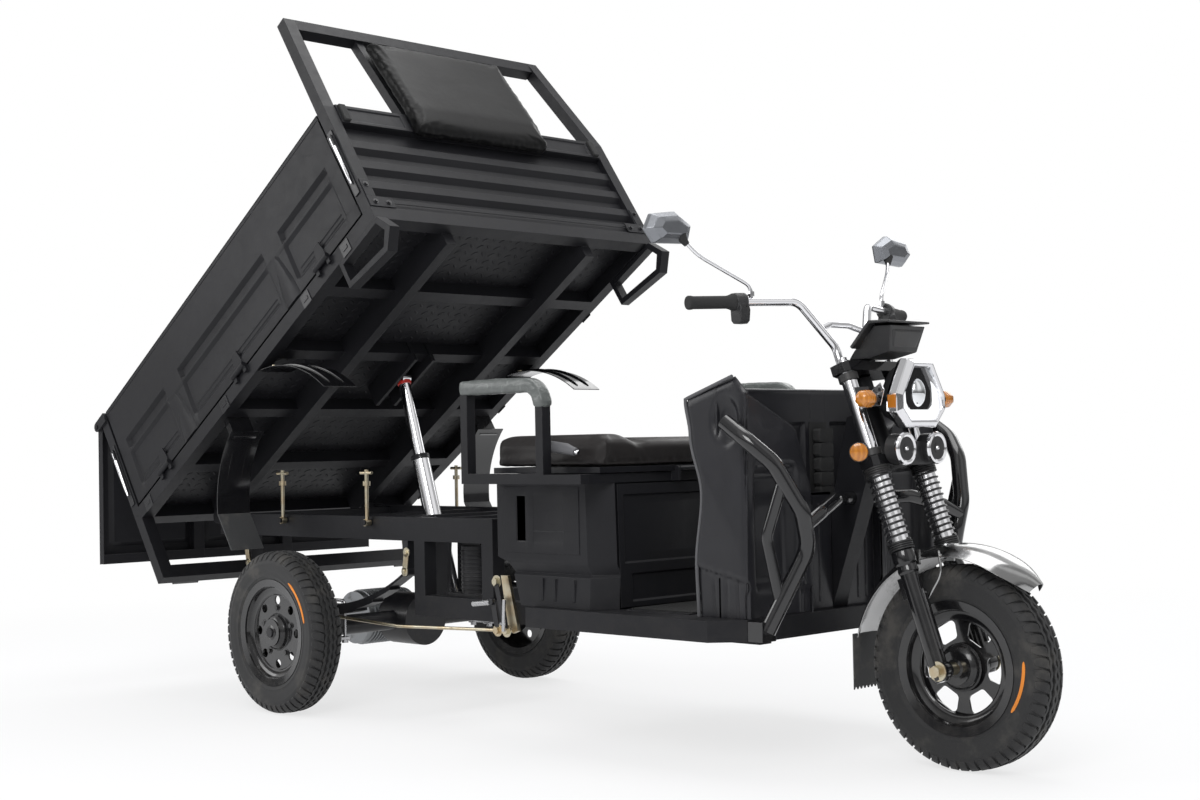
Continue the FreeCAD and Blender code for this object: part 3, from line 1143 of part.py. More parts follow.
def make_headboard():
    front = S.bed_rear + S.bed_length
    rear = front - S.bed_post
    half = S.bed_half
    tube = S.head_tube
    shape = None
    for sign in SIDES.values():
        def corners(level, outer, back):
            z = S.bed_base + level
            return [vec(rear - back, sign * (outer - tube), z), vec(front - back, sign * (outer - tube), z),
                    vec(front - back, sign * outer, z), vec(rear - back, sign * outer, z)]
        lower = hexahedron(corners(S.bed_rail, half, 0), corners(S.side_top, half, 0))
        upper = hexahedron(corners(S.side_top, half, 0),
                           corners(S.head_top, half - S.head_inset, S.head_lean))
        post = lower.fuse(upper)
        shape = post if shape is None else shape.fuse(post)
    inner = half - S.head_inset - tube
    top = slab(rear - S.head_lean, front - S.head_lean, -inner - 4.0, inner + 4.0,
               S.bed_base + S.head_top - tube, S.bed_base + S.head_top)
    side_inner = half - tube
    band = slab(rear, front, -side_inner, side_inner, S.bed_base + S.side_top - 65.0,
                S.bed_base + S.window_sill)
    base = slab(rear, front - 6.0, -side_inner, side_inner, S.bed_base + S.bed_rail,
                S.bed_base + S.bed_rail + 40.0)
    panel = slab(rear + 12.0, rear + 18.0, -side_inner, side_inner, S.bed_base + S.bed_rail,
                 S.bed_base + S.side_top - 60.0)
    shape = shape.fuse([top, band, base, panel])
    for index in range(int(S.rib_count)):
        middle = S.bed_base + S.rib_first + index * S.rib_pitch
        foot = rear + 18.0
        crest = foot + S.rib_height
        rib = extruded([vec(foot, -side_inner, middle - 30.0), vec(crest, -side_inner, middle - 14.0),
                        vec(crest, -side_inner, middle + 14.0), vec(foot, -side_inner, middle + 30.0)],
                       vec(0, 2.0 * side_inner, 0))
        shape = shape.fuse(rib)
    for sign in SIDES.values():
        bar_y = sign * (S.pad_half - 30.0)
        sill = S.bed_base + S.window_sill
        low = [vec(rear, bar_y - 15, sill), vec(rear + 30, bar_y - 15, sill),
               vec(rear + 30, bar_y + 15, sill), vec(rear, bar_y + 15, sill)]
        shift = vec(-S.head_lean, 0, S.head_top - S.window_sill - tube)
        shape = shape.fuse(hexahedron(low, [point + shift for point in low]))
    node(feature("headboard", shape.removeSplitter()), "headboard", bed_place())
    slope = S.head_lean / (S.head_top - S.side_top)
    low = S.pad_bottom
    rise = S.pad_top - S.window_sill
    face = front + S.soft_gap
    outline = [vec(face, -S.pad_half, S.bed_base + low),
               vec(face + S.pad_thickness, -S.pad_half, S.bed_base + low),
               vec(face + S.pad_thickness - slope * rise, -S.pad_half, S.bed_base + S.pad_top),
               vec(face - slope * rise, -S.pad_half, S.bed_base + S.pad_top),
               vec(face, -S.pad_half, S.bed_base + S.window_sill)]
    pad = extruded(outline, vec(0, 2.0 * S.pad_half, 0))
    node(feature("headboard_pad", pad), "headboard_pad", bed_place())


def make_corner_guards():
    guards = []
    front = S.bed_rear + S.bed_length
    for side, sign in SIDES.items():
        y_low = S.bed_half - S.corner_width if sign > 0 else -S.bed_half
        base = S.bed_base
        drop = S.corner_drop
        length = S.corner_length
        outer = [vec(front - length, y_low, base), vec(front - length, y_low, base - 0.8 * drop),
                 vec(front - 10.0, y_low, base - drop), vec(front + 40.0, y_low, base - 0.55 * drop),
                 vec(front + 6.0, y_low, base)]
        inner = [vec(front - length + 16.0, y_low, base - 14.0),
                 vec(front - length + 16.0, y_low, base - 0.8 * drop + 16.0),
                 vec(front - 18.0, y_low, base - drop + 20.0),
                 vec(front + 14.0, y_low, base - 0.55 * drop + 6.0),
                 vec(front - 8.0, y_low, base - 14.0)]
        loop = extruded(outer, vec(0, S.corner_width, 0)).cut(extruded(inner, vec(0, S.corner_width, 0)))
        guards.append(feature("corner_guard_" + side, loop))
    node(compound("corner_guards", guards), "corner_guards", bed_place())


def make_tail_lamps():
    lamps = [box("tail_lamp_" + side,
                 (bed_u("-14"), sided(side, "bed_half - 160", "95"), bed_w("-sill_drop + 4")),
                 ("14", "95", "sill_height - 8")) for side in SIDES]
    node(compound("tail_lamps", lamps), "tail_lamps", bed_place())


def make_rear_guards():
    guards = []
    flaps = []
    for side, sign in SIDES.items():
        y_low = S.rear_guard_inner if sign > 0 else -S.rear_guard_outer
        y_high = S.rear_guard_outer if sign > 0 else -S.rear_guard_inner
        outside = S.rear_guard_front_radius + S.guard_sheet
        steep = math.degrees(math.asin((S.bed_base - S.tyre_radius) / outside))
        front = arc_sheet(0.0, S.tyre_radius, S.rear_guard_front_radius, S.guard_sheet, 22.0, steep,
                          y_low, y_high)
        back = arc_sheet(0.0, S.tyre_radius, S.rear_guard_back_radius, S.guard_sheet, 105.0, 152.0,
                         y_low, y_high)
        foot_x = (S.rear_guard_back_radius + 1.0) * math.cos(math.radians(110.0))
        foot_z = S.tyre_radius + (S.rear_guard_back_radius + 1.0) * math.sin(math.radians(110.0))
        foot = slab(foot_x - 12.0, foot_x + 12.0, y_low + 20.0, y_high - 20.0, foot_z, S.bed_base)
        guards.append(feature("rear_guard_front_" + side, front))
        guards.append(feature("rear_guard_back_" + side, back.fuse(foot)))
        end = math.radians(152.0)
        top = S.tyre_radius + (S.rear_guard_back_radius + S.guard_sheet) * math.sin(end)
        outer_x = (S.rear_guard_back_radius + S.guard_sheet) * math.cos(end)
        sheet = slab(outer_x, outer_x + 4.0, y_low, y_high, top - S.rear_flap, top - 2.0)
        flaps.append(feature("rear_flap_" + side, sheet))
    node(compound("rear_mudguards", guards), "rear_mudguards", bed_place())
    node(compound("rear_flaps", flaps), "rear_flaps", bed_place())


def make_side_boards():
    for side, sign in SIDES.items():
        low = "bed_rail + board_gap"
        body = box("board_body_" + side,
                   (bed_u("bed_post + board_gap"),
                    sided(side, "bed_half - board_thickness - 2", "board_thickness"), bed_w(low)),
                   ("bed_length - 2 * bed_post - 2 * board_gap", "board_thickness",
                    "side_top - bed_rail - board_gap"))
        fields = []
        run = "bed_length - 2 * bed_post - 2 * board_gap"
        before = "field_margin + field_short + field_gap"
        spans = [("field_margin", "field_short"), (before, f"{run} - 2 * ({before})"),
                 (f"{run} - field_margin - field_short", "field_short")]
        for index, (start, length) in enumerate(spans):
            inner = "bed_half - 2 - field_depth"
            fields.append(box(f"board_field_{side}_{index}",
                              (bed_u(f"bed_post + board_gap + {start}"),
                               sided(side, inner, "field_depth + 5"), bed_w(f"{low} + field_low")),
                              (length, "field_depth + 5", f"side_top - field_high - ({low}) - field_low")))
        plate = cut("board_plate_" + side, body, compound("board_fields_" + side, fields))
        pieces = [plate]
        knuckle_y = sided(side, "bed_half + knuckle_radius + 1", "0")
        for index in range(int(S.hinge_count)):
            start = f"bed_length * {index + 0.5} / hinge_count - knuckle_length / 2"
            name = f"board_knuckle_{side}_{index}"
            barrel = cylinder(name, (bed_u(start), knuckle_y, bed_w(low)), X_AXIS, "knuckle_radius",
                              "knuckle_length")
            strap = box(name + "_strap", (bed_u(start), sided(side, "bed_half - 2", "5"), bed_w(low)),
                        ("knuckle_length", "5", "70"))
            hole = cylinder(name + "_hole", (bed_u(f"{start} - 5"), knuckle_y, bed_w(low)), X_AXIS,
                            "knuckle_pin + pin_clearance", "knuckle_length + 10")
            pieces.append(cut(name + "_leaf", fuse(name + "_blank", [barrel, strap]), hole))
        node(fuse("side_board_" + side, pieces), "side_board_" + side, bed_place())


def make_tailgate():
    half = "bed_half - board_gap"
    rear = "gate_pivot_u - board_thickness / 2"
    body = box("gate_body", (bed_u(rear), f"-({half})", bed_w("-gate_drop")),
               ("board_thickness", f"2 * ({half})", "side_top + gate_drop"))
    fields = []
    for index in range(int(S.gate_field_count)):
        pitch = f"(2 * ({half}) / gate_field_count)"
        fields.append(box(f"gate_field_{index}",
                          (bed_u(f"{rear} - 5"), f"-({half}) + {index} * {pitch} + 35",
                           bed_w("-gate_drop + 60")),
                          ("field_depth + 5", f"{pitch} - 70", "side_top + gate_drop - 120")))
    reach = "board_gap + ear_thickness + 14"
    pins = [cylinder("gate_pin_" + side,
                     (bed_u("gate_pivot_u"), sided(side, f"{half} - 10", reach), bed_w("gate_pivot_w")),
                     Y_AXIS, "gate_pin_radius", reach) for side in SIDES]
    plate = cut("gate_plate", body, compound("gate_fields", fields))
    node(fuse("tailgate", [plate] + pins), "tailgate", gate_place())


def make_hold_downs():
    for name, spot in (("rear", "hold_x_rear"), ("front", "hold_x_front")):
        bolts = []
        for side in SIDES:
            tag = f"hold_{side}_{name}"
            y = sided(side, "rail_outer + hold_offset", "0")
            eye_y = sided(side, "rail_outer + hold_offset - hold_eye_length / 2", "hold_eye_length")
            ring = cylinder(tag + "_ring", (spot, eye_y, "hold_z"), Y_AXIS,
                            "hold_eye_radius", "hold_eye_length")
            bore = cylinder(tag + "_bore", (spot, sided(side, "rail_outer", "2 * hold_eye_length"), "hold_z"),
                            Y_AXIS, "hold_pin_radius + pin_clearance", "2 * hold_eye_length")
            eye = cut(tag + "_eye", ring, bore)
            shank = cylinder(tag + "_shank", (spot, y, "hold_z + hold_pin_radius + 3"), Z_AXIS, "hold_radius",
                             "hold_length - hold_pin_radius - 3")
            handle = cylinder(tag + "_handle", (f"{spot} - 28", y, "hold_z + hold_length - 10"), X_AXIS,
                              "hold_pin_radius", "56")
            nut = cylinder(tag + "_nut", (spot, y, "hold_z + hold_length - 50"), Z_AXIS, "12", "14")
            bolts.append(fuse(tag, [shank, eye, handle, nut]))
        node(compound("hold_bolts_" + name, bolts), "hold_downs_" + name, chassis_place())


# Steering, in the fork's frame where the piece follows the fork

def make_fork():
    legs = []
    springs = []
    for side, sign in SIDES.items():
        y = sign * S.leg_spread
        x = -S.leg_back
        slider = Part.makeCylinder(S.slider_radius, S.slider_top - 40.0, vec(x, y, 40.0), Z_AXIS)
        drop = slab(x - 16.0, x + 24.0, y - 9.0, y + 9.0, -26.0, 50.0)
        tube = Part.makeCylinder(S.inner_tube_radius, S.lower_yoke - S.slider_top,
                                 vec(x, y, S.slider_top), Z_AXIS)
        upper = Part.makeCylinder(S.tube_radius, S.upper_yoke - S.lower_yoke, vec(x, y, S.lower_yoke), Z_AXIS)
        axle_hole = Part.makeCylinder(S.front_axle_radius, 60.0, vec(0, y - 30.0, 0), Y_AXIS)
        leg = slider.fuse([drop, tube, upper]).cut(axle_hole).removeSplitter()
        legs.append(feature("fork_leg_" + side, leg))
        rings = None
        length = S.lower_yoke - S.slider_top - 4.0
        turns = int(S.spring_turns)
        coil_radius = S.spring_radius - S.spring_wire
        for index in range(turns):
            level = S.slider_top + 2.0 + length * (index + 0.5) / turns
            ring = Part.makeTorus(coil_radius, S.spring_wire, vec(x, y, level), Z_AXIS)
            rings = ring if rings is None else rings.fuse(ring)
        spine = Part.makeCylinder(coil_radius, length, vec(x, y, S.slider_top + 2.0), Z_AXIS)
        spine = spine.cut(Part.makeCylinder(S.inner_tube_radius + S.soft_gap, length + 8.0,
                                            vec(x, y, S.slider_top), Z_AXIS))
        springs.append(feature("fork_spring_" + side, rings.fuse(spine)))
    node(compound("fork_legs", legs), "fork_legs", fork_place())
    node(compound("fork_springs", springs), "fork_springs", fork_place())
    axle = cylinder("front_axle", ("0", "-(leg_spread + 26)", "0"), Y_AXIS, "front_axle_radius",
                    "2 * (leg_spread + 26)")
    length = "leg_spread - 9 - hub_half_length - 3"
    spacers = [cylinder("axle_spacer_" + side, ("0", sided(side, "hub_half_length + 3", length), "0"),
                        Y_AXIS, "2 * front_axle_radius", length) for side in SIDES]
    node(fuse("front_spindle", [axle] + spacers), "front_spindle", fork_place())


def make_yokes():
    pieces = []
    for name, level in (("lower", "lower_yoke"), ("upper", "upper_yoke")):
        outline = [("-yoke_rear", "-yoke_half"), ("yoke_front - 12", "-yoke_half"),
                   ("yoke_front", "-yoke_half + 12"), ("yoke_front", "yoke_half - 12"),
                   ("yoke_front - 12", "yoke_half"), ("-yoke_rear", "yoke_half"),
                   ("-stem_back - stem_radius - 8", "stem_radius + 10"),
                   ("-stem_back - stem_radius - 8", "-stem_radius - 10")]
        pieces.append(prism(name + "_yoke_plate", "XY", [outline], "yoke_height",
                            ("0", "0", f"{level} + yoke_height / 2")))
    stem = cylinder("steering_stem", ("-stem_back", "0", "lower_yoke"), Z_AXIS, "stem_radius",
                    "upper_yoke - lower_yoke + yoke_height + 8")
    holes = [cylinder("yoke_hole_" + side, ("-leg_back", sided(side, "leg_spread", "0"), "lower_yoke - 5"),
                      Z_AXIS, "tube_radius", "upper_yoke - lower_yoke + 5") for side in SIDES]
    solid = fuse("yoke_solid", pieces + [stem])
    node(cut("fork_yokes", solid, compound("yoke_holes", holes)), "fork_yokes", fork_place())


def bar_points():
    """Handlebar's right half, from the grip's end to the upper yoke."""
    level = S.upper_yoke + S.yoke_height + S.soft_gap
    return [ahead(-490, -452, 1176), ahead(-425, -262, 1182), ahead(-384, -150, 1184),
            fork_point(-S.stem_back, -64, level + 62.0), fork_point(-S.stem_back, -64, level)]


def make_handlebar():
    points = bar_points()
    right = bent_tube(points, S.bar_radius, S.bar_bend)
    left = bent_tube(mirrored(points), S.bar_radius, S.bar_bend)
    lower = ahead(-356, -98, 1112)
    cross = bent_tube([lower, ahead(-368, -40, 1128), ahead(-368, 40, 1128), ahead(-356, 98, 1112)],
                      S.brace_radius, S.brace_bend)
    node(feature("handlebar", right.fuse([left, cross])), "handlebar", chassis_place())


def make_hand_controls():
    points = bar_points()
    controls = []
    for side, sign in SIDES.items():
        end = points[0] if sign < 0 else mirrored(points)[0]
        toward = points[1] if sign < 0 else mirrored(points)[1]
        along = (toward - end).normalize()
        grip = Part.makeCylinder(S.grip_radius, S.grip_length, end - along * 3.0, along)
        collar = Part.makeCylinder(S.collar_radius, S.collar_length,
                                   end + along * (S.grip_length - 2.0), along)
        switch = slab(-14.0, 22.0, -20.0, 20.0, -56.0, -8.0)
        spot = end + along * (S.grip_length + 15.0)
        switch.translate(spot)
        hole = Part.makeCylinder(S.bar_radius, 300.0, end, along)
        shape = grip.fuse([collar, switch]).cut(hole)
        controls.append(feature("hand_control_" + side, shape))
    node(compound("hand_controls", controls), "hand_controls", chassis_place())


def make_mirrors():
    mirrors = []
    for side, sign in SIDES.items():
        stem = bent_tube([ahead(-432, -280, 1192.8), ahead(-432, -280, 1222), ahead(-500, -405, 1300),
                          ahead(-522, -440, 1345)], S.mirror_stem_radius, 20.0)
        across = [(-88.0, -6.0), (-66.0, 34.0), (18.0, 46.0), (72.0, 14.0), (60.0, -34.0), (-56.0, -40.0)]
        head = extruded([ahead(-550, -470 + spot, 1366 + up) for spot, up in across],
                        vec(S.mirror_depth, 0, 0))
        shape = head.fuse(stem)
        if sign > 0:
            shape = shape.mirror(vec(0, 0, 0), Y_AXIS)
        mirrors.append(feature("mirror_" + side, shape))
    node(compound("mirrors", mirrors), "mirrors", chassis_place())


def octagon(x, half, low, high, corner):
    return [vec(x, -half + corner, low), vec(x, half - corner, low), vec(x, half, low + corner),
            vec(x, half, high - corner), vec(x, half - corner, high), vec(x, -half + corner, high),
            vec(x, -half, high - corner), vec(x, -half, low + corner)]


def make_headlamp():
    bezel_rear = S.lamp_face - S.lamp_bezel
    bezel = extruded(octagon(bezel_rear, S.lamp_half, S.lamp_bottom, S.lamp_top, S.lamp_corner),
                     vec(S.lamp_bezel, 0, 0))
    shell = extruded(octagon(S.lamp_rear, S.lamp_half - 14.0, S.lamp_bottom + 10.0, S.lamp_top - 10.0,
                             S.lamp_corner), vec(bezel_rear - S.lamp_rear, 0, 0))
    hollow = extruded(octagon(S.lamp_face - 12.0, S.lamp_half - 16.0, S.lamp_bottom + 16.0, S.lamp_top - 16.0,
                              S.lamp_corner - 8.0), vec(20.0, 0, 0))
    lean = math.radians(S.rake)
    middle = (S.lamp_bottom + S.lamp_top) / 2.0
    along = (middle - S.tyre_radius + S.leg_back * math.sin(lean)) / math.cos(lean)
    leg_x = S.wheel_base - S.leg_back * math.cos(lean) - along * math.sin(lean)
    leg_front = leg_x + (S.tube_radius + 0.3) / math.cos(lean) + 15.0 * math.tan(lean)
    bracket = slab(leg_front, S.lamp_rear, -S.leg_spread - 12.0, S.leg_spread + 12.0,
                   middle - 15.0, middle + 15.0)
    shape = bezel.fuse([shell, bracket]).cut(hollow)
    node(feature("headlamp", shape), "headlamp", chassis_place())
    lamps = []
    for side, sign in SIDES.items():
        start = S.lamp_half - 14.0
        stalk = Part.makeCylinder(S.stalk_radius, S.stalk_length,
                                  ahead(-168, sign * start, S.indicator_z), vec(0, sign, 0))
        bulb = Part.makeCylinder(S.bulb_radius, S.bulb_length,
                                 ahead(-160, sign * S.bulb_inner, S.indicator_z), vec(0, sign, 0))
        lamps.append(feature("indicator_" + side, stalk.fuse(bulb)))
    node(compound("indicators", lamps), "indicators", chassis_place())


def make_horns():
    lean = math.radians(S.rake)
    across = S.yoke_front
    edge = vec(S.wheel_base + across * math.cos(lean) - S.lower_yoke * math.sin(lean), 0, 0)
    bar = slab(edge.x + S.soft_gap, edge.x + 22.0, -S.horn_spread, S.horn_spread,
               S.horn_z - 42.0, S.horn_z + 18.0)
    pieces = []
    for sign in SIDES.values():
        pieces.append(Part.makeCylinder(S.horn_radius, S.horn_depth,
                                        vec(edge.x + 4.0, sign * S.horn_spread, S.horn_z), X_AXIS))
    node(feature("twin_horns", bar.fuse(pieces)), "twin_horns", chassis_place())


def make_cowl():
    outline = [("wheel_base - 298", "1028"), ("wheel_base - 200", "1128"), ("wheel_base - 145", "1122"),
               ("wheel_base - 164", "1045"), ("wheel_base - 228", "1030")]
    pod = prism("cowl_pod", "XZ", [outline], "184")
    foot = S.upper_yoke + S.yoke_height + S.soft_gap
    rear = fork_point(-22.0, -30.0, foot)
    front = fork_point(16.0, -30.0, foot)
    top = 1045.0
    leg = feature("cowl_leg", extruded([rear, front, vec(front.x, -30.0, top), vec(rear.x, -30.0, top)],
                                       vec(0, 60.0, 0)))
    node(fuse("instrument_cowl", [pod, leg]), "instrument_cowl", chassis_place())


def make_front_mudguard():
    axle_x = S.wheel_base
    sheet = arc_sheet(axle_x, S.tyre_radius, S.guard_radius, S.guard_sheet, S.guard_front, S.guard_rear,
                      -S.guard_half, S.guard_half)
    shape = sheet
    for sign in SIDES.values():
        inner = S.guard_half - 3.0
        outer = S.leg_spread - S.slider_radius + 4.0
        y_low = inner if sign > 0 else -outer
        tab = slab(-S.leg_back - 20.0, -S.leg_back + 20.0, y_low, y_low + outer - inner,
                   S.guard_radius - 34.0, S.guard_radius + 1.0)
        leg = Part.makeCylinder(S.slider_radius, S.slider_top,
                                vec(-S.leg_back, sign * S.leg_spread, 0), Z_AXIS)
        shape = shape.fuse(on_fork(tab.cut(leg)))
    node(feature("front_mudguard", shape), "front_mudguard", chassis_place())
    end = math.radians(S.guard_rear)
    end_x = axle_x + (S.guard_radius + S.guard_sheet) * math.cos(end)
    end_z = S.tyre_radius + S.guard_radius * math.sin(end)
    flap = slab(end_x - 1.0, end_x + 3.0, -S.guard_half + 4.0, S.guard_half - 4.0,
                end_z - S.flap_drop, end_z - 0.8)
    node(feature("front_flap", flap), "front_flap", chassis_place())


def check_document():
    for item in DOC.Objects:
        if "Invalid" in item.State or "Error" in item.State:
            raise RuntimeError(f"{item.Label} failed: {item.State}")
    for item in NODES:
        if item.Shape.isNull() or not item.Shape.isValid() or not item.Shape.Solids:
            raise RuntimeError(f"{item.Label} has no valid solid")


def export_parts():
    os.makedirs("parts", exist_ok=True)
    whole = FreeCAD.BoundBox()
    for item in NODES:
        item.Shape.exportStep(f"parts/{item.Label}.step")
        whole.add(item.Shape.BoundBox)
    print(f"{len(NODES)} parts, X {whole.XMin:.2f} to {whole.XMax:.2f}, "
          f"Y {whole.YMin:.2f} to {whole.YMax:.2f}, Z {whole.ZMin:.2f} to {whole.ZMax:.2f}")


def main():
    make_wheels()
    make_main_frame()
    make_rear_axle()
    make_leaf_springs()
    make_hydraulic_unit()
    make_seat_box()
    make_seat_frame()
    make_seat()
    make_floor_pan()
    make_leg_shield()
    make_crash_bars()
    make_brake_rod()
    make_ram()
    make_bed_frame()
    make_headboard()
    make_corner_guards()
    make_tail_lamps()
    make_rear_guards()
    make_side_boards()
    make_tailgate()
    make_hold_downs()
    make_fork()
    make_yokes()
    make_handlebar()
    make_hand_controls()
    make_mirrors()
    make_headlamp()
    make_horns()
    make_cowl()
    make_front_mudguard()
    DOC.recompute()
    check_document()
    export_parts()


main()
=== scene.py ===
"""Looks of the motorized trike with a tipping load bed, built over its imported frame.

Sizes are metres in the row frame. Each sub-assembly is a class, each finish a small
frozen class, and repeats such as bolts, ribs and tread come from Geometry Nodes trees.
"""

import json
import logging
import math
from dataclasses import dataclass
from enum import Enum
from typing import Callable, Iterable, Sequence

import bmesh
import bpy
from mathutils import Matrix, Vector, noise

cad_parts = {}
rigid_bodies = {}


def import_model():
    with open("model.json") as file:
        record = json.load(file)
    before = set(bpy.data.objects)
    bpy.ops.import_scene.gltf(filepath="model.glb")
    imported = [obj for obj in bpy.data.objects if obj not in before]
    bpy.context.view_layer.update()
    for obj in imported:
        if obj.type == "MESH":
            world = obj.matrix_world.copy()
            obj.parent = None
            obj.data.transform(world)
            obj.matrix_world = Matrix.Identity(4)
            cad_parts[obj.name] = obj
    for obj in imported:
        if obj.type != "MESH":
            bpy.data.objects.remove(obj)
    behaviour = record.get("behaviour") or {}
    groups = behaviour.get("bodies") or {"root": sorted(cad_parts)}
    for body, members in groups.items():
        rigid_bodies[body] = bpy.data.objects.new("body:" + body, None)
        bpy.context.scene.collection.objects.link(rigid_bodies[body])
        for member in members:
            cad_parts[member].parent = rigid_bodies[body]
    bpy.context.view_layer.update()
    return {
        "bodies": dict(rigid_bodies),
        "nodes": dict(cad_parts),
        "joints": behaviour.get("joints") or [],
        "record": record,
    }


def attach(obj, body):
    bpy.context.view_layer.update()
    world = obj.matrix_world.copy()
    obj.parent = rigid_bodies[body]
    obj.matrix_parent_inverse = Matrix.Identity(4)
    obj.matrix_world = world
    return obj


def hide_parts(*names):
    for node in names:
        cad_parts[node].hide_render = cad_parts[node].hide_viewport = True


LOG = logging.getLogger("trike")

Point = Sequence[float]
Colour = tuple[float, float, float]
Rows = list[list[Vector]]

MERGE = 2e-5
AXLE_TURN = Matrix.Rotation(-math.pi / 2, 4, "X")
UPSIDE_DOWN = Matrix.Rotation(math.pi, 4, "X")
SIDES = (-1, 1)


class Link:
    """One socket of a node tree that takes part in Python expressions."""

    def __init__(self, tree: "Tree", socket: bpy.types.NodeSocket) -> None:
        """Keeps the tree and its socket."""
        self.tree = tree
        self.socket = socket

    def _maths(self, kind: str, other: "Link | float", swapped: bool = False) -> "Link":
        """Adds one Math node for this socket and another value.

        Args:
            kind: the Math node's operation.
            other: a socket or a number.
            swapped: whether the other value comes first.

        Returns:
            The node's result.
        """
        pair = (other, self) if swapped else (self, other)
        return self.tree.maths(kind, *pair)

    def __add__(self, other: "Link | float") -> "Link":
        """Sum."""
        return self._maths("ADD", other)

    __radd__ = __add__

    def __sub__(self, other: "Link | float") -> "Link":
        """Difference."""
        return self._maths("SUBTRACT", other)

    def __rsub__(self, other: "Link | float") -> "Link":
        """Difference from a number."""
        return self._maths("SUBTRACT", other, True)

    def __mul__(self, other: "Link | float") -> "Link":
        """Product."""
        return self._maths("MULTIPLY", other)

    __rmul__ = __mul__

    def __truediv__(self, other: "Link | float") -> "Link":
        """Quotient."""
        return self._maths("DIVIDE", other)

    def __rtruediv__(self, other: "Link | float") -> "Link":
        """Quotient of a number."""
        return self._maths("DIVIDE", other, True)

    def ramp(self, low: float, high: float) -> "Link":
        """Smooth step from 0 at low to 1 at high."""
        settings = {"interpolation_type": "SMOOTHSTEP"}
        return self.tree.node("ShaderNodeMapRange", settings, {0: self, 1: low, 2: high})


class Tree:
    """A node tree that takes nodes from one generic method."""

    def __init__(self, tree: bpy.types.NodeTree) -> None:
        """Keeps Blender's own tree."""
        self.tree = tree

    def node(self, kind: str, settings: dict | None = None, inputs: dict | None = None,
             out: int | str = 0) -> Link:
        """Adds a node, its settings first and then its sockets.

        Args:
            kind: Blender's node type.
            settings: attributes of the node.
            inputs: socket name or index to a Link or a value.
            out: the output that is returned.

        Returns:
            The chosen output as a Link.
        """
        made = self.tree.nodes.new(kind)
        for name, value in (settings or {}).items():
            setattr(made, name, value)
        for key, value in (inputs or {}).items():
            if isinstance(value, Link):
                self.tree.links.new(value.socket, made.inputs[key])
            else:
                made.inputs[key].default_value = value
        return Link(self, made.outputs[out])

    def maths(self, kind: str, *values: Link | float) -> Link:
        """Adds a Math node of a kind for one or two values."""
        return self.node("ShaderNodeMath", {"operation": kind}, dict(enumerate(values)))

    def end(self, kind: str, last: Link) -> None:
        """Adds the tree's output node and joins the last socket to its first one."""
        self.tree.links.new(last.socket, self.tree.nodes.new(kind).inputs[0])


class Surface(Tree):
    """A material's shader tree with the textures that the finishes share."""

    def __init__(self, name: str) -> None:
        """Makes an empty material."""
        self.material = bpy.data.materials.new(name)
        self.material.use_nodes = True
        super().__init__(self.material.node_tree)
        self.tree.nodes.clear()
        self.place = self.node("ShaderNodeTexCoord", out="Object")

    def noise(self, scale: float, detail: float = 3.0, rough: float = 0.5,
              bend: float = 0.0, at: Link | None = None) -> Link:
        """Noise texture's factor.

        Args:
            scale: cells a metre.
            detail: octaves.
            rough: roughness of the octaves.
            bend: distortion.
            at: coordinates, the object's own where not given.

        Returns:
            A value about 0.5.
        """
        inputs = {"Vector": at or self.place, "Scale": scale, "Detail": detail,
                  "Roughness": rough, "Distortion": bend}
        return self.node("ShaderNodeTexNoise", None, inputs)

    def cells(self, scale: float) -> Link:
        """Voronoi texture's distance."""
        return self.node("ShaderNodeTexVoronoi", {"feature": "F1"}, {"Vector": self.place, "Scale": scale})

    def stretched(self, scale: Point) -> Link:
        """Object coordinates scaled along each axis."""
        return self.node("ShaderNodeMapping", None, {"Vector": self.place, "Scale": tuple(scale)})

    def mix(self, factor: Link | float, low: Link | Colour, high: Link | Colour) -> Link:
        """Blends two colours.

        Args:
            factor: share of the second.
            low: the first colour.
            high: the second colour.

        Returns:
            The blended colour.
        """
        pair = [c if isinstance(c, Link) else (*c, 1.0) for c in (low, high)]
        return self.node("ShaderNodeMix", {"data_type": "RGBA"}, {0: factor, 6: pair[0], 7: pair[1]}, 2)

    def height(self) -> Link:
        """The third of the object coordinates."""
        return self.node("ShaderNodeSeparateXYZ", None, {0: self.place}, 2)

    def soft_edge(self, radius: float) -> tuple[Link, Link]:
        """A rounded edge for the shader.

        Args:
            radius: radius of the edge in metres.

        Returns:
            The rounded normal, and a mask that is high at convex and concave edges.
        """
        normal = self.node("ShaderNodeBevel", {"samples": 4}, {"Radius": radius})
        flat = self.node("ShaderNodeNewGeometry", out="Normal")
        agree = self.node("ShaderNodeVectorMath", {"operation": "DOT_PRODUCT"},
                          {0: normal, 1: flat}, "Value")
        return normal, (1.0 - agree)

    def bump(self, height: Link, depth: float, under: Link | None = None) -> Link:
        """Bump node's normal.

        Args:
            height: the height value.
            depth: metres that a step of one in height stands for.
            under: a normal to start from.

        Returns:
            The normal.
        """
        inputs = {"Height": height, "Strength": 1.0, "Distance": depth}
        if under is not None:
            inputs["Normal"] = under
        return self.node("ShaderNodeBump", None, inputs)

    def close(self, inputs: dict) -> bpy.types.Material:
        """Ends the tree in a Principled shader.

        Args:
            inputs: values and links of the shader's sockets.

        Returns:
            The material.
        """
        self.end("ShaderNodeOutputMaterial", self.node("ShaderNodeBsdfPrincipled", None, inputs))
        return self.material


def shade(colour: Colour, gain: float) -> Colour:
    """The colour made lighter or darker."""
    return tuple(min(1.0, c * gain) for c in colour)


class Finish:
    """A finish that makes its material once."""

    name: str

    def build(self) -> bpy.types.Material:
        """Makes the material."""
        raise NotImplementedError

    def material(self) -> bpy.types.Material:
        """The finish's material, made at its first use."""
        return bpy.data.materials.get(self.name) or self.build()


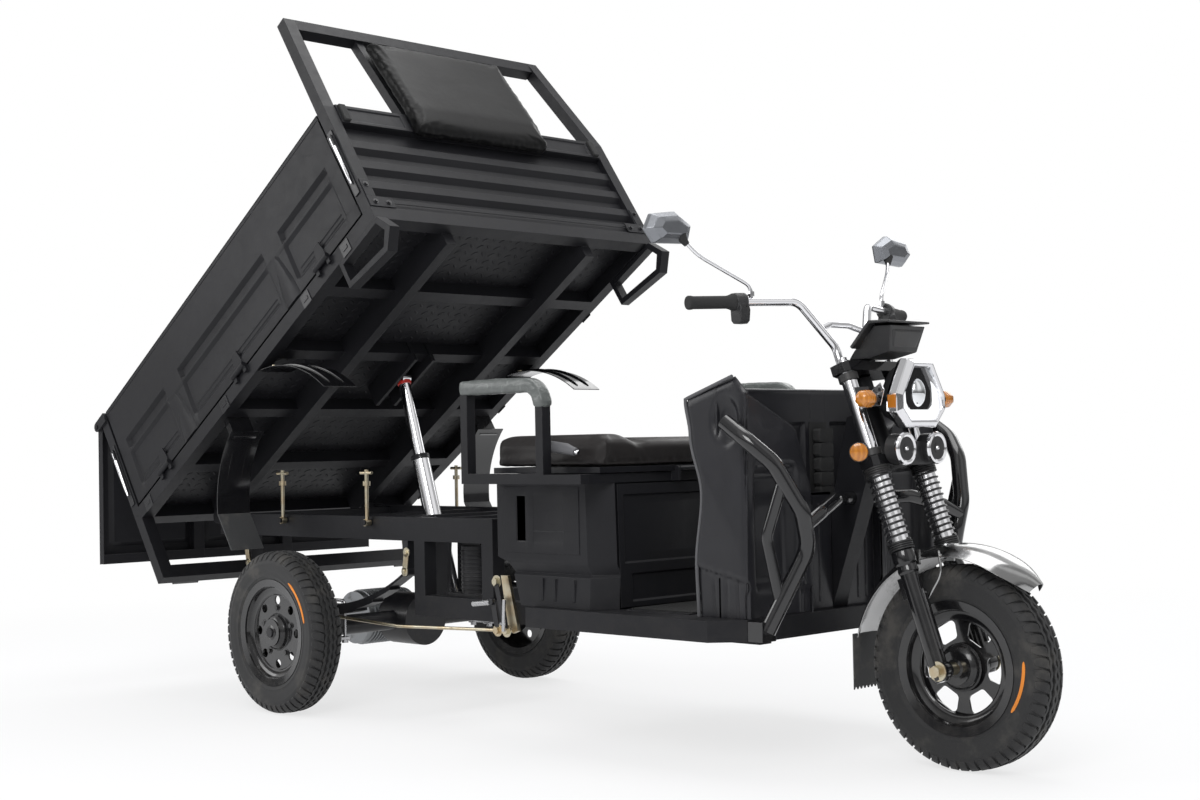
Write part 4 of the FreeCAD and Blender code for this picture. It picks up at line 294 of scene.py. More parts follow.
@dataclass(frozen=True)
class Paint(Finish):
    """Sprayed paint: clouded tone, fine grain, dust low down, worn bright edges and a painted highlight along
    every edge.
    """

    name: str
    colour: Colour
    rough: float = 0.42
    grain: float = 0.00004
    grain_scale: float = 700.0
    wear: float = 0.5
    bare: Colour = (0.32, 0.32, 0.33)
    coat: float = 0.0
    edge: float = 0.0018
    wave: float = 0.0004
    dust: float = 0.12
    shine: float = 0.3

    def build(self) -> bpy.types.Material:
        """Makes the material."""
        s = Surface(self.name)
        normal, edges = s.soft_edge(self.edge)
        cloud = s.noise(2.6, 4.0, 0.6)
        speck = s.noise(self.grain_scale, 2.0, 0.7)
        film = s.noise(28.0, 5.0, 0.62)
        scuff = s.noise(9.0, 6.0, 0.7, at=s.stretched((1.0, 4.0, 9.0)))
        worn = edges.ramp(0.03, 0.25) * film.ramp(0.5, 0.66) * self.wear
        low = (0.55 - s.height()).ramp(0.0, 0.5) * film.ramp(0.35, 0.75) * self.dust
        tone = s.mix(cloud.ramp(0.3, 0.7), shade(self.colour, 0.86), shade(self.colour, 1.14))
        # Every edge lightened towards twice the paint colour: a painted highlight, apart from the real wear
        # below.
        tone = s.mix(edges.ramp(0.02, 0.3) * 0.3, tone, shade(self.colour, 2.0))
        tone = s.mix(worn, tone, self.bare)
        tone = s.mix(low, tone, (0.16, 0.145, 0.125))
        rough = self.rough + (film - 0.5) * 0.22 + scuff.ramp(0.55, 0.75) * 0.1 + low * 0.3
        height = speck + film * (self.wave / self.grain)
        inputs = {"Base Color": tone, "Roughness": rough, "Metallic": worn * 0.8,
                  "Normal": s.bump(height, self.grain, normal),
                  "Coat Weight": self.coat, "Coat Roughness": 0.08, "Specular IOR Level": self.shine}
        return s.close(inputs)


@dataclass(frozen=True)
class Bright(Finish):
    """Plated or bare metal with haze, fine scratches and a little grime."""

    name: str
    colour: Colour
    rough: float = 0.1
    scratch: float = 0.00001
    grime: float = 0.25
    dirt: Colour = (0.05, 0.045, 0.04)
    edge: float = 0.0008
    tint: Colour | None = None

    def build(self) -> bpy.types.Material:
        """Makes the material."""
        s = Surface(self.name)
        normal, _ = s.soft_edge(self.edge)
        haze = s.noise(40.0, 4.0, 0.6)
        hair = s.noise(60.0, 3.0, 0.7, at=s.stretched((1.0, 14.0, 14.0)))
        stain = s.noise(16.0, 5.0, 0.7).ramp(0.56, 0.78) * self.grime
        tone = s.mix(haze, shade(self.colour, 0.88), shade(self.colour, 1.08))
        if self.tint is not None:
            tone = s.mix(s.noise(22.0, 3.0, 0.5).ramp(0.4, 0.65), tone, self.tint)
        tone = s.mix(stain, tone, self.dirt)
        rough = self.rough + (haze - 0.5) * 0.1 + stain * 0.4 + hair.ramp(0.6, 0.8) * 0.06
        inputs = {"Base Color": tone, "Roughness": rough, "Metallic": 1.0 - stain * 0.5,
                  "Normal": s.bump(hair + haze * 2.0, self.scratch, normal)}
        return s.close(inputs)


@dataclass(frozen=True)
class Rubber(Finish):
    """Black rubber or rough plastic with a fine grain, pale dust in patches and a painted highlight along its
    edges.
    """

    name: str
    colour: Colour
    rough: float = 0.62
    grain: float = 0.00012
    grain_scale: float = 420.0
    dust: float = 0.3
    sheen: float = 0.1

    def build(self) -> bpy.types.Material:
        """Makes the material."""
        s = Surface(self.name)
        normal, edges = s.soft_edge(0.0012)
        speck = s.noise(self.grain_scale, 3.0, 0.7)
        patch = s.noise(11.0, 5.0, 0.65)
        dusty = patch.ramp(0.48, 0.72) * self.dust
        tone = s.mix(speck.ramp(0.3, 0.7), shade(self.colour, 0.75), shade(self.colour, 1.25))
        # Every edge lightened towards 2.2 times the colour: a painted highlight.
        tone = s.mix(edges.ramp(0.03, 0.3) * 0.35, tone, shade(self.colour, 2.2))
        tone = s.mix(dusty, tone, (0.13, 0.12, 0.105))
        rough = self.rough + (patch - 0.5) * 0.25 + dusty * 0.3
        inputs = {"Base Color": tone, "Roughness": rough, "Sheen Weight": self.sheen,
                  "Normal": s.bump(speck + patch * 0.6, self.grain, normal)}
        return s.close(inputs)


@dataclass(frozen=True)
class Hide(Finish):
    """Leatherette: fine cell grain, long creases, rubbed crowns."""

    name: str
    colour: Colour
    rough: float = 0.36
    crease: float = 0.0016
    shine: float = 0.16

    def build(self) -> bpy.types.Material:
        """Makes the material."""
        s = Surface(self.name)
        grain = s.cells(900.0)
        fold = s.noise(7.0, 3.0, 0.5, 0.6, at=s.stretched((1.0, 0.45, 1.0)))
        rub = s.noise(4.0, 4.0, 0.6)
        tone = s.mix(grain.ramp(0.1, 0.7), shade(self.colour, 1.2), shade(self.colour, 0.7))
        tone = s.mix(rub.ramp(0.5, 0.75) * 0.4, tone, shade(self.colour, 1.6))
        rough = self.rough + (rub - 0.5) * 0.3 + grain * 0.12
        height = grain * 0.06 + fold
        inputs = {"Base Color": tone, "Roughness": rough, "Specular IOR Level": self.shine,
                  "Normal": s.bump(height, self.crease)}
        return s.close(inputs)


@dataclass(frozen=True)
class Wrap(Finish):
    """Stretched grey film over foam: cloudy marbling and fine strained wrinkles."""

    name: str
    colour: Colour
    pale: Colour

    def build(self) -> bpy.types.Material:
        """Makes the material."""
        s = Surface(self.name)
        vein = s.noise(18.0, 6.0, 0.72, 1.6)
        fleck = s.noise(140.0, 4.0, 0.7)
        pull = s.noise(34.0, 4.0, 0.6, 0.8, at=s.stretched((0.5, 1.0, 2.2)))
        tone = s.mix(vein.ramp(0.35, 0.68), shade(self.colour, 0.8), self.colour)
        tone = s.mix(vein.ramp(0.56, 0.74) * fleck.ramp(0.3, 0.6), tone, self.pale)
        rough = 0.34 + (vein - 0.5) * 0.3 + fleck * 0.08
        inputs = {"Base Color": tone, "Roughness": rough, "Coat Weight": pull.ramp(0.3, 0.7) * 0.4,
                  "Normal": s.bump(pull + fleck * 0.2, 0.0022)}
        return s.close(inputs)


@dataclass(frozen=True)
class Lens(Finish):
    """Coloured lamp plastic with moulded ribs under a smooth skin."""

    name: str
    colour: Colour
    rib: float = 230.0
    through: float = 0.35
    glow: float = 0.0

    def build(self) -> bpy.types.Material:
        """Makes the material."""
        s = Surface(self.name)
        ribs = s.node("ShaderNodeTexWave", {"wave_type": "BANDS", "bands_direction": "Y"},
                      {"Vector": s.place, "Scale": self.rib / 6.0, "Distortion": 0.0})
        cloud = s.noise(60.0, 3.0)
        # Rib bands made lighter and darker: painted highlight and shade of the moulded ribs; the cloud is
        # random tone.
        tone = s.mix(ribs * 0.5 + cloud * 0.3, shade(self.colour, 0.7), shade(self.colour, 1.3))
        rough = 0.12 + cloud * 0.1
        inputs = {"Base Color": tone, "Roughness": rough, "Transmission Weight": self.through,
                  "Coat Weight": 0.8, "Coat Roughness": 0.04,
                  "Normal": s.bump(ribs, 0.0008)}
        if self.glow:
            inputs["Emission Color"] = tone
            inputs["Emission Strength"] = self.glow
        return s.close(inputs)


@dataclass(frozen=True)
class Backdrop(Finish):
    """Pale floor that fades into a white background and keeps the shadow."""

    name: str
    colour: Colour
    near: float = 2.2
    far: float = 5.5
    fade: float = 0.28

    def build(self) -> bpy.types.Material:
        """Makes the material."""
        s = Surface(self.name)
        away = s.node("ShaderNodeVectorMath", {"operation": "LENGTH"}, {0: s.place}, "Value")
        grain = s.noise(3.0, 4.0, 0.6)
        tone = s.mix(grain, shade(self.colour, 0.985), shade(self.colour, 1.0))
        rays = s.node("ShaderNodeLightPath", out="Is Camera Ray")
        gloss = s.node("ShaderNodeLightPath", out="Is Glossy Ray")
        through = s.node("ShaderNodeLightPath", out="Is Transmission Ray")
        seen = s.maths("MINIMUM", rays + gloss * 0.55 + through, 1.0)
        cloth = s.node("ShaderNodeBsdfDiffuse", None, {"Color": tone})
        white = s.node("ShaderNodeEmission", None, {"Color": (1.0, 1.0, 1.0, 1.0), "Strength": 1.0})
        factor = seen * (away.ramp(self.near, self.far) * self.fade + (1.0 - self.fade))
        mixed = s.node("ShaderNodeMixShader", None, {0: factor, 1: cloth, 2: white})
        s.end("ShaderNodeOutputMaterial", mixed)
        return s.material


BODY = Paint("charcoal_satin_paint", (0.0115, 0.0115, 0.0135), rough=0.46, wear=0.25, shine=0.22)
SHIELD = Paint("charcoal_gloss_paint", (0.018, 0.018, 0.021), rough=0.33, wear=0.2, coat=0.12, edge=0.004)
FRAME = Paint("black_frame_paint", (0.010, 0.010, 0.012), rough=0.36, wear=0.5, coat=0.2)
GLOSS = Paint("black_gloss_enamel", (0.008, 0.008, 0.009), rough=0.16, wear=0.4, coat=0.8,
              grain=0.00001, wave=0.0003)
PUMP = Paint("black_case_paint", (0.013, 0.013, 0.015), rough=0.4, wear=0.5, dust=0.3)
TRIM = Paint("grey_trim_paint", (0.10, 0.10, 0.105), rough=0.5, wear=0.1)
CHROME = Bright("chrome_plate", (0.78, 0.78, 0.80), rough=0.06, grime=0.2)
STEEL = Bright("bare_steel", (0.50, 0.50, 0.51), rough=0.26, grime=0.4)
ZINC = Bright("yellow_zinc_plate", (0.60, 0.55, 0.42), rough=0.3, grime=0.5,
              tint=(0.55, 0.45, 0.30))
CAST = Bright("cast_alloy", (0.32, 0.33, 0.34), rough=0.45, grime=0.6, scratch=0.00005)
COIL = Paint("black_spring_enamel", (0.012, 0.012, 0.013), rough=0.3, wear=0.6, coat=0.4)
TYRE = Rubber("tyre_tread_rubber", (0.011, 0.011, 0.0115), rough=0.66, dust=0.35)
FLAP = Rubber("flap_sheet_rubber", (0.035, 0.036, 0.037), rough=0.7, dust=0.5)
GRIP = Rubber("grip_rubber", (0.024, 0.024, 0.026), rough=0.55, dust=0.15)
PLASTIC = Rubber("black_moulded_plastic", (0.020, 0.020, 0.021), rough=0.42,
                 grain=0.00004, grain_scale=1100.0, dust=0.12, sheen=0.0)
COVER = Hide("black_seat_leatherette", (0.0270, 0.0245, 0.0240))
PADDING = Hide("black_headboard_cover", (0.0060, 0.0060, 0.0062))
FILM = Wrap("grey_film_over_foam", (0.11, 0.12, 0.115), (0.34, 0.36, 0.34))
AMBER = Lens("amber_lamp_lens", (0.90, 0.30, 0.03))
RED = Lens("red_lamp_lens", (0.45, 0.012, 0.01), through=0.1)
CLEAR = Lens("white_lamp_bar", (0.85, 0.87, 0.9), through=0.2, glow=0.9)
STRIPE = Paint("orange_stripe_paint", (0.75, 0.24, 0.03), rough=0.5, wear=0.0, edge=0.0003)
CAP = Paint("red_seal_paint", (0.55, 0.03, 0.02), rough=0.4, wear=0.1)
HUB = Paint("hub_cover_enamel", (0.012, 0.012, 0.013), rough=0.24, wear=0.5, coat=0.5)
PANE = Paint("dark_lamp_pane", (0.006, 0.006, 0.007), rough=0.05, wear=0.0, coat=1.0, grain=0.000004,
             wave=0.00005, dust=0.0)
SMOKE = Bright("smoked_metal_finish", (0.27, 0.28, 0.30), rough=0.34, grime=0.05)
PLATED = Bright("dull_mudguard_plate", (0.36, 0.36, 0.36), rough=0.17, grime=0.55, dirt=(0.10, 0.095, 0.085),
                scratch=0.00003)
SILVERED = Bright("silvered_glass", (0.82, 0.84, 0.86), rough=0.02, grime=0.04, scratch=0.000002)
FLOOR = Backdrop("studio_floor", (0.86, 0.86, 0.865))


def turned_about_y(degrees: float) -> Matrix:
    """Rotation about the Y axis."""
    return Matrix.Rotation(math.radians(degrees), 4, "Y")


def moved(x: float, y: float, z: float) -> Matrix:
    """Translation."""
    return Matrix.Translation((x, y, z))


def outward_turn(sign: int) -> Matrix:
    """Turns the Z axis along the axles, to the left for 1 and to the right for -1."""
    return AXLE_TURN if sign > 0 else AXLE_TURN @ UPSIDE_DOWN


class Places:
    """Local frames of the sub-assemblies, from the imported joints."""

    tip = 33.9
    lean = 19.4
    ram_lean = 17.44

    def __init__(self, joints: list[dict]) -> None:
        """Reads the places of the joints."""
        self.joint = {j["name"]: j for j in joints}
        axle = self.at("rear_wheel_right_spin")
        hub = self.at("front_wheel_spin")
        self.chassis = moved(axle.x, 0.0, 0.0)
        hinge = self.at("bed_tip")
        self.bed = Matrix.Translation(hinge) @ turned_about_y(-self.tip) @ moved(-0.125, 0.0, 0.063)
        self.gate = Matrix.Translation(self.at("tailgate_swing")) @ moved(0.022, 0.0, -0.424)
        self.fork = Matrix.Translation(hub) @ turned_about_y(-self.lean)
        self.ram = Matrix.Translation(self.at("ram_tilt")) @ turned_about_y(-self.ram_lean)

    def at(self, joint: str) -> Vector:
        """The place of a joint."""
        return Vector(self.joint[joint]["pos_m"])


def ring_points(radius: float, height: float, sides: int, start: float = 0.0) -> list[Vector]:
    """Points of a circle about the local Z axis.

    Args:
        radius: the circle's radius.
        height: its local height.
        sides: number of points.
        start: angle of the first point.

    Returns:
        The points in order.
    """
    turn = 2.0 * math.pi / sides
    return [Vector((radius * math.cos(start + i * turn), radius * math.sin(start + i * turn), height))
            for i in range(sides)]


def rounded(corners: Sequence[Point], radius: float, steps: int = 5) -> list[Vector]:
    """A path of straight runs with rounded corners for a bent tube.

    Args:
        corners: the path's corners.
        radius: bend radius, cut down where a run is short.
        steps: points in each bend.

    Returns:
        The points of the path.
    """
    points = [Vector(c) for c in corners]
    path = [points[0]]
    for before, corner, after in zip(points, points[1:], points[2:]):
        back = (before - corner).normalized()
        ahead = (after - corner).normalized()
        reach = min(radius, 0.48 * (before - corner).length, 0.48 * (after - corner).length)
        for i in range(steps + 1):
            t = i / steps
            start = corner + back * reach
            end = corner + ahead * reach
            path.append(start * (1 - t) ** 2 + corner * 2 * t * (1 - t) + end * t ** 2)
    path.append(points[-1])
    return path


class Shape:
    """Points and faces gathered from simple forms and placed in the row frame."""

    def __init__(self, place: Matrix | None = None) -> None:
        """Starts an empty shape in a local frame."""
        self.place = place or Matrix.Identity(4)
        self.points: list[Vector] = []
        self.faces: list[tuple[int, ...]] = []

    def add(self, points: Iterable[Point], faces: Iterable[Sequence[int]],
            place: Matrix | None = None) -> "Shape":
        """Adds points and faces.

        Args:
            points: places in the shape's frame.
            faces: indices among those points.
            place: a further local frame.

        Returns:
            The shape itself.
        """
        matrix = self.place @ place if place is not None else self.place
        start = len(self.points)
        self.points.extend(matrix @ Vector(p) for p in points)
        self.faces.extend(tuple(start + i for i in face) for face in faces)
        return self

    def loft(self, rings: Sequence[Sequence[Point]], wrap: bool = True, closed: bool = False,
             caps: bool = True, place: Matrix | None = None) -> "Shape":
        """Skins rings of equal length.

        Args:
            rings: the cross-sections in order.
            wrap: whether each ring closes on itself.
            closed: whether the last ring joins the first.
            caps: whether the ends are filled.
            place: a further local frame.

        Returns:
            The shape itself.
        """
        count = len(rings[0])
        spans = len(rings) if closed else len(rings) - 1
        steps = count if wrap else count - 1
        faces: list[tuple[int, ...]] = []
        for r in range(spans):
            near = r * count
            far = ((r + 1) % len(rings)) * count
            faces.extend((near + s, near + (s + 1) % count, far + (s + 1) % count, far + s)
                         for s in range(steps))
        if caps and wrap and not closed:
            faces.append(tuple(reversed(range(count))))
            faces.append(tuple(range((len(rings) - 1) * count, len(rings) * count)))
        return self.add([p for ring in rings for p in ring], faces, place)

    def lathe(self, profile: Sequence[tuple[float, float]], sides: int = 48, wrap: bool = False,
              place: Matrix | None = None) -> "Shape":
        """Turns a profile about the local Z axis.

        Args:
            profile: radius and height of each point.
            sides: steps around.
            wrap: whether the profile closes on itself.
            place: a further local frame.

        Returns:
            The shape itself.
        """
        rings = []
        for i in range(sides):
            a = 2.0 * math.pi * i / sides
            rings.append([(r * math.cos(a), r * math.sin(a), h) for r, h in profile])
        return self.loft(rings, wrap, True, False, place)

    def box(self, low: Point, high: Point, place: Matrix | None = None) -> "Shape":
        """Adds a block between two corners."""
        (x0, y0, z0), (x1, y1, z1) = low, high
        rings = [[(x0, y0, z), (x1, y0, z), (x1, y1, z), (x0, y1, z)] for z in (z0, z1)]
        return self.loft(rings, place=place)

    def tube(self, path: Sequence[Point], radius: float | Callable[[float], float], sides: int = 14,
             flat: float = 1.0, place: Matrix | None = None) -> "Shape":
        """Adds a round tube along a path.

        Args:
            path: the middle line's points.
            radius: one radius, or a function of the share of the way along.
            sides: points around.
            flat: width of the second direction as a share of the first.
            place: a further local frame.

        Returns:
            The shape itself.
        """
        points = [Vector(p) for p in path]
        count = len(points)
        rings = []
        across = None
        for i, point in enumerate(points):
            along = (points[min(i + 1, count - 1)] - points[max(i - 1, 0)]).normalized()
            if across is None:
                across = along.orthogonal().normalized()
            across = (across - along * across.dot(along)).normalized()
            second = along.cross(across)
            size = radius(i / max(1, count - 1)) if callable(radius) else radius
            rings.append([point + (across * math.cos(a) + second * math.sin(a) * flat) * size
                          for a in (2.0 * math.pi * k / sides for k in range(sides))])
        return self.loft(rings, place=place)

    def rod(self, start: Point, end: Point, radius: float, sides: int = 20,
            place: Matrix | None = None) -> "Shape":
        """Adds a straight round bar."""
        return self.tube([start, end], radius, sides, place=place)

    def bar(self, start: Point, end: Point, width: float, depth: float,
            up: Point = (0, 0, 1)) -> "Shape":
        """Adds a straight bar of square section.

        Args:
            start: middle of one end.
            end: middle of the other.
            width: size across the up direction.
            depth: size along the up direction.
            up: direction that the depth follows.

        Returns:
            The shape itself.
        """
        a, b = Vector(start), Vector(end)
        along = (b - a).normalized()
        side = along.cross(Vector(up)).normalized() * (width / 2)
        high = side.cross(along).normalized() * (depth / 2)
        rings = [[p + side + high, p - side + high, p - side - high, p + side - high] for p in (a, b)]
        return self.loft(rings)

    def shell(self, front: Rows, back: Rows) -> "Shape":
        """Adds a closed sheet between two grids of equal size.

        Args:
            front: rows of points on one face.
            back: rows of points on the other.

        Returns:
            The shape itself.
        """
        rows, columns = len(front), len(front[0])
        size = rows * columns
        faces: list[tuple[int, ...]] = []
        for r in range(rows - 1):
            for c in range(columns - 1):
                quad = (r * columns + c, r * columns + c + 1,
                        (r + 1) * columns + c + 1, (r + 1) * columns + c)
                faces.append(quad)
                faces.append(tuple(size + i for i in reversed(quad)))
        rim = list(range(columns))
        rim += [r * columns + columns - 1 for r in range(1, rows)]
        rim += [(rows - 1) * columns + c for c in range(columns - 2, -1, -1)]
        rim += [r * columns for r in range(rows - 2, 0, -1)]
        for a, b in zip(rim, rim[1:] + rim[:1]):
            faces.append((b, a, size + a, size + b))
        points = [p for row in front for p in row] + [p for row in back for p in row]
        return self.add(points, faces)

    def skin(self, front: Rows, thickness: float) -> "Shape":
        """Adds a sheet of even thickness behind a grid.

        Args:
            front: rows of points.
            thickness: sheet thickness, to one side or with a minus sign to the other.

        Returns:
            The shape itself.
        """
        back: Rows = []
        for r, row in enumerate(front):
            line = []
            for c, point in enumerate(row):
                ahead = row[min(c + 1, len(row) - 1)] - row[max(c - 1, 0)]
                down = front[min(r + 1, len(front) - 1)][c] - front[max(r - 1, 0)][c]
                normal = ahead.cross(down)
                line.append(point - normal.normalized() * thickness)
            back.append(line)
        return self.shell(front, back)

    def mesh(self, name: str) -> bpy.types.Mesh:
        """Makes Blender's mesh with doubles merged and faces outwards."""
        made = bpy.data.meshes.new(name)
        made.from_pydata([tuple(p) for p in self.points], [], self.faces)
        work = bmesh.new()
        work.from_mesh(made)
        bmesh.ops.remove_doubles(work, verts=work.verts, dist=MERGE)
        bmesh.ops.dissolve_degenerate(work, edges=work.edges, dist=MERGE)
        bmesh.ops.recalc_face_normals(work, faces=work.faces)
        work.to_mesh(made)
        work.free()
        return made


@dataclass(frozen=True)
class Dress:
    """What a piece rides on and how its mesh is finished."""

    body: str
    finish: Finish
    slot: str
    smooth: float = 32.0
    bevel: float = 0.0
    steps: int = 2
    level: int = 0


def add_piece(name: str, form: Shape | bpy.types.Mesh, dress: Dress,
              replaces: Sequence[str] = ()) -> bpy.types.Object:
    """Makes a piece of the trike.

    Args:
        name: the piece's name.
        form: its shape, or its mesh in the row frame.
        dress: body, finish and edges.
        replaces: CAD nodes that the piece stands for.

    Returns:
        The new object.
    """
    mesh = form.mesh(name) if isinstance(form, Shape) else form
    mesh.materials.clear()
    mesh.materials.append(dress.finish.material())
    mesh.shade_smooth()
    mesh.set_sharp_from_angle(angle=math.radians(dress.smooth))
    made = bpy.data.objects.new(name, mesh)
    bpy.context.scene.collection.objects.link(made)
    if dress.bevel:
        edge = made.modifiers.new("edge", "BEVEL")
        edge.width = dress.bevel
        edge.segments = dress.steps
        edge.limit_method = "ANGLE"
        edge.angle_limit = math.radians(30.0)
        edge.use_clamp_overlap = True
    if dress.level:
        smooth = made.modifiers.new("smooth", "SUBSURF")
        smooth.levels = dress.level
        smooth.render_levels = dress.level
    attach(made, dress.body)
    if replaces:
        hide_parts(*replaces)
    LOG.info("piece %s: %d faces on %s", name, len(mesh.polygons), dress.body)
    return made


class Layout(Enum):
    """How a Geometry Nodes tree sets out its copies."""

    RING = "ring"
    LINE = "line"
    GRID = "grid"
    SPOTS = "spots"


class RepeatTree(Tree):
    """A Geometry Nodes group with named inputs that repeats a small part."""

    made: dict[Layout, "RepeatTree"] = {}

    def __init__(self, layout: Layout, inputs: dict[str, tuple[str, object]]) -> None:
        """Makes the group's sockets.

        Args:
            layout: how the copies lie.
            inputs: name to socket type and starting value.
        """
        group = bpy.data.node_groups.new("repeat_" + layout.value, "GeometryNodeTree")
        super().__init__(group)
        group.interface.new_socket("Geometry", in_out="OUTPUT", socket_type="NodeSocketGeometry")
        group.interface.new_socket("Geometry", in_out="INPUT", socket_type="NodeSocketGeometry")
        self.keys: dict[str, str] = {}
        for name, (kind, value) in {**inputs, "Finish": ("NodeSocketMaterial", None)}.items():
            socket = group.interface.new_socket(name, in_out="INPUT", socket_type=kind)
            if value is not None:
                socket.default_value = value
            self.keys[name] = socket.identifier
        self.entry = group.nodes.new("NodeGroupInput")
        build = {Layout.RING: self._ring, Layout.LINE: self._line,
                 Layout.GRID: self._grid, Layout.SPOTS: self._spots}
        self._finish(build[layout]())

    def given(self, name: str) -> Link:
        """One of the group's inputs."""
        return Link(self, self.entry.outputs[name])

    def _finish(self, copies: Link) -> None:
        """Realizes the copies, gives them their material and ends the tree."""
        real = self.node("GeometryNodeRealizeInstances", None, {0: copies})
        dressed = self.node("GeometryNodeSetMaterial", None,
                            {"Geometry": real, "Material": self.given("Finish")})
        self.end("NodeGroupOutput", dressed)

    def _turn(self, x: Link | float, y: Link | float, z: Link | float) -> Link:
        """A rotation from three angles."""
        angles = self.node("ShaderNodeCombineXYZ", None, {0: x, 1: y, 2: z})
        return self.node("FunctionNodeEulerToRotation", None, {0: angles})

    def _ring(self) -> Link:
        """Copies turned about the Z axis."""
        points = self.node("GeometryNodeMeshLine", None,
                           {"Count": self.given("Count"), "Offset": (0.0, 0.0, 0.0)})
        index = self.node("GeometryNodeInputIndex")
        turn = self._turn(0.0, 0.0, index * (2.0 * math.pi) / self.given("Count"))
        return self.node("GeometryNodeInstanceOnPoints", None,
                         {"Points": points, "Instance": self.given("Geometry"), "Rotation": turn})

    def _line(self) -> Link:
        """Copies at even steps along a line."""
        points = self.node("GeometryNodeMeshLine", None,
                           {"Count": self.given("Count"), "Offset": self.given("Step")})
        return self.node("GeometryNodeInstanceOnPoints", None,
                         {"Points": points, "Instance": self.given("Geometry")})

    def _grid(self) -> Link:
        """Copies on a grid, each second one turned by a quarter."""
        inputs = {"Size X": self.given("Length"), "Size Y": self.given("Width"),
                  "Vertices X": self.given("Along"), "Vertices Y": self.given("Across")}
        points = self.node("GeometryNodeMeshGrid", None, inputs)
        index = self.node("GeometryNodeInputIndex")
        row = self.maths("FLOOR", index / self.given("Across"))
        odd = self.maths("FLOORED_MODULO", row + index, 2.0)
        turn = self._turn(0.0, 0.0, odd * (math.pi / 2) + math.pi / 4)
        return self.node("GeometryNodeInstanceOnPoints", None,
                         {"Points": points, "Instance": self.given("Geometry"), "Rotation": turn})

    def _spots(self) -> Link:
        """Hexagon heads on washers at the points given, along each point's facing."""
        flat = self.given("Across flats")
        head = self.node("GeometryNodeMeshCylinder", None,
                         {"Vertices": 6, "Radius": flat * 0.577, "Depth": self.given("Head")})
        washer = self.node("GeometryNodeMeshCylinder", None,
                           {"Vertices": 18, "Radius": flat * 0.95, "Depth": self.given("Washer")})
        rise = self.given("Head") * 0.5 + self.given("Washer")
        lift = self.node("ShaderNodeCombineXYZ", None, {0: 0.0, 1: 0.0, 2: rise})
        settle = self.node("ShaderNodeCombineXYZ", None, {0: 0.0, 1: 0.0, 2: self.given("Washer") * 0.5})
        high = self.node("GeometryNodeTransform", None, {"Geometry": head, "Translation": lift})
        low = self.node("GeometryNodeTransform", None, {"Geometry": washer, "Translation": settle})
        both = self.node("GeometryNodeJoinGeometry", None, {0: high})
        self.tree.links.new(low.socket, both.socket.node.inputs[0])
        facing = self.node("GeometryNodeInputNamedAttribute", {"data_type": "FLOAT_VECTOR"},
                           {"Name": "facing"})
        angle = self.node("FunctionNodeRandomValue", {"data_type": "FLOAT"},
                          {"Min": 0.0, "Max": 1.0, "Seed": self.given("Seed")}, 1)
        spin = self._turn(0.0, 0.0, angle)
        turn = self.node("FunctionNodeAlignRotationToVector", {"axis": "Z"},
                         {"Rotation": spin, "Vector": facing})
        return self.node("GeometryNodeInstanceOnPoints", None,
                         {"Points": self.given("Geometry"), "Instance": both, "Rotation": turn})


TREE_INPUTS: dict[Layout, dict[str, tuple[str, object]]] = {
    Layout.RING: {"Count": ("NodeSocketInt", 8)},
    Layout.LINE: {"Count": ("NodeSocketInt", 4), "Step": ("NodeSocketVector", (0.0, 0.0, 0.1))},
    Layout.GRID: {"Length": ("NodeSocketFloat", 1.0), "Width": ("NodeSocketFloat", 1.0),
                  "Along": ("NodeSocketInt", 4), "Across": ("NodeSocketInt", 4)},
    Layout.SPOTS: {"Across flats": ("NodeSocketFloat", 0.013), "Head": ("NodeSocketFloat", 0.006),
                   "Washer": ("NodeSocketFloat", 0.0015), "Seed": ("NodeSocketInt", 7)},
}


def repeat(unit: bpy.types.Mesh, layout: Layout, finish: Finish, values: dict,
           place: Matrix | None = None) -> bpy.types.Mesh:
    """Runs a Geometry Nodes tree over a mesh and gives the result as one mesh.

    Args:
        unit: the small part, or the points that carry fasteners.
        layout: how the copies lie.
        finish: their finish.
        values: values of the tree's named inputs.
        place: where the result goes.

    Returns:
        The realized mesh in the row frame.
    """
    if layout not in RepeatTree.made:
        RepeatTree.made[layout] = RepeatTree(layout, TREE_INPUTS[layout])
    tree = RepeatTree.made[layout]
    guide = bpy.data.objects.new("guide", unit)
    bpy.context.scene.collection.objects.link(guide)
    modifier = guide.modifiers.new("repeat", "NODES")
    modifier.node_group = tree.tree
    for name, value in values.items():
        modifier[tree.keys[name]] = value
    modifier[tree.keys["Finish"]] = finish.material()
    graph = bpy.context.evaluated_depsgraph_get()
    made = bpy.data.meshes.new_from_object(guide.evaluated_get(graph), depsgraph=graph)
    guide.modifiers.clear()
    bpy.data.objects.remove(guide)
    if place is not None:
        made.transform(place)
    return made


@dataclass(frozen=True)
class BoltSize:
    """Size of a hexagon head and its washer."""

    flats: float = 0.013
    head: float = 0.006
    washer: float = 0.0016


M8 = BoltSize()
M6 = BoltSize(0.010, 0.0045, 0.0012)
M12 = BoltSize(0.019, 0.009, 0.0025)
M16 = BoltSize(0.026, 0.013, 0.003)


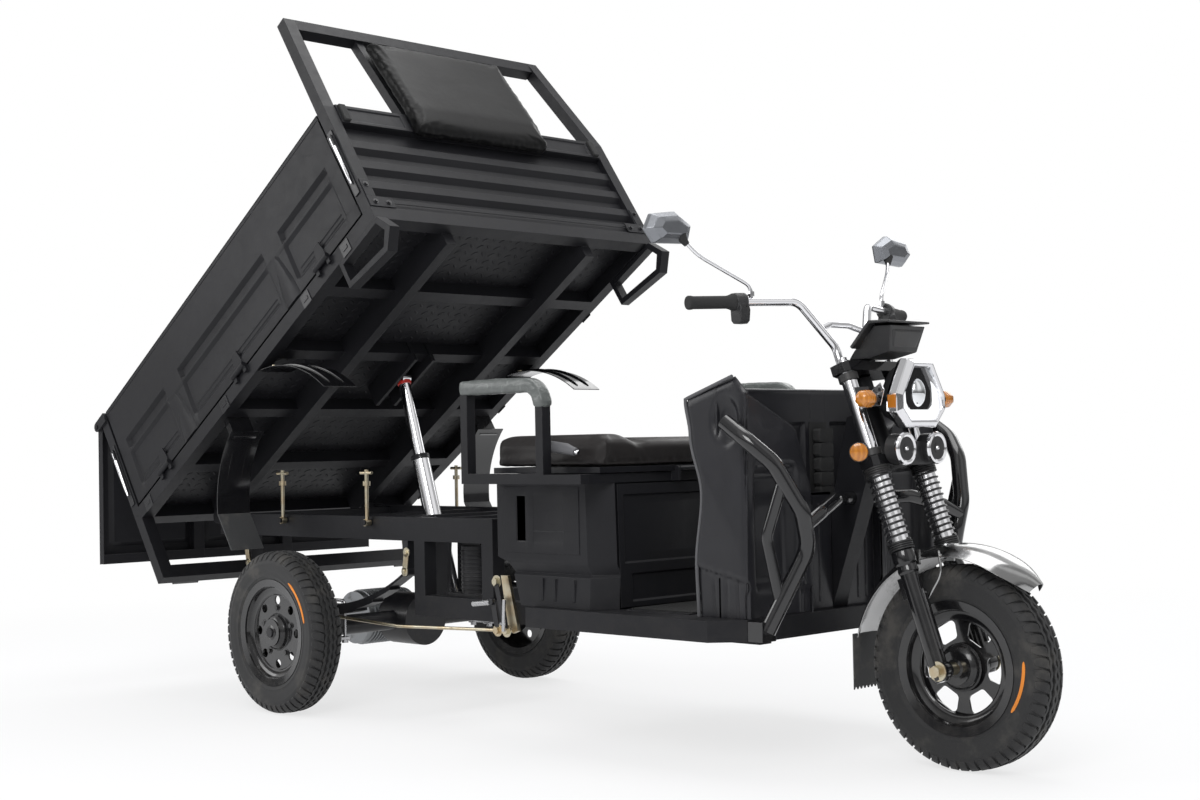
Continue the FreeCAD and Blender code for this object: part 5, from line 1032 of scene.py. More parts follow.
def add_bolts(name: str, spots: Sequence[tuple[Point, Point]], size: BoltSize, place: Matrix,
              body: str, finish: Finish = STEEL, slot: str = "zinc_steel") -> bpy.types.Object:
    """Sets hexagon heads on a body.

    Args:
        name: the piece's name.
        spots: foot and facing direction of each head, in the local frame.
        size: head and washer size.
        place: the local frame.
        body: the body that carries them.
        finish: their finish.
        slot: the record's material slot, kept in the dress but not used.

    Returns:
        The piece.
    """
    guide = bpy.data.meshes.new("spots")
    guide.from_pydata([tuple(place @ Vector(p)) for p, _ in spots], [], [])
    turn = place.to_3x3()
    facing = guide.attributes.new("facing", "FLOAT_VECTOR", "POINT")
    facing.data.foreach_set("vector", [v for _, n in spots for v in (turn @ Vector(n)).normalized()])
    values = {"Across flats": size.flats, "Head": size.head, "Washer": size.washer, "Seed": 11}
    mesh = repeat(guide, Layout.SPOTS, finish, values)
    return add_piece(name, mesh, Dress(body, finish, slot, smooth=25.0))


@dataclass
class Studio:
    """Pale floor, soft lights and the camera at the photograph's view."""

    eye: Point = (3.9697, -3.7280, 0.8205)
    yaw: float = 2.3600691
    pitch: float = 0.0260976
    roll: float = -0.0198445
    focal_pixels: float = 1761.0737
    frame_pixels: float = 1200.0
    sensor: float = 36.0
    floor_half: float = 60.0

    def camera(self) -> None:
        """Sets the camera at the photograph's view."""
        data = bpy.data.cameras.new("photo_view")
        data.sensor_fit = "HORIZONTAL"
        data.sensor_width = self.sensor
        data.lens = self.focal_pixels * self.sensor / self.frame_pixels
        data.clip_end = 200.0
        look = Vector((math.cos(self.pitch) * math.cos(self.yaw),
                       math.cos(self.pitch) * math.sin(self.yaw), math.sin(self.pitch)))
        right = look.cross(Vector((0, 0, 1))).normalized()
        up = right.cross(look)
        across = right * math.cos(self.roll) + up * math.sin(self.roll)
        above = up * math.cos(self.roll) - right * math.sin(self.roll)
        made = bpy.data.objects.new("photo_view", data)
        axes = Matrix((across, above, -look)).transposed().to_4x4()
        made.matrix_world = Matrix.Translation(self.eye) @ axes
        bpy.context.scene.collection.objects.link(made)
        bpy.context.scene.camera = made

    def floor(self) -> None:
        """Lays the floor."""
        h = self.floor_half
        mesh = bpy.data.meshes.new("floor")
        mesh.from_pydata([(-h, -h, 0), (h, -h, 0), (h, h, 0), (-h, h, 0)], [], [(0, 1, 2, 3)])
        mesh.materials.append(FLOOR.material())
        made = bpy.data.objects.new("floor", mesh)
        bpy.context.scene.collection.objects.link(made)

    def lamp(self, name: str, at: Point, size: tuple[float, float], power: float) -> None:
        """Hangs one soft lamp that looks at the trike's middle.

        Args:
            name: the lamp's name.
            at: its place.
            size: its width and height.
            power: its power in watts.
        """
        data = bpy.data.lights.new(name, "AREA")
        data.shape = "RECTANGLE"
        data.size, data.size_y = size
        data.energy = power
        made = bpy.data.objects.new(name, data)
        aim = Vector((0.0, 0.0, 0.9)) - Vector(at)
        made.matrix_world = Matrix.Translation(at) @ aim.to_track_quat("-Z", "Y").to_matrix().to_4x4()
        bpy.context.scene.collection.objects.link(made)

    def world(self) -> None:
        """A white world to the camera and through glass, a painted reflection of pale strips in glossy rays,
        and a plain grey one as light.
        """
        world = bpy.data.worlds.new("studio")
        world.use_nodes = True
        bpy.context.scene.world = world
        tree = Tree(world.node_tree)
        world.node_tree.nodes.clear()
        seen = tree.node("ShaderNodeLightPath", out="Is Camera Ray")
        through = tree.node("ShaderNodeLightPath", out="Is Transmission Ray")
        gloss = tree.node("ShaderNodeLightPath", out="Is Glossy Ray")
        way = tree.node("ShaderNodeTexCoord", out="Generated")
        x, y, z = (tree.node("ShaderNodeSeparateXYZ", None, {0: way}, axis) for axis in range(3))
        # Pale strips that only glossy rays see: a painted reflection that lights nothing.
        strips = tree.maths("SINE", tree.maths("ARCTAN2", y, x) * 4.0 + 0.9).ramp(-0.35, 0.45)
        mirror = z.ramp(0.02, 0.30) * 0.35 + strips * z.ramp(-0.05, 0.40) * 0.45 + 0.12
        plain = tree.node("ShaderNodeMix", {"data_type": "RGBA"},
                          {0: seen + through, 6: (0.62, 0.63, 0.65, 1.0), 7: (1.0, 1.0, 1.0, 1.0)}, 2)
        seen_in_metal = tree.node("ShaderNodeCombineColor", None, {0: mirror, 1: mirror, 2: mirror})
        tone = tree.node("ShaderNodeMix", {"data_type": "RGBA"}, {0: gloss, 6: plain, 7: seen_in_metal}, 2)
        back = tree.node("ShaderNodeBackground", None, {"Color": tone, "Strength": 1.0})
        tree.end("ShaderNodeOutputWorld", back)

    def build(self) -> None:
        """Sets up the whole studio."""
        scene = bpy.context.scene
        scene.view_settings.view_transform = "Standard"
        self.camera()
        self.floor()
        self.world()
        self.lamp("key_lamp", (3.4, -4.6, 4.2), (2.6, 2.6), 150.0)
        self.lamp("fill_lamp", (-3.8, -4.0, 2.6), (3.0, 2.4), 70.0)
        self.lamp("top_lamp", (0.0, 0.6, 5.0), (4.0, 3.0), 110.0)
        self.lamp("back_lamp", (-1.0, 5.0, 3.4), (4.0, 2.5), 60.0)


def ease(value: float, low: float, high: float) -> float:
    """Smooth step from 0 at low to 1 at high."""
    t = min(1.0, max(0.0, (value - low) / (high - low)))
    return t * t * (3.0 - 2.0 * t)


def along_line(line: Sequence[tuple[float, float]], at: float, smooth: bool = True) -> float:
    """Second coordinate of a line of points at a place.

    Args:
        line: place and value of each point.
        at: the place.
        smooth: whether the value eases between the points.

    Returns:
        The value there.
    """
    for (a, low), (b, high) in zip(line, line[1:]):
        if at <= b:
            t = ease(at, a, b) if smooth else min(1.0, max(0.0, (at - a) / (b - a)))
            return low + (high - low) * t
    return line[-1][1]


def round_outline(low: tuple[float, float], high: tuple[float, float], radius: float,
                  steps: int = 5) -> list[tuple[float, float]]:
    """Outline of a rectangle with rounded corners.

    Args:
        low: its lower corner.
        high: its upper corner.
        radius: corner radius.
        steps: points in each corner.

    Returns:
        The points in order.
    """
    points = []
    for quarter, (x, y) in enumerate((high, (low[0], high[1]), low, (high[0], low[1]))):
        middle_x = x - radius if quarter in (0, 3) else x + radius
        middle_y = y - radius if quarter in (0, 1) else y + radius
        for i in range(steps + 1):
            a = math.pi / 2 * (quarter + i / steps)
            points.append((middle_x + radius * math.cos(a), middle_y + radius * math.sin(a)))
    return points


@dataclass(frozen=True)
class Pressing:
    """A field pressed into sheet: its outline, its depth and the width of its sloped wall."""

    left: float
    right: float
    low: float
    high: float
    depth: float
    wall: float = 0.014

    def reach(self, across: float, up: float) -> float:
        """Depth of this field at a place."""
        inside = min(across - self.left, self.right - across, up - self.low, self.high - up)
        return self.depth * min(1.0, max(0.0, inside / self.wall))

    def breaks(self) -> tuple[list[float], list[float]]:
        """Places where its slope changes, across and up."""
        return ([self.left, self.left + self.wall, self.right - self.wall, self.right],
                [self.low, self.low + self.wall, self.high - self.wall, self.high])


def press_panel(shape: Shape, across: tuple[float, float], up: tuple[float, float],
                fields: Sequence[Pressing], face: Callable[[float, float, float], Point],
                sheet: float = 0.002) -> None:
    """Adds a pressed sheet to a shape.

    Args:
        shape: the shape that takes it.
        across: first and last place across.
        up: first and last place up.
        fields: the pressed fields.
        face: gives the local point for a place across, a place up and a depth.
        sheet: sheet thickness.
    """
    columns = set(across)
    rows = set(up)
    for one in fields:
        more_columns, more_rows = one.breaks()
        columns.update(c for c in more_columns if across[0] < c < across[1])
        rows.update(r for r in more_rows if up[0] < r < up[1])
    lines = sorted(columns)
    levels = sorted(rows)
    depths = [[sum(one.reach(c, r) for one in fields) for c in lines] for r in levels]
    front = [[Vector(face(c, r, d)) for c, d in zip(lines, row)] for r, row in zip(levels, depths)]
    back = [[Vector(face(c, r, d + sheet)) for c, d in zip(lines, row)] for r, row in zip(levels, depths)]
    shape.shell(front, back)


@dataclass
class LoadBed:
    """The tipping bed's pressed boards, hinge straps, tailgate and floor pattern."""

    places: Places
    half: float = 0.590
    length: float = 1.639
    rail: float = 0.045
    post: float = 0.040
    side_top: float = 0.441
    gap: float = 0.006
    board: float = 0.028
    fields: Sequence[tuple[float, float]] = ((0.104, 0.410), (0.514, 1.125), (1.229, 1.535))
    field_low: float = 0.087
    field_high: float = 0.285
    ridge: float = 0.234
    hinge_count: int = 3
    knuckle_y: float = 0.600
    knuckle_radius: float = 0.0088
    gate_half: float = 0.584
    gate_low: float = -0.062
    gate_rear: float = -0.036
    gate_pin: Point = (-0.022, 0.574, 0.424)
    floor_top: float = 0.049
    lozenge_length: float = 0.030
    lozenge_pitch: float = 0.034

    def build(self) -> None:
        """Makes the bed's pieces."""
        for side, sign in (("right", -1), ("left", 1)):
            self.side_board(side, sign)
        self.tailgate()
        self.floor_pattern()

    def side_board(self, side: str, sign: int) -> None:
        """Makes one pressed side board with its return edges, stiffeners, straps and knuckles.

        Args:
            side: right or left.
            sign: the side's direction along Y.
        """
        start = self.post + self.gap
        end = self.length - start
        low = self.rail + self.gap
        outer = self.half - 0.002
        fields = [Pressing(start, end, self.side_top - 0.018, self.side_top - 0.014, 0.0016, 0.001)]
        for left, right in self.fields:
            fields.append(Pressing(left, right, self.ridge + 0.003, self.field_high, 0.013, 0.012))
            fields.append(Pressing(left, right, self.field_low, self.ridge - 0.003, 0.0085, 0.012))
            for w in (0.016, 0.032):
                foot = self.field_low + w
                fields.append(Pressing(left + 0.025, right - 0.025, foot, foot + 0.007, -0.0026, 0.003))
        s = Shape(self.places.bed)

        def face(u: float, w: float, d: float) -> Point:
            """A point of the board's outer side."""
            return (u, sign * (outer - d), w)

        press_panel(s, (start, end), (low, self.side_top), fields, face)
        deep = sign * (outer - self.board)
        for w in (low, self.side_top - 0.003):
            s.box((start, deep, w), (end, sign * outer, w + 0.003))
        for u in (start, end - 0.003):
            s.box((u, deep, low), (u + 0.003, sign * outer, self.side_top))
        for near, far in zip(self.fields, self.fields[1:]):
            u = (near[1] + far[0]) / 2
            s.box((u - 0.024, deep, low), (u + 0.024, sign * (outer - 0.001), self.side_top))
            rim = [(u - 0.044, low), (u + 0.044, low), (u + 0.038, 0.118), (u + 0.014, 0.214), (u, 0.232),
                   (u - 0.014, 0.214), (u - 0.038, 0.118)]
            crown = [(u + (a - u) * 0.72, b - 0.010 * (b > low)) for a, b in rim]
            s.loft([[(a, sign * (outer + rise), b) for a, b in line]
                    for line, rise in ((rim, -0.001), (rim, 0.0005), (crown, 0.006))])
        s.box((start, deep, self.side_top - 0.040), (end, deep + sign * 0.004, self.side_top))
        for i in range(self.hinge_count):
            self._strap(s, self.length * (i + 0.5) / self.hinge_count, sign, outer, low)
        dress = Dress("side_board_" + side, BODY, "body_paint", bevel=0.0014)
        add_piece("pressed_board_" + side, s, dress, ("side_board_" + side,))

    def _strap(self, s: Shape, u: float, sign: int, outer: float, low: float) -> None:
        """Adds a tapered hinge strap with its curled knuckle.

        Args:
            s: the shape that takes it.
            u: the hinge's middle along the bed.
            sign: the side's direction along Y.
            outer: the board's outer face.
            low: the board's lower edge.
        """
        outline = [(u - 0.024, low - 0.004), (u + 0.024, low - 0.004), (u + 0.022, low + 0.040),
                   (u + 0.014, low + 0.070), (u - 0.014, low + 0.070), (u - 0.022, low + 0.040)]
        s.loft([[(a, sign * y, b) for a, b in outline] for y in (outer - 0.001, outer + 0.004)])
        s.rod((u - 0.024, sign * self.knuckle_y, low), (u + 0.024, sign * self.knuckle_y, low),
              self.knuckle_radius, 16)
        s.box((u - 0.024, sign * (outer - 0.001), low + 0.002),
              (u + 0.024, sign * self.knuckle_y, low + self.knuckle_radius))

    def tailgate(self) -> None:
        """Makes the pressed tailgate that hangs from its top pins."""
        s = Shape(self.places.gate)
        low, high = self.gate_low, self.side_top
        pitch = 2 * self.gate_half / 3
        fields = []
        for i in range(3):
            left = -self.gate_half + i * pitch + 0.035
            right = left + pitch - 0.070
            fields.append(Pressing(left, right, low + 0.060, high - 0.060, 0.012, 0.016))
            fields.append(Pressing(left + 0.055, right - 0.055, low + 0.150, high - 0.150, -0.006, 0.014))

        def face(y: float, w: float, d: float) -> Point:
            """A point of the gate's outer side."""
            return (self.gate_rear + d, y, w)

        press_panel(s, (-self.gate_half, self.gate_half), (low, high), fields, face)
        front = self.gate_rear + self.board
        for w in (low, high - 0.003):
            s.box((self.gate_rear, -self.gate_half, w), (front, self.gate_half, w + 0.003))
        for y in (-self.gate_half, self.gate_half - 0.003):
            s.box((self.gate_rear, y, low), (front, y + 0.003, high))
        for i in (1, 2):
            y = -self.gate_half + i * pitch
            s.box((self.gate_rear + 0.001, y - 0.022, low), (front, y + 0.022, high))
        for w in (low, high - 0.034):
            s.box((front - 0.003, -self.gate_half, w), (front, self.gate_half, w + 0.034))
        u, y, w = self.gate_pin
        for sign in SIDES:
            s.rod((u, sign * y, w), (u, sign * (y + 0.028), w), 0.008, 18)
        dress = Dress("tailgate", BODY, "body_paint", bevel=0.0012)
        add_piece("pressed_tailgate", s, dress, ("tailgate",))

    def floor_pattern(self) -> None:
        """Sets raised lozenges on both faces of the floor plate."""
        long, wide, rise = self.lozenge_length / 2, 0.0048, 0.0014
        unit = Shape()
        rim = [(-long, 0, 0), (-long * 0.35, -wide, 0), (long * 0.35, -wide, 0), (long, 0, 0),
               (long * 0.35, wide, 0), (-long * 0.35, wide, 0)]
        top = [(x * 0.7, y * 0.45, rise) for x, y, _ in rim]
        faces = [(i, (i + 1) % 6, 6 + (i + 1) % 6, 6 + i) for i in range(6)] + [tuple(range(6, 12))]
        unit.add(rim + top, faces)
        inner_length = self.length - 2 * self.post - 0.05
        inner_width = 2 * (self.half - self.rail) - 0.04
        values = {"Length": inner_length, "Width": inner_width,
                  "Along": int(inner_length / self.lozenge_pitch) + 1,
                  "Across": int(inner_width / self.lozenge_pitch) + 1}
        middle = self.length / 2
        over = self.places.bed @ moved(middle, 0.0, self.floor_top - 0.0001)
        under = self.places.bed @ moved(middle, 0.0, self.rail + 0.0001) @ UPSIDE_DOWN
        for name, place in (("floor_lozenges_top", over), ("floor_lozenges_under", under)):
            mesh = repeat(unit.mesh("lozenge"), Layout.GRID, BODY, values, place)
            add_piece(name, mesh, Dress("bed", BODY, "body_paint", smooth=20.0))


@dataclass
class Wheel:
    """One wheel: tyre with ribs, shoulder lugs and an orange arc, rim steps, hub cover and nuts."""

    name: str
    centre: Vector
    outward: int
    arc: Sequence[float] = (12.0, 56.0, 0.193, 0.193)
    nuts: int = 5
    nut_circle: float = 0.076
    nut_face: float = 0.0195
    pitches: int = 54
    ribs: Sequence[float] = (-0.0165, 0.0, 0.0165)

    def frame(self) -> Matrix:
        """Local frame with Z along the axle, outwards."""
        return Matrix.Translation(self.centre) @ outward_turn(self.outward)

    def build(self) -> None:
        """Makes the wheel's pieces."""
        self.tyre()
        self.lugs()
        self.hub()
        self.stripe()

    def tyre(self) -> None:
        """Turns the carcass and lays the wavy centre ribs on it."""
        flank = [(0.150, 0.042), (0.160, 0.0445), (0.168, 0.0462), (0.171, 0.0492), (0.1765, 0.0504),
                 (0.1785, 0.0516), (0.1805, 0.0509), (0.192, 0.0532), (0.205, 0.0543), (0.214, 0.0541),
                 (0.216, 0.0545), (0.219, 0.0537), (0.228, 0.0515), (0.236, 0.0474), (0.2420, 0.0410),
                 (0.2455, 0.0320), (0.2472, 0.0180)]
        profile = flank + [(0.2478, 0.0)] + [(r, -h) for r, h in reversed(flank)]
        s = Shape(self.frame())
        s.lathe(profile, 128, True)
        steps = self.pitches * 6
        for k, middle in enumerate(self.ribs):
            crown = 0.2546 - 8.0 * middle * middle
            rings = []
            for i in range(steps):
                a = 2 * math.pi * i / steps
                y = middle + 0.0026 * math.sin(self.pitches * a + k * 2.1)
                rings.append([(r * math.cos(a), r * math.sin(a), y + off) for r, off in
                              ((0.2455, -0.0056), (crown, -0.0046), (crown, 0.0046), (0.2455, 0.0056))])
            s.loft(rings, True, True, False)
        dress = Dress(self.name, TYRE, "tyre_rubber", smooth=38.0)
        add_piece(self.name + "_tyre_tread", s, dress, (self.name + "_tyre",))

    def stripe(self) -> None:
        """Lays the orange arc on the outer sidewall."""
        first, last, near, far = self.arc
        line = ((0.171, 0.0492), (0.1765, 0.0504), (0.192, 0.0532), (0.205, 0.0543), (0.214, 0.0545))
        rows: Rows = []
        for i in range(33):
            a = math.radians(first + (last - first) * i / 32)
            slim = math.sqrt(max(0.05, 1.0 - (i / 16 - 1) ** 8))
            middle = near + (far - near) * i / 32
            reach = [middle + 0.0045 * slim * k / 2 for k in (-2, -1, 0, 1, 2)]
            rows.append([Vector((r * math.cos(a), r * math.sin(a), along_line(line, r, False) + 0.0014))
                         for r in reach])
        s = Shape(self.frame())
        s.skin(rows, 0.0012)
        add_piece(self.name + "_stripe", s, Dress(self.name, STRIPE, "tyre_rubber"))

    def lugs(self) -> None:
        """Sets the notched shoulder lugs round both edges."""
        line = ((0.2536, 0.0262, 0.0104, -0.0040), (0.2518, 0.0345, 0.0112, 0.0),
                (0.2468, 0.0432, 0.0108, 0.0030), (0.2395, 0.0498, 0.0094, 0.0052),
                (0.2290, 0.0536, 0.0062, 0.0066))
        for part, sign in (("outer", 1), ("inner", -1)):
            unit = Shape()
            rings = []
            for r, h, wide, shift in line:
                top, foot, broad = sign * h, sign * (h - 0.004), wide + 0.001
                rings.append([(r, shift - wide, top), (r, shift + wide, top),
                              (r - 0.0085, shift + broad, foot), (r - 0.0085, shift - broad, foot)])
            unit.loft(rings)
            turn = Matrix.Rotation(math.pi / self.pitches * (sign < 0), 4, "Z")
            mesh = repeat(unit.mesh("lug"), Layout.RING, TYRE, {"Count": self.pitches}, self.frame() @ turn)
            dress = Dress(self.name, TYRE, "tyre_rubber", smooth=30.0)
            add_piece(f"{self.name}_shoulder_{part}", mesh, dress)

    def hub(self) -> None:
        """Turns the raised ring of the disc and the domed hub cover."""
        s = Shape(self.frame())
        ring = [(0.1445, 0.040), (0.1400, 0.030), (0.1300, 0.0245), (0.1200, 0.0245), (0.1165, 0.0215),
                (0.1165, 0.0195), (0.1480, 0.0195), (0.1480, 0.040)]
        s.lathe(ring, 96, True)
        dress = Dress(self.name, GLOSS, "rim_paint", smooth=30.0)
        add_piece(self.name + "_rim_steps", s, dress)
        cover = Shape(self.frame())
        dome = [(0.0, 0.0485), (0.016, 0.0480), (0.0175, 0.0470), (0.034, 0.0440), (0.047, 0.0385),
                (0.0535, 0.0310), (0.0555, 0.0215), (0.060, 0.0205), (0.060, 0.0190), (0.0, 0.0190)]
        cover.lathe(dome, 64)
        add_piece(self.name + "_hub_cover", cover, Dress(self.name, HUB, "rim_paint", smooth=28.0))
        if self.nuts:
            start = 0.5 * math.pi / self.nuts
            spots = [(p, (0, 0, 1)) for p in ring_points(self.nut_circle, self.nut_face, self.nuts, start)]
            add_bolts(self.name + "_nuts", spots, M8, self.frame(), self.name, HUB, "rim_paint")


@dataclass
class Fork:
    """The raked fork: sliders, bright tubes, springs, collars and axle nuts."""

    places: Places
    back: float = -0.008
    spread: float = 0.100
    yoke_top: float = 0.811
    tube_radius: float = 0.0205
    coil_radius: float = 0.0281

    def leg(self, sign: int) -> Matrix:
        """The frame of one leg's middle line."""
        return self.places.fork @ moved(self.back, sign * self.spread, 0.0)

    def build(self) -> None:
        """Makes the fork's pieces."""
        self.sliders()
        self.tubes()
        self.springs()
        self.collars()

    def sliders(self) -> None:
        """Turns the black sliders with their rings and axle clamps."""
        s = Shape()
        profile = [(0.0, -0.026), (0.018, -0.026), (0.0225, -0.020), (0.0238, 0.030), (0.0238, 0.250),
                   (0.0262, 0.254), (0.0262, 0.262), (0.0246, 0.266), (0.0246, 0.272), (0.0280, 0.276),
                   (0.0296, 0.286), (0.0296, 0.304), (0.0270, 0.310), (0.0, 0.310)]
        clamp = [(0.0, -0.019), (0.021, -0.019), (0.0225, -0.012), (0.0225, 0.012), (0.021, 0.019),
                 (0.0, 0.019)]
        for sign in SIDES:
            s.lathe(profile, 40, place=self.leg(sign))
            s.lathe(clamp, 32, place=self.leg(sign) @ moved(-self.back, 0.0, 0.0) @ AXLE_TURN)
            s.box((0.016, -0.006, 0.05), (0.030, 0.006, 0.205), self.leg(sign))
            s.box((-0.034, -0.010, 0.190), (-0.016, 0.010, 0.245), self.leg(sign))
        dress = Dress("steering", GLOSS, "fork_metal", smooth=30.0, bevel=0.0012)
        add_piece("fork_sliders", s, dress, ("fork_legs",))
        spots = [((0.0, sign * 0.1185, 0.0), (0, sign, 0)) for sign in SIDES]
        add_bolts("axle_nuts", spots, M16, self.places.fork, "steering", ZINC)

    def tubes(self) -> None:
        """Turns the bright inner tubes and the upper tubes with their caps."""
        s = Shape()
        top = self.yoke_top
        cap = [(0.0, top), (0.0165, top), (0.0165, top + 0.006), (0.0110, top + 0.008),
               (0.0110, top + 0.016), (0.0, top + 0.016)]
        for sign in SIDES:
            leg = self.leg(sign)
            s.lathe([(0.0, 0.300), (0.0158, 0.300), (0.0158, 0.532), (0.0, 0.532)], 32, place=leg)
            s.lathe([(0.0, 0.552), (self.tube_radius, 0.552), (self.tube_radius, 0.790), (0.0, 0.790)],
                    40, place=leg)
            s.lathe(cap, 24, place=leg)
        dress = Dress("steering", CHROME, "chrome_plate", smooth=30.0)
        add_piece("fork_tubes", s, dress)

    def springs(self) -> None:
        """Winds the dark coils round their bright spring tubes."""
        cores = Shape()
        coils = Shape()
        turns, steps = 11, 20
        core = [(0.0162, 0.328), (0.0258, 0.330), (0.0258, 0.510), (0.0162, 0.512)]
        line = []
        for i in range(turns * steps + 1):
            a = 2 * math.pi * i / steps
            height = 0.334 + 0.172 * i / (turns * steps)
            line.append((self.coil_radius * math.cos(a), self.coil_radius * math.sin(a), height))
        for sign in SIDES:
            cores.lathe(core, 40, True, self.leg(sign))
            coils.tube(line, 0.0030, 8, place=self.leg(sign))
        add_piece("spring_tubes", cores,
                  Dress("steering", CHROME, "chrome_plate", smooth=40.0), ("fork_springs",))
        add_piece("spring_coils", coils, Dress("steering", COIL, "black_plastic", smooth=60.0))

    def collars(self) -> None:
        """Turns the ribbed black collars over and under the springs."""
        s = Shape()
        for sign in SIDES:
            for base in (0.508, 0.310):
                profile = [(0.0170, base)]
                for i in range(4):
                    z = base + 0.0055 * i
                    profile += [(0.0325, z + 0.0006), (0.0325, z + 0.0036),
                                (0.0290, z + 0.0042), (0.0290, z + 0.0053)]
                profile.append((0.0170, base + 0.022))
                s.lathe(profile, 40, True, place=self.leg(sign))
            for base in (0.557, 0.762):
                band = [(0.0200, base), (0.0262, base + 0.002), (0.0262, base + 0.020),
                        (0.0200, base + 0.022)]
                s.lathe(band, 40, True, place=self.leg(sign))
        dress = Dress("steering", PLASTIC, "black_plastic", smooth=30.0)
        add_piece("fork_collars", s, dress)


@dataclass
class FrontEnd:
    """Headlamp, horns, cowl, mudguard, mirrors, grips and switch housings."""

    places: Places
    lamp_face: float = 2.088
    lamp_depth: float = 0.046
    lamp_half: float = 0.105
    lamp_low: float = 0.850
    lamp_high: float = 1.027
    lamp_corner: float = 0.040
    lamp_slant: float = 0.050
    lamp_brow: float = 0.088
    horn_face: float = 2.0745
    horn_y: float = 0.067
    horn_z: float = 0.799
    horn_radius: float = 0.038
    guard_radius: float = 0.308
    guard_half: float = 0.080
    wheel_centre: Point = (2.190, 0.0, 0.255)
    guard_arc: tuple[float, float] = (44.0, 167.0)
    mirror_y: float = 0.470
    mirror_z: float = 1.366
    pod_from_end: float = 0.146
    grip_end: Point = (1.700, -0.452, 1.176)
    grip_toward: Point = (1.765, -0.262, 1.182)

    def build(self) -> None:
        """Makes the front end's pieces."""
        self.headlamp()
        self.horns()
        self.cowl()
        self.mudguard()
        self.mirrors()
        self.hand_controls()

    def _ring(self, x: float, inset: float) -> list[Vector]:
        """The lamp's outline across the trike, narrow at its top and drawn in by an inset."""
        h, low, high = self.lamp_half - inset, self.lamp_low + inset, self.lamp_high - inset
        c = self.lamp_corner - inset * 0.4
        brow = self.lamp_brow - inset * 0.6
        line = [(c - h, low), (h - c, low), (h, low + c), (h, high - brow), (h - self.lamp_slant, high),
                (self.lamp_slant - h, high), (-h, high - brow), (-h, low + c)]
        return [Vector((x, y, z)) for y, z in line]

    def headlamp(self) -> None:
        """Makes the shell, the bright faceted bezel, the pane, the projector and the lamp bar."""
        face = self.lamp_face
        back = face - self.lamp_depth
        shell = Shape(self.places.chassis)
        shell.loft([self._ring(back + off, inset) for off, inset in
                    ((-0.058, 0.050), (-0.046, 0.032), (0.0, 0.012), (0.004, 0.008))])
        shell.box((back - 0.110, -0.112, 0.927), (back - 0.045, 0.112, 0.957))
        add_piece("headlamp_shell", shell,
                  Dress("steering", PLASTIC, "black_plastic", bevel=0.004, steps=3), ("headlamp",))
        bezel = Shape(self.places.chassis)
        stations = ((back, 0.006), (back + 0.014, 0.0), (face - 0.012, 0.002), (face, 0.014),
                    (face - 0.003, 0.020), (face - 0.020, 0.024), (back + 0.006, 0.024))
        bezel.loft([self._ring(x, inset) for x, inset in stations], True, True, False)
        add_piece("headlamp_bezel", bezel,
                  Dress("steering", CHROME, "chrome_plate", smooth=18.0, bevel=0.0014))
        pane = Shape(self.places.chassis)
        pane.loft([self._ring(face - 0.026, 0.022), self._ring(face - 0.019, 0.022)])
        add_piece("headlamp_pane", pane, Dress("steering", PANE, "black_plastic"))
        oval = Matrix.Diagonal((1.0, 0.72, 1.0, 1.0))
        eye = Shape(self.places.chassis @ moved(face - 0.021, 0.0, 0.940) @ turned_about_y(90.0) @ oval)
        eye.lathe([(0.0, 0.018), (0.014, 0.0165), (0.026, 0.012), (0.034, 0.006), (0.037, 0.0)], 48)
        add_piece("headlamp_projector", eye, Dress("steering", SILVERED, "chrome_plate", smooth=50.0))
        bars = Shape(self.places.chassis)
        line = [(-0.046, 1.000), (-0.068, 0.950), (-0.074, 0.905), (-0.052, 0.880), (0.052, 0.880),
                (0.074, 0.905), (0.068, 0.950), (0.046, 1.000)]
        path = rounded([(face - 0.020, y, z) for y, z in line], 0.02)
        bars.tube(path, lambda t: 0.004 + 0.014 * math.sin(math.pi * t), 12)
        add_piece("headlamp_light_bar", bars, Dress("steering", CLEAR, "black_plastic", smooth=40.0))
        amber = Shape(self.places.chassis)
        for sign in SIDES:
            amber.box((face - 0.038, sign * (self.lamp_half - 0.004), 0.902),
                      (face - 0.014, sign * (self.lamp_half + 0.0015), 0.935))
        add_piece("headlamp_side_lenses", amber, Dress("steering", AMBER, "amber_lens", bevel=0.001))

    def horns(self) -> None:
        """Makes the bright rings, the ringed black dishes and the plate of the twin horns."""
        rings = Shape()
        dishes = Shape()
        r = self.horn_radius
        ring = [(r - 0.008, -0.008), (r + 0.002, -0.006), (r + 0.004, 0.0), (r + 0.002, 0.0050),
                (r - 0.003, 0.0070), (r - 0.008, 0.0040)]
        dome = [(0.0, 0.0075), (0.0040, 0.0065), (0.0065, 0.0030), (0.0065, 0.0), (0.0, 0.0)]
        dish = [(0.0, 0.0035), (0.012, 0.0035), (0.0125, -0.001), (0.0170, -0.001), (0.0175, 0.001),
                (0.0195, 0.001), (0.0200, -0.002), (0.0245, -0.002), (0.0250, 0.0005), (0.0270, 0.0005),
                (0.0275, -0.003), (0.0330, -0.003), (0.0330, -0.012), (0.0, -0.012)]
        for sign in SIDES:
            front = self.places.chassis @ moved(self.horn_face, sign * self.horn_y, self.horn_z) \
                @ turned_about_y(90.0)
            rings.lathe(ring, 48, True, place=front)
            rings.lathe(dome, 20, place=front)
            dishes.lathe(dish, 48, place=front)
        add_piece("horn_rings", rings, Dress("steering", CHROME, "chrome_plate", smooth=40.0))
        plate = Shape(self.places.chassis)
        plate.box((2.030, -0.042, 0.781), (2.038, 0.042, 0.817))
        plate.box((2.020, -0.020, 0.790), (2.034, 0.020, 0.836))
        add_piece("horn_plate", plate, Dress("steering", PLASTIC, "black_plastic", bevel=0.002))
        add_piece("horn_dishes", dishes, Dress("steering", PLASTIC, "black_plastic", smooth=28.0))

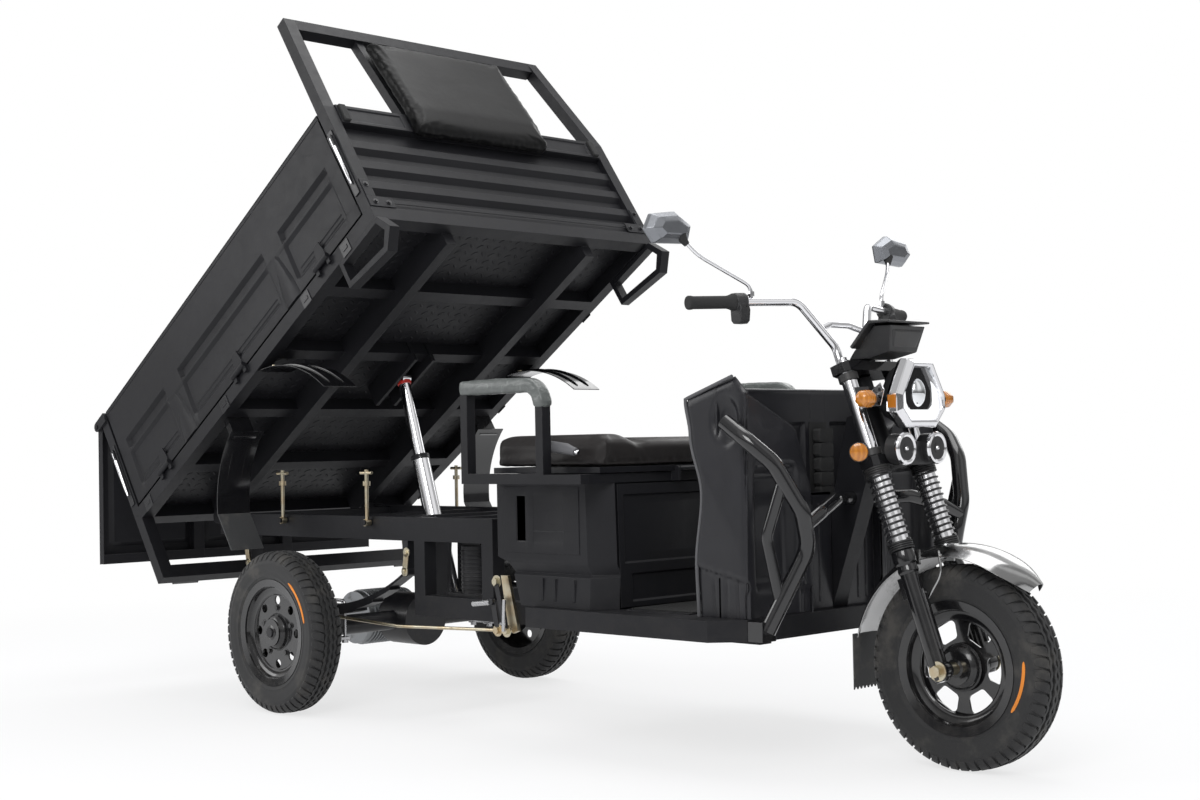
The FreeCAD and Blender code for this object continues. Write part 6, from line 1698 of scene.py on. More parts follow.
    def cowl(self) -> None:
        """Makes the instrument cowl: a wide visor, the body with its front panel and a round dial."""
        s = Shape(self.places.chassis)
        line = [(1.892, 1.030, 0.052), (1.915, 1.052, 0.060), (1.990, 1.114, 0.074), (2.044, 1.112, 0.074),
                (2.026, 1.046, 0.060), (1.962, 1.031, 0.052)]
        s.loft([[(x, side * half, z) for x, z, half in line] for side in (-1, -0.9, 0.9, 1)])
        visor = [(1.925, 1.062), (1.984, 1.127), (2.046, 1.1245), (2.0465, 1.119), (1.988, 1.118),
                 (1.932, 1.056)]
        s.loft([[(x, y, z) for x, z in visor] for y in (-0.092, -0.084, 0.084, 0.092)])
        foot = [(1.868, 1.013), (1.905, 1.013), (1.930, 1.045), (1.890, 1.045)]
        s.loft([[(x, y, z) for x, z in foot] for y in (-0.030, 0.030)])
        panel = (((2.022, 0.056, 1.052), (2.038, 0.066, 1.104)),
                 ((2.031, 0.048, 1.060), (2.0455, 0.058, 1.098)))
        s.loft([[(x0, -y0, z0), (x0, y0, z0), (x1, y1, z1), (x1, -y1, z1)]
                for (x0, y0, z0), (x1, y1, z1) in panel])
        add_piece("instrument_visor", s,
                  Dress("steering", PLASTIC, "black_plastic", bevel=0.0022), ("instrument_cowl",))
        dial = Shape(self.places.chassis @ moved(1.938, 0.0, 1.082) @ turned_about_y(-49.0))
        dial.lathe([(0.0, 0.006), (0.030, 0.006), (0.036, 0.005), (0.038, 0.0), (0.0, 0.0)], 48)
        add_piece("instrument_dial", dial, Dress("steering", PANE, "black_plastic"))

    def mudguard(self) -> None:
        """Shapes the bright crowned front mudguard with its pointed tip and stays."""
        hub = self.places.chassis @ moved(*self.wheel_centre)
        tip_angle, rear_angle = self.guard_arc
        rows = []
        for i in range(33):
            t = i / 32
            angle = math.radians(tip_angle + (rear_angle - tip_angle) * t)
            tip = min(1.0, max(0.0, t / 0.16))
            half = self.guard_half * (0.30 + 0.70 * math.sin(tip * math.pi / 2))
            lift = 0.010 * (1.0 - tip)
            row = []
            for k in range(13):
                f = -1.0 + k / 6.0
                drop = 0.030 * abs(f) ** 2.6
                r = self.guard_radius - 0.001 + lift * 0.2 - drop
                row.append(Vector((r * math.cos(angle), half * f, r * math.sin(angle))))
            rows.append(row)
        s = Shape(hub)
        s.skin(rows, 0.0018)
        for sign in SIDES:
            start = Vector((-0.020, sign * 0.074, 0.290))
            foot = hub.inverted() @ self.places.fork @ Vector((-0.008, sign * 0.082, 0.165))
            elbow = start.lerp(foot, 0.4) + Vector((0.030, sign * 0.004, 0.0))
            s.tube(rounded([start, elbow, foot], 0.03), 0.0035, 10)
            near, far = sorted((sign * 0.072, sign * 0.079))
            s.box((-0.115, near, 0.255), (-0.075, far, 0.292))
        add_piece("crowned_mudguard", s,
                  Dress("steering", PLATED, "chrome_plate", smooth=40.0), ("front_mudguard",))
        flap = Shape(self.places.chassis)
        teeth = [(0.060 - 0.0075 * i, 0.1786 + 0.011 * (i % 2)) for i in range(17)]
        outline = [(-0.060, 0.3226), (-0.050, 0.3228), (0.050, 0.3228), (0.060, 0.3226)] + teeth
        flap.loft([[(x, y, z) for y, z in outline] for x in (1.8889, 1.8929)])
        add_piece("serrated_flap", flap, Dress("steering", FLAP, "flap_rubber"), ("front_flap",))

    def mirrors(self) -> None:
        """Makes the faceted mirror heads, their panes, rods and boots."""
        heads, panes, rods, boots = (Shape(self.places.chassis) for _ in range(4))
        outline = ((-0.088, -0.006), (-0.066, 0.034), (0.018, 0.046), (0.072, 0.014), (0.060, -0.034),
                   (-0.056, -0.040))
        head = ((1.6405, 0.97, 0.97), (1.646, 1.0, 1.0), (1.656, 0.98, 0.98), (1.672, 0.86, 0.72),
                (1.680, 0.60, 0.40))
        pane = ((1.6396, 0.90, 0.90), (1.6415, 0.90, 0.90))
        nut = [(0.0, 0.0), (0.0095, 0.0), (0.0095, 0.012), (0.0, 0.012)]
        for sign in SIDES:
            for shape, stations in ((heads, head), (panes, pane)):
                shape.loft([[(x, sign * (self.mirror_y - a * wide), self.mirror_z + b * tall)
                             for a, b in outline] for x, wide, tall in stations])
            stem = rounded([(1.758, sign * 0.280, 1.186), (1.758, sign * 0.280, 1.222),
                            (1.690, sign * 0.405, 1.300), (1.668, sign * 0.440, 1.345)], 0.025)
            rods.tube(stem, 0.0052, 12)
            rods.lathe(nut, 6, place=moved(1.758, sign * 0.280, 1.196))
            boots.tube([(1.676, sign * 0.428, 1.326), (1.671, sign * 0.436, 1.338),
                        (1.668, sign * 0.441, 1.350)], lambda t: 0.0075 + 0.007 * t, 16)
        add_piece("mirror_heads", heads,
                  Dress("steering", SMOKE, "black_plastic", smooth=20.0, bevel=0.002), ("mirrors",))
        add_piece("mirror_panes", panes, Dress("steering", SILVERED, "chrome_plate"))
        add_piece("mirror_rods", rods, Dress("steering", CHROME, "chrome_plate", smooth=40.0))
        add_piece("mirror_boots", boots, Dress("steering", GRIP, "grip_rubber", smooth=40.0))

    def hand_controls(self) -> None:
        """Makes the smooth flared grips, the switch housings and their small buttons."""
        grips = Shape()
        pods = Shape()
        keys = Shape()
        grip = [(0.0, -0.0045), (0.0165, -0.0045), (0.0180, -0.002), (0.0180, 0.004), (0.0166, 0.012),
                (0.0166, 0.108), (0.0185, 0.116), (0.0215, 0.1235), (0.0225, 0.1255), (0.0225, 0.1285),
                (0.0, 0.1285)]
        clamp = [(0.0, -0.017), (0.0215, -0.017), (0.0235, -0.013), (0.0235, 0.013), (0.0215, 0.017),
                 (0.0, 0.017)]
        housing = ((-0.013, 0.020, 0.017, -0.008), (-0.014, 0.022, 0.019, -0.020),
                   (-0.013, 0.020, 0.018, -0.048), (-0.009, 0.015, 0.014, -0.056))
        button = [(0.0, 0.0), (0.0065, 0.0), (0.0060, 0.004), (0.0, 0.0045)]
        for sign in SIDES:
            end, toward = (Vector((x, -sign * y, z)) for x, y, z in (self.grip_end, self.grip_toward))
            along = (toward - end).normalized()
            turn = along.to_track_quat("Z", "X").to_matrix().to_4x4()
            grips.lathe(grip, 28, place=self.places.chassis @ Matrix.Translation(end) @ turn)
            base = self.places.chassis @ Matrix.Translation(end + along * self.pod_from_end)
            pods.lathe(clamp, 28, place=base @ turn)
            pods.loft([[(x0, -half, z), (x1, -half, z), (x1, half, z), (x0, half, z)]
                       for x0, x1, half, z in housing], place=base)
            keys.box((-0.021, -0.007, 0.002), (-0.017, 0.007, 0.010), base)
            keys.box((-0.0165, -0.010, -0.034), (-0.0125, 0.010, -0.026), base)
            keys.lathe(button, 16, place=base @ moved(-0.0135, 0.0, -0.044) @ turned_about_y(-90.0))
        add_piece("flared_grips", grips,
                  Dress("steering", GRIP, "grip_rubber", smooth=30.0), ("hand_controls",))
        add_piece("switch_housings", pods,
                  Dress("steering", PLASTIC, "black_plastic", smooth=30.0, bevel=0.0018))
        add_piece("switch_keys", keys, Dress("steering", TRIM, "black_plastic", smooth=30.0, bevel=0.0006))


@dataclass
class LegShield:
    """The moulded leg shield: wings, pods, recessed middle sheet, wheel arch and edge trim."""

    places: Places
    half: float = 0.412
    back: float = 1.735
    nose: float = 1.836
    floor: float = 0.384
    top: float = 0.957
    outer: float = 0.404
    pod_inner: float = 0.150
    arch_front: float = 1.806
    arch_top: float = 0.688
    slot_half: float = 0.032
    slot_top: float = 0.867
    rear_line: Sequence[tuple[float, float]] = (
        (0.384, 1.672), (0.514, 1.668), (0.694, 1.690), (0.844, 1.655), (0.935, 1.640))
    top_line: Sequence[tuple[float, float]] = ((1.640, 0.935), (1.800, 0.988), (1.836, 0.948))
    pod_line: Sequence[tuple[float, float]] = (
        (0.384, 0.150), (0.698, 0.150), (0.858, 0.210), (0.946, 0.399))

    def build(self) -> None:
        """Makes the shield's pieces."""
        s = Shape(self.places.chassis)
        for sign in SIDES:
            self._wing(s, sign)
            self._pod(s, sign)
        self._middle(s)
        add_piece("leg_shield_moulding", s,
                  Dress("chassis", SHIELD, "shield_paint", smooth=40.0), ("leg_shield",))
        self._trim()

    def _place(self, up: float, ahead: float) -> tuple[float, float]:
        """Place on a wing for shares of the way up and ahead."""
        high, start = self.rear_line[-1]
        rear = along_line(self.rear_line, self.floor + up * (high - self.floor))
        top = along_line(self.top_line, start + ahead * (self.nose - start), False)
        return rear + ahead * (self.nose - rear), self.floor + up * (top - self.floor)

    def _relief(self, x: float, z: float) -> float:
        """Depth of a wing's moulded face: upper facet, dent at the bar's mount, grooved skirt."""
        facet = 0.050 * max(0.0, (x - 1.668) * 0.87 + (z - 0.800) * 0.50) * ease(z, 0.50, 0.56)
        dent = 0.015 * ease(0.048 - math.hypot(x - 1.770, (z - 0.880) * 0.7), 0.0, 0.022)
        skirt = 0.008 * ease(0.514 - 0.22 * (x - 1.67) - z, 0.0, 0.008)
        lines = sum(ease(0.005 - abs(x - g), 0.0, 0.004) for g in (1.722, 1.762, 1.800))
        return facet + dent + skirt + 0.003 * lines * ease(0.480 - z, 0.0, 0.008)

    def _wing(self, s: Shape, sign: int) -> None:
        """Adds one side wing."""
        rows = []
        for r in range(65):
            up = r / 64
            row = []
            for c in range(33):
                ahead = c / 32
                x, z = self._place(up, ahead)
                roll = 0.007 * max(0.0, 1.0 - ahead / 0.05) ** 2 + 0.006 * max(0.0, ahead * 10 - 9) ** 2
                roll += 0.006 * max(0.0, (up - 0.97) / 0.03) ** 2
                row.append(Vector((x, sign * (self.half - self._relief(x, z) - roll), z)))
            rows.append(row)
        s.skin(rows, -sign * 0.004)

    def _pod(self, s: Shape, sign: int) -> None:
        """Adds one front pod: its hollowed face and its inner wall."""
        face = []
        wall = []
        top = self.pod_line[-1][0]
        for r in range(49):
            z = self.floor + (top - self.floor) * r / 48
            inner = along_line(self.pod_line, z, False)
            line = []
            for c in range(33):
                y = inner + (self.outer - inner) * c / 32
                hollow = ease(min(y - 0.200, 0.378 - y), 0.0, 0.030)
                hollow *= ease(min(z - 0.440, 0.770 - z), 0.0, 0.035)
                ledge = 0.006 * ease(0.455 - z, 0.0, 0.006)
                groove = 0.004 * sum(ease(0.005 - abs(y - g), 0.0, 0.004) for g in (0.176, 0.192))
                roll = 0.004 * max(0.0, c / 3.2 - 9) ** 2
                x = self.nose - 0.034 * hollow - ledge - groove * ease(0.66 - z, 0.0, 0.02) - roll
                line.append(Vector((x, sign * y, z)))
            face.append(line)
            wall.append([Vector((x, sign * inner, z)) for x in (self.back + 0.004, 1.77, self.nose - 0.001)])
        s.skin(face, sign * 0.005)
        s.skin(wall, sign * 0.004)

    def _middle(self, s: Shape) -> None:
        """Adds the recessed sheet between the pods and the wheel arch."""
        front = self.back + 0.008

        def sheet(y: float, z: float, d: float) -> Point:
            """A point of the middle sheet."""
            return (front - d, y, z)

        for sign in SIDES:
            edges = sorted((sign * self.slot_half, sign * self.outer))
            hollow = sorted((sign * 0.052, sign * 0.225))
            field_low = Pressing(hollow[0], hollow[1], 0.700, 0.874, 0.012, 0.010)
            press_panel(s, (edges[0], edges[1]), (self.floor, self.top), (field_low,), sheet, 0.005)
            inner, outer = sign * self.slot_half, sign * self.pod_inner
            s.box((self.arch_front - 0.006, inner, self.floor), (self.arch_front, outer, self.arch_top))
            s.box((front, inner, self.arch_top - 0.006), (self.arch_front, outer, self.arch_top))
            for y in (0.078, 0.112):
                s.box((self.arch_front - 0.001, sign * y, self.floor + 0.02),
                      (self.arch_front + 0.003, sign * (y + 0.007), self.arch_top - 0.03))
        s.box((self.back + 0.003, -self.slot_half, self.slot_top), (front, self.slot_half, self.top))
        s.tube([(self.back + 0.003, y, self.top - 0.003) for y in (-self.outer, 0.0, self.outer)], 0.0065, 12)

    def _trim(self) -> None:
        """Runs the pale edge trim round each wing and closes the neck slot."""
        trim = Shape(self.places.chassis)
        for sign in SIDES:
            path = [self._place(r / 40, 0.0) for r in range(41)]
            path += [self._place(1.0, c / 16) for c in range(1, 14)]
            trim.tube([(x - 0.001, sign * (self.half - 0.0055), z) for x, z in path], 0.0048, 10)
        add_piece("leg_shield_trim", trim, Dress("chassis", TRIM, "shield_paint", smooth=50.0))
        cover = Shape(self.places.chassis)
        cover.box((self.back + 0.001, -self.slot_half - 0.004, self.floor),
                  (self.back + 0.010, self.slot_half + 0.004, self.slot_top + 0.006))
        pleat = ((0.004, 0.026, 0.0), (0.0, 0.030, 0.006), (0.0, 0.030, 0.030), (0.004, 0.026, 0.036))
        for i in range(12):
            z = self.floor + 0.012 + i * 0.0385
            rings = []
            for off, half, rise in pleat:
                line = round_outline((self.back + 0.012 + off, -half), (self.back + 0.040, half), 0.006, 3)
                rings.append([(x, y, z + rise) for x, y in line])
            cover.loft(rings)
        add_piece("neck_gaiter", cover, Dress("chassis", GRIP, "grip_rubber"))


@dataclass
class SeatBox:
    """The seat box shell with cut front corners, recessed front and ribbed skirt."""

    places: Places
    rear: float = 0.955
    front: float = 1.366
    half: float = 0.450
    top: float = 0.722
    floor: float = 0.384
    wall: float = 0.006
    kick: float = 0.008
    corner: float = 0.056
    step: float = 0.008
    tail_line: Sequence[tuple[float, float]] = ((0.384, 0.090), (0.502, 0.045), (0.517, 0.0), (0.722, 0.0))
    side_line: Sequence[tuple[float, float]] = (
        (0.384, 0.003), (0.468, 0.008), (0.476, 0.016), (0.502, 0.0), (0.722, 0.0))

    def ahead(self, z: float) -> float:
        """The front face's place at a height."""
        return self.front + self.kick * (self.top - z) / (self.top - self.floor)

    def _ring(self, z: float, inset: float) -> list[Vector]:
        """Outline of the box at a height, drawn in by an inset."""
        low = self.rear + along_line(self.tail_line, z, False) + inset
        high = self.ahead(z) - inset
        side = self.half - along_line(self.side_line, z, False)
        c = side - self.corner
        line = [(low, -(side - inset)), (high - self.corner, -(side - inset)), (high, -c),
                (high - self.step, -c + self.step), (high - self.step, c - self.step), (high, c),
                (high - self.corner, side - inset), (low, side - inset)]
        return [Vector((x, y, z)) for x, y in line]

    def build(self) -> None:
        """Makes the box's pieces."""
        levels = (0.384, 0.468, 0.476, 0.502, 0.517, 0.600, 0.722)
        s = Shape(self.places.chassis)
        outer = [self._ring(z, 0.0) for z in levels]
        inner = [self._ring(z, self.wall) for z in reversed(levels[1:])]
        s.loft(outer + inner + [[p + Vector((0, 0, self.wall)) for p in self._ring(self.floor, self.wall)]])
        panel = self.half - self.corner - self.step - 0.001
        fields = (Pressing(-0.365, 0.365, 0.505, 0.690, 0.0055, 0.005),
                  Pressing(-0.340, 0.340, 0.402, 0.478, 0.0055, 0.005),
                  Pressing(-0.120, 0.120, 0.530, 0.668, 0.0012, 0.004))

        def face(y: float, z: float, d: float) -> Point:
            """A point of the front panel."""
            return (self.ahead(z) - d, y, z)

        press_panel(s, (-panel, panel), (self.floor + 0.004, self.top - 0.004), fields, face, 0.0022)
        for sign in SIDES:
            self._side(s, sign)
        add_piece("seat_box_shell", s, Dress("chassis", BODY, "body_paint", bevel=0.0025), ("seat_box",))

    def _side(self, s: Shape, sign: int) -> None:
        """Adds the side's raised panel, its engraved lines and the skirt's ribs."""
        def face(x: float, z: float, d: float) -> Point:
            """A point of the side panel."""
            return (x, sign * (self.half + 0.002 - d), z)

        fields = (Pressing(1.035, 1.075, 0.560, 0.690, 0.002, 0.003),
                  Pressing(1.105, 1.225, 0.590, 0.594, 0.0015, 0.001),
                  Pressing(1.105, 1.225, 0.560, 0.690, 0.001, 0.003))
        press_panel(s, (0.985, 1.285), (0.530, 0.712), fields, face, 0.002)
        for x in (1.125, 1.175, 1.250):
            s.box((x, sign * 0.438, 0.402), (x + 0.010, sign * 0.4475, 0.462))


@dataclass
class Cushion:
    """A padded piece that a short cloth run swells before its seams pucker."""

    name: str
    node: str
    dress: Dress
    cap: float
    voxel: float
    pucker: float = 0.0014
    fill: float = 0.7
    frames: int = 20
    pressure: float = 4.0
    coarse: float = 60.0
    fine: float = 140.0

    def make(self, shape: Shape, held: Callable[[Vector], bool], seam: Callable[[Vector], float]) -> None:
        """Swells a shape, puckers its seams and adds the piece.

        Args:
            shape: the slack form, a little smaller than the pad.
            held: says which points stay on what carries the pad.
            seam: how near a point is to a seam, from 0 to 1.
        """
        mesh = shape.mesh(self.name)
        mesh = self._swell(mesh, held)
        for vertex in mesh.vertices:
            near = seam(vertex.co)
            if near > 0.0:
                wave = noise.noise(vertex.co * self.coarse) + 0.5 * noise.noise(vertex.co * self.fine)
                vertex.co = vertex.co + vertex.normal * (self.pucker * near * wave)
        made = add_piece(self.name, mesh, self.dress, (self.node,))

    def _swell(self, mesh: bpy.types.Mesh, held: Callable[[Vector], bool]) -> bpy.types.Mesh:
        """Runs cloth with pressure over an even remesh and caps each point's move.

        Args:
            mesh: the slack form.
            held: says which points stay.

        Returns:
            The swelled mesh.
        """
        scene = bpy.context.scene
        guide = bpy.data.objects.new("guide", mesh)
        scene.collection.objects.link(guide)
        grid = guide.modifiers.new("grid", "REMESH")
        grid.mode = "VOXEL"
        grid.voxel_size = self.voxel
        graph = bpy.context.evaluated_depsgraph_get()
        plain = bpy.data.meshes.new_from_object(guide.evaluated_get(graph), depsgraph=graph)
        guide.modifiers.clear()
        guide.data = plain
        start = [v.co.copy() for v in plain.vertices]
        group = guide.vertex_groups.new(name="held")
        group.add([i for i, p in enumerate(start) if held(p)], 1.0, "REPLACE")
        cloth = guide.modifiers.new("cloth", "CLOTH")
        cloth.settings.use_pressure = True
        cloth.settings.uniform_pressure_force = self.pressure
        cloth.settings.vertex_group_mass = "held"
        cloth.settings.effector_weights.gravity = 0.0
        cloth.settings.quality = 4
        cloth.point_cache.frame_start = 1
        cloth.point_cache.frame_end = self.frames
        for frame in range(1, self.frames + 1):
            scene.frame_set(frame)
        graph = bpy.context.evaluated_depsgraph_get()
        soft = bpy.data.meshes.new_from_object(guide.evaluated_get(graph), depsgraph=graph)
        guide.modifiers.clear()
        bpy.data.objects.remove(guide)
        scene.frame_set(1)
        for vertex, origin in zip(soft.vertices, start):
            move = vertex.co - origin
            if move.length > self.cap:
                vertex.co = origin + move * (self.cap / move.length)
        LOG.info("cushion %s: %d points swelled", self.name, len(start))
        return soft


@dataclass
class SoftGoods:
    """Seat pad, headboard pad and the foam wraps of the armrests."""

    places: Places
    seat_low: float = 0.768
    seat_high: float = 0.835
    seat_half: float = 0.462
    seat_rear: float = 0.950
    seat_front: float = 1.384
    fold_y: float = 0.300
    pad_half: float = 0.277
    pad_low: float = 0.352
    pad_high: float = 0.778
    pad_bend: float = 0.450
    pad_slope: float = 0.109
    wrap_y: float = 0.530
    wrap_z: float = 0.988
    wrap_rear: float = 0.911
    wrap_length: float = 0.365
    bend_x: float = 1.180
    bend_radius: float = 0.056

    def build(self) -> None:
        """Makes the padded pieces."""
        self.seat()
        self.headboard()
        self.wraps()

    @staticmethod
    def _end(place: float, half: float, radius: float) -> float:
        """How far an outline draws in near a rounded end."""
        q = min(1.0, max(0.0, (abs(place) - half + radius) / radius))
        return radius * (1.0 - math.sqrt(1.0 - q * q))

    def seat(self) -> None:
        """Shapes the seat pad with its raised bolster ends."""
        s = Shape(self.places.chassis)
        rings = []
        for i in range(49):
            y = -self.seat_half + 2 * self.seat_half * i / 48
            pull = self._end(y, self.seat_half, 0.026) * 0.92
            raised = 0.010 * ease(abs(y), self.fold_y, 0.370)
            raised -= 0.007 * math.exp(-((abs(y) - self.fold_y) / 0.018) ** 2)
            line = round_outline((self.seat_rear + pull, self.seat_low + pull * 0.4),
                                 (self.seat_front - pull, self.seat_high + raised - pull), 0.022, 6)
            rings.append([(x, y, z) for x, z in line])
        s.loft(rings)
        low = self.seat_low + 0.005

        def seam(p: Vector) -> float:
            """Nearness to the lower edge and the bolster's fold."""
            edge = 1.0 - ease(p.z - self.seat_low, 0.008, 0.034)
            fold = math.exp(-((abs(p.y) - self.fold_y) / 0.030) ** 2)
            return min(1.0, edge + 0.8 * fold + 0.06)

        dress = Dress("seat", COVER, "seat_cover", smooth=180.0, level=1)
        Cushion("seat_cushion", "seat_pad", dress, 0.008, 0.0075, 0.0022).make(s, lambda p: p.z < low, seam)

    def headboard(self) -> None:
        """Shapes the leaning headboard pad."""
        s = Shape(self.places.bed)
        rings = []
        for i in range(33):
            w = self.pad_low + (self.pad_high - self.pad_low) * i / 32
            pull = self._end(w - 0.565, 0.213, 0.014)
            rear = 1.641 - self.pad_slope * max(0.0, w - self.pad_bend) + pull * 0.3
            half = self.pad_half - pull
            line = round_outline((rear, -half), (rear + 0.038 - pull * 1.3, half), 0.010, 4)
            rings.append([(u, y, w) for u, y in line])
        s.loft(rings)
        back = self.places.bed.inverted()

        def held(p: Vector) -> bool:
            """Whether a point lies on the pad's back."""
            q = back @ p
            return q.x < 1.6445 - self.pad_slope * max(0.0, q.z - self.pad_bend)

        def seam(p: Vector) -> float:
            """Nearness to the pad's edges."""
            q = back @ p
            inside = min(self.pad_half - abs(q.y), q.z - self.pad_low, self.pad_high - q.z)
            return 0.04 + 0.96 * (1.0 - ease(inside, 0.004, 0.030))

        dress = Dress("bed", PADDING, "seat_cover", smooth=180.0, level=1)
        Cushion("headboard_cushion", "headboard_pad", dress, 0.006, 0.006, 0.0030).make(s, held, seam)

    def _bar(self, along: float) -> tuple[Vector, Vector]:
        """Follows the armrest bar and its front bend.

        Args:
            along: the length from the wrap's rear end.

        Returns:
            The bar's middle there and the way outwards.
        """
        straight = self.bend_x - self.wrap_rear
        if along < straight:
            return Vector((self.wrap_rear + along, 0.0, self.wrap_z)), Vector((0.0, 0.0, 1.0))
        turn = min((along - straight) / self.bend_radius, math.pi / 2)
        out = Vector((math.sin(turn), 0.0, math.cos(turn)))
        below = max(0.0, along - straight - self.bend_radius * math.pi / 2)
        centre = Vector((self.bend_x, 0.0, self.wrap_z - self.bend_radius - below))
        return centre + out * self.bend_radius, out

    def wraps(self) -> None:
        """Shapes the grey foam wraps over both armrest bars."""
        s = Shape(self.places.chassis)
        for sign in SIDES:
            rings = []
            for i in range(61):
                along = self.wrap_length * i / 60
                middle, out = self._bar(along)
                pull = self._end(along - self.wrap_length / 2, self.wrap_length / 2, 0.012)
                line = round_outline((sign * self.wrap_y - 0.0215 + pull, pull - 0.0195),
                                     (sign * self.wrap_y + 0.0215 - pull, 0.0195 - pull), 0.0085, 4)
                rings.append([middle + Vector((0.0, y, 0.0)) + out * h for y, h in line])
            s.loft(rings)
        dress = Dress("chassis", FILM, "grey_wrap", smooth=180.0, level=1)
        Cushion("armrest_wraps", "armrest_pads", dress, 0.003, 0.004, 0.0016, 0.5).make(
            s, lambda p: p.z < self.wrap_z - 0.018, lambda p: 0.7)


@dataclass
class BedTrim:
    """Headboard relief, bumpers, latches, bolts, mudguard ribs and lamp bezels of the bed."""

    places: Places
    front: float = 1.639
    axle_z: float = 0.255

    def build(self) -> None:
        """Makes the bed's small pieces."""
        self.headboard()
        self.latches()
        self.guards()

    def headboard(self) -> None:
        """Lays the pressed band, the base line, the corner plates and the rubber bumpers."""
        s = Shape(self.places.bed)

        def face(y: float, w: float, d: float) -> Point:
            """A point of the band's front."""
            return (self.front + 0.0042 - d, y, w)

        fields = [Pressing(-0.505, -0.300, 0.388, 0.438, 0.0035, 0.003),
                  Pressing(0.300, 0.505, 0.388, 0.438, 0.0035, 0.003)]
        press_panel(s, (-0.546, 0.546), (0.377, 0.449), fields, face, 0.004)
        s.box((self.front - 0.001, -0.546, 0.0625), (self.front + 0.0015, 0.546, 0.0650))
        for sign in SIDES:
            s.box((self.front - 0.001, sign * 0.492, 0.046), (self.front + 0.0025, sign * 0.586, 0.084))
            s.box((self.front - 0.001, sign * 0.552, 0.084), (self.front + 0.0025, sign * 0.586, 0.150))
        add_piece("headboard_band", s, Dress("bed", BODY, "body_paint", bevel=0.001))
        pads = Shape(self.places.bed)
        for sign in SIDES:
            pads.box((self.front - 0.001, sign * 0.514, 0.382), (self.front + 0.014, sign * 0.540, 0.446))
        add_piece("headboard_bumpers", pads, Dress("bed", GRIP, "grip_rubber", bevel=0.004, steps=3))
        spots = [((self.front + 0.0025, sign * y, w), (1, 0, 0)) for sign in SIDES
                 for y, w in ((0.512, 0.064), (0.560, 0.064), (0.568, 0.130))]
        add_bolts("headboard_bolts", spots, M6, self.places.bed, "bed", FRAME, "frame_paint")

    def latches(self) -> None:
        """Sets a black keeper and a bright pointed handle on each corner post, and plates on the rails."""
        keepers = Shape(self.places.bed)
        handles = Shape(self.places.bed)
        section = ((-1, -1), (1, -1), (1, 0.4), (0, 1), (-1, 0.4))
        line = ((-0.020, 0.006, 0.003), (-0.030, 0.009, 0.004), (-0.110, 0.008, 0.004),
                (-0.170, 0.0065, 0.0035), (-0.205, 0.0030, 0.0020))
        for sign in SIDES:
            for u, top in ((1.617, 0.352), (0.019, 0.310)):
                keepers.box((u - 0.012, sign * 0.5895, top - 0.245), (u + 0.012, sign * 0.5940, top))
                keepers.box((u - 0.009, sign * 0.5895, top - 0.060), (u + 0.009, sign * 0.6030, top - 0.018))
                handles.loft([[(u + x * wide, sign * (0.5995 + y * thick), top + w) for x, y in section]
                              for w, wide, thick in line])
        add_piece("latch_keepers", keepers, Dress("bed", FRAME, "frame_paint", bevel=0.0012))
        add_piece("latch_handles", handles, Dress("bed", CHROME, "chrome_plate", bevel=0.0010))
        plates = Shape(self.places.bed)
        for u in (0.085, 0.660, 1.210, 1.455):
            for sign in SIDES:
                plates.box((u, sign * 0.5895, -0.004), (u + 0.046, sign * 0.5925, 0.040))
                plates.box((u + 0.010, sign * 0.5915, 0.012), (u + 0.036, sign * 0.5945, 0.024))
        add_piece("rail_plates", plates, Dress("bed", FRAME, "frame_paint", bevel=0.001))

    def guards(self) -> None:
        """Raises two ribs on each rear mudguard, bolts its ends and frames the tail lamps."""
        level = self.places.bed @ moved(0.745, 0.0, -0.663)
        s = Shape(level)
        spots = []
        for sign in SIDES:
            for radius, first, last in ((0.3545, 107.0, 149.0), (0.4345, 25.0, 64.0)):
                for y in (0.497, 0.549):
                    arc = [math.radians(first + (last - first) * i / 14) for i in range(15)]
                    arc.append(math.radians(last + 1.6))
                    line = [(radius * math.cos(a), sign * y, self.axle_z + radius * math.sin(a)) for a in arc]
                    s.tube(line[:-1], lambda t: 0.0015 + 0.0035 * math.sin(math.pi * t) ** 0.3, 8)
                    spots.append((line[-1], (math.cos(arc[-1]), 0, math.sin(arc[-1]))))
        add_piece("mudguard_ribs", s, Dress("bed", GLOSS, "frame_paint", smooth=60.0))
        add_bolts("mudguard_bolts", spots, M8, level, "bed", ZINC)
        lamps = Shape(self.places.bed)
        low, high = -0.2375, -0.1945
        frames = [(0.4285, 0.5265, low, -0.2330), (0.4285, 0.5265, -0.1990, high)]
        frames += [(y, y + 0.003, low, high) for y in (0.4285, 0.4770, 0.5235)]
        for sign in SIDES:
            for y0, y1, z0, z1 in frames:
                lamps.box((-0.0145, sign * y0, z0), (-0.002, sign * y1, z1))
        add_piece("tail_lamp_bezels", lamps, Dress("bed", PLASTIC, "black_plastic", bevel=0.0008))


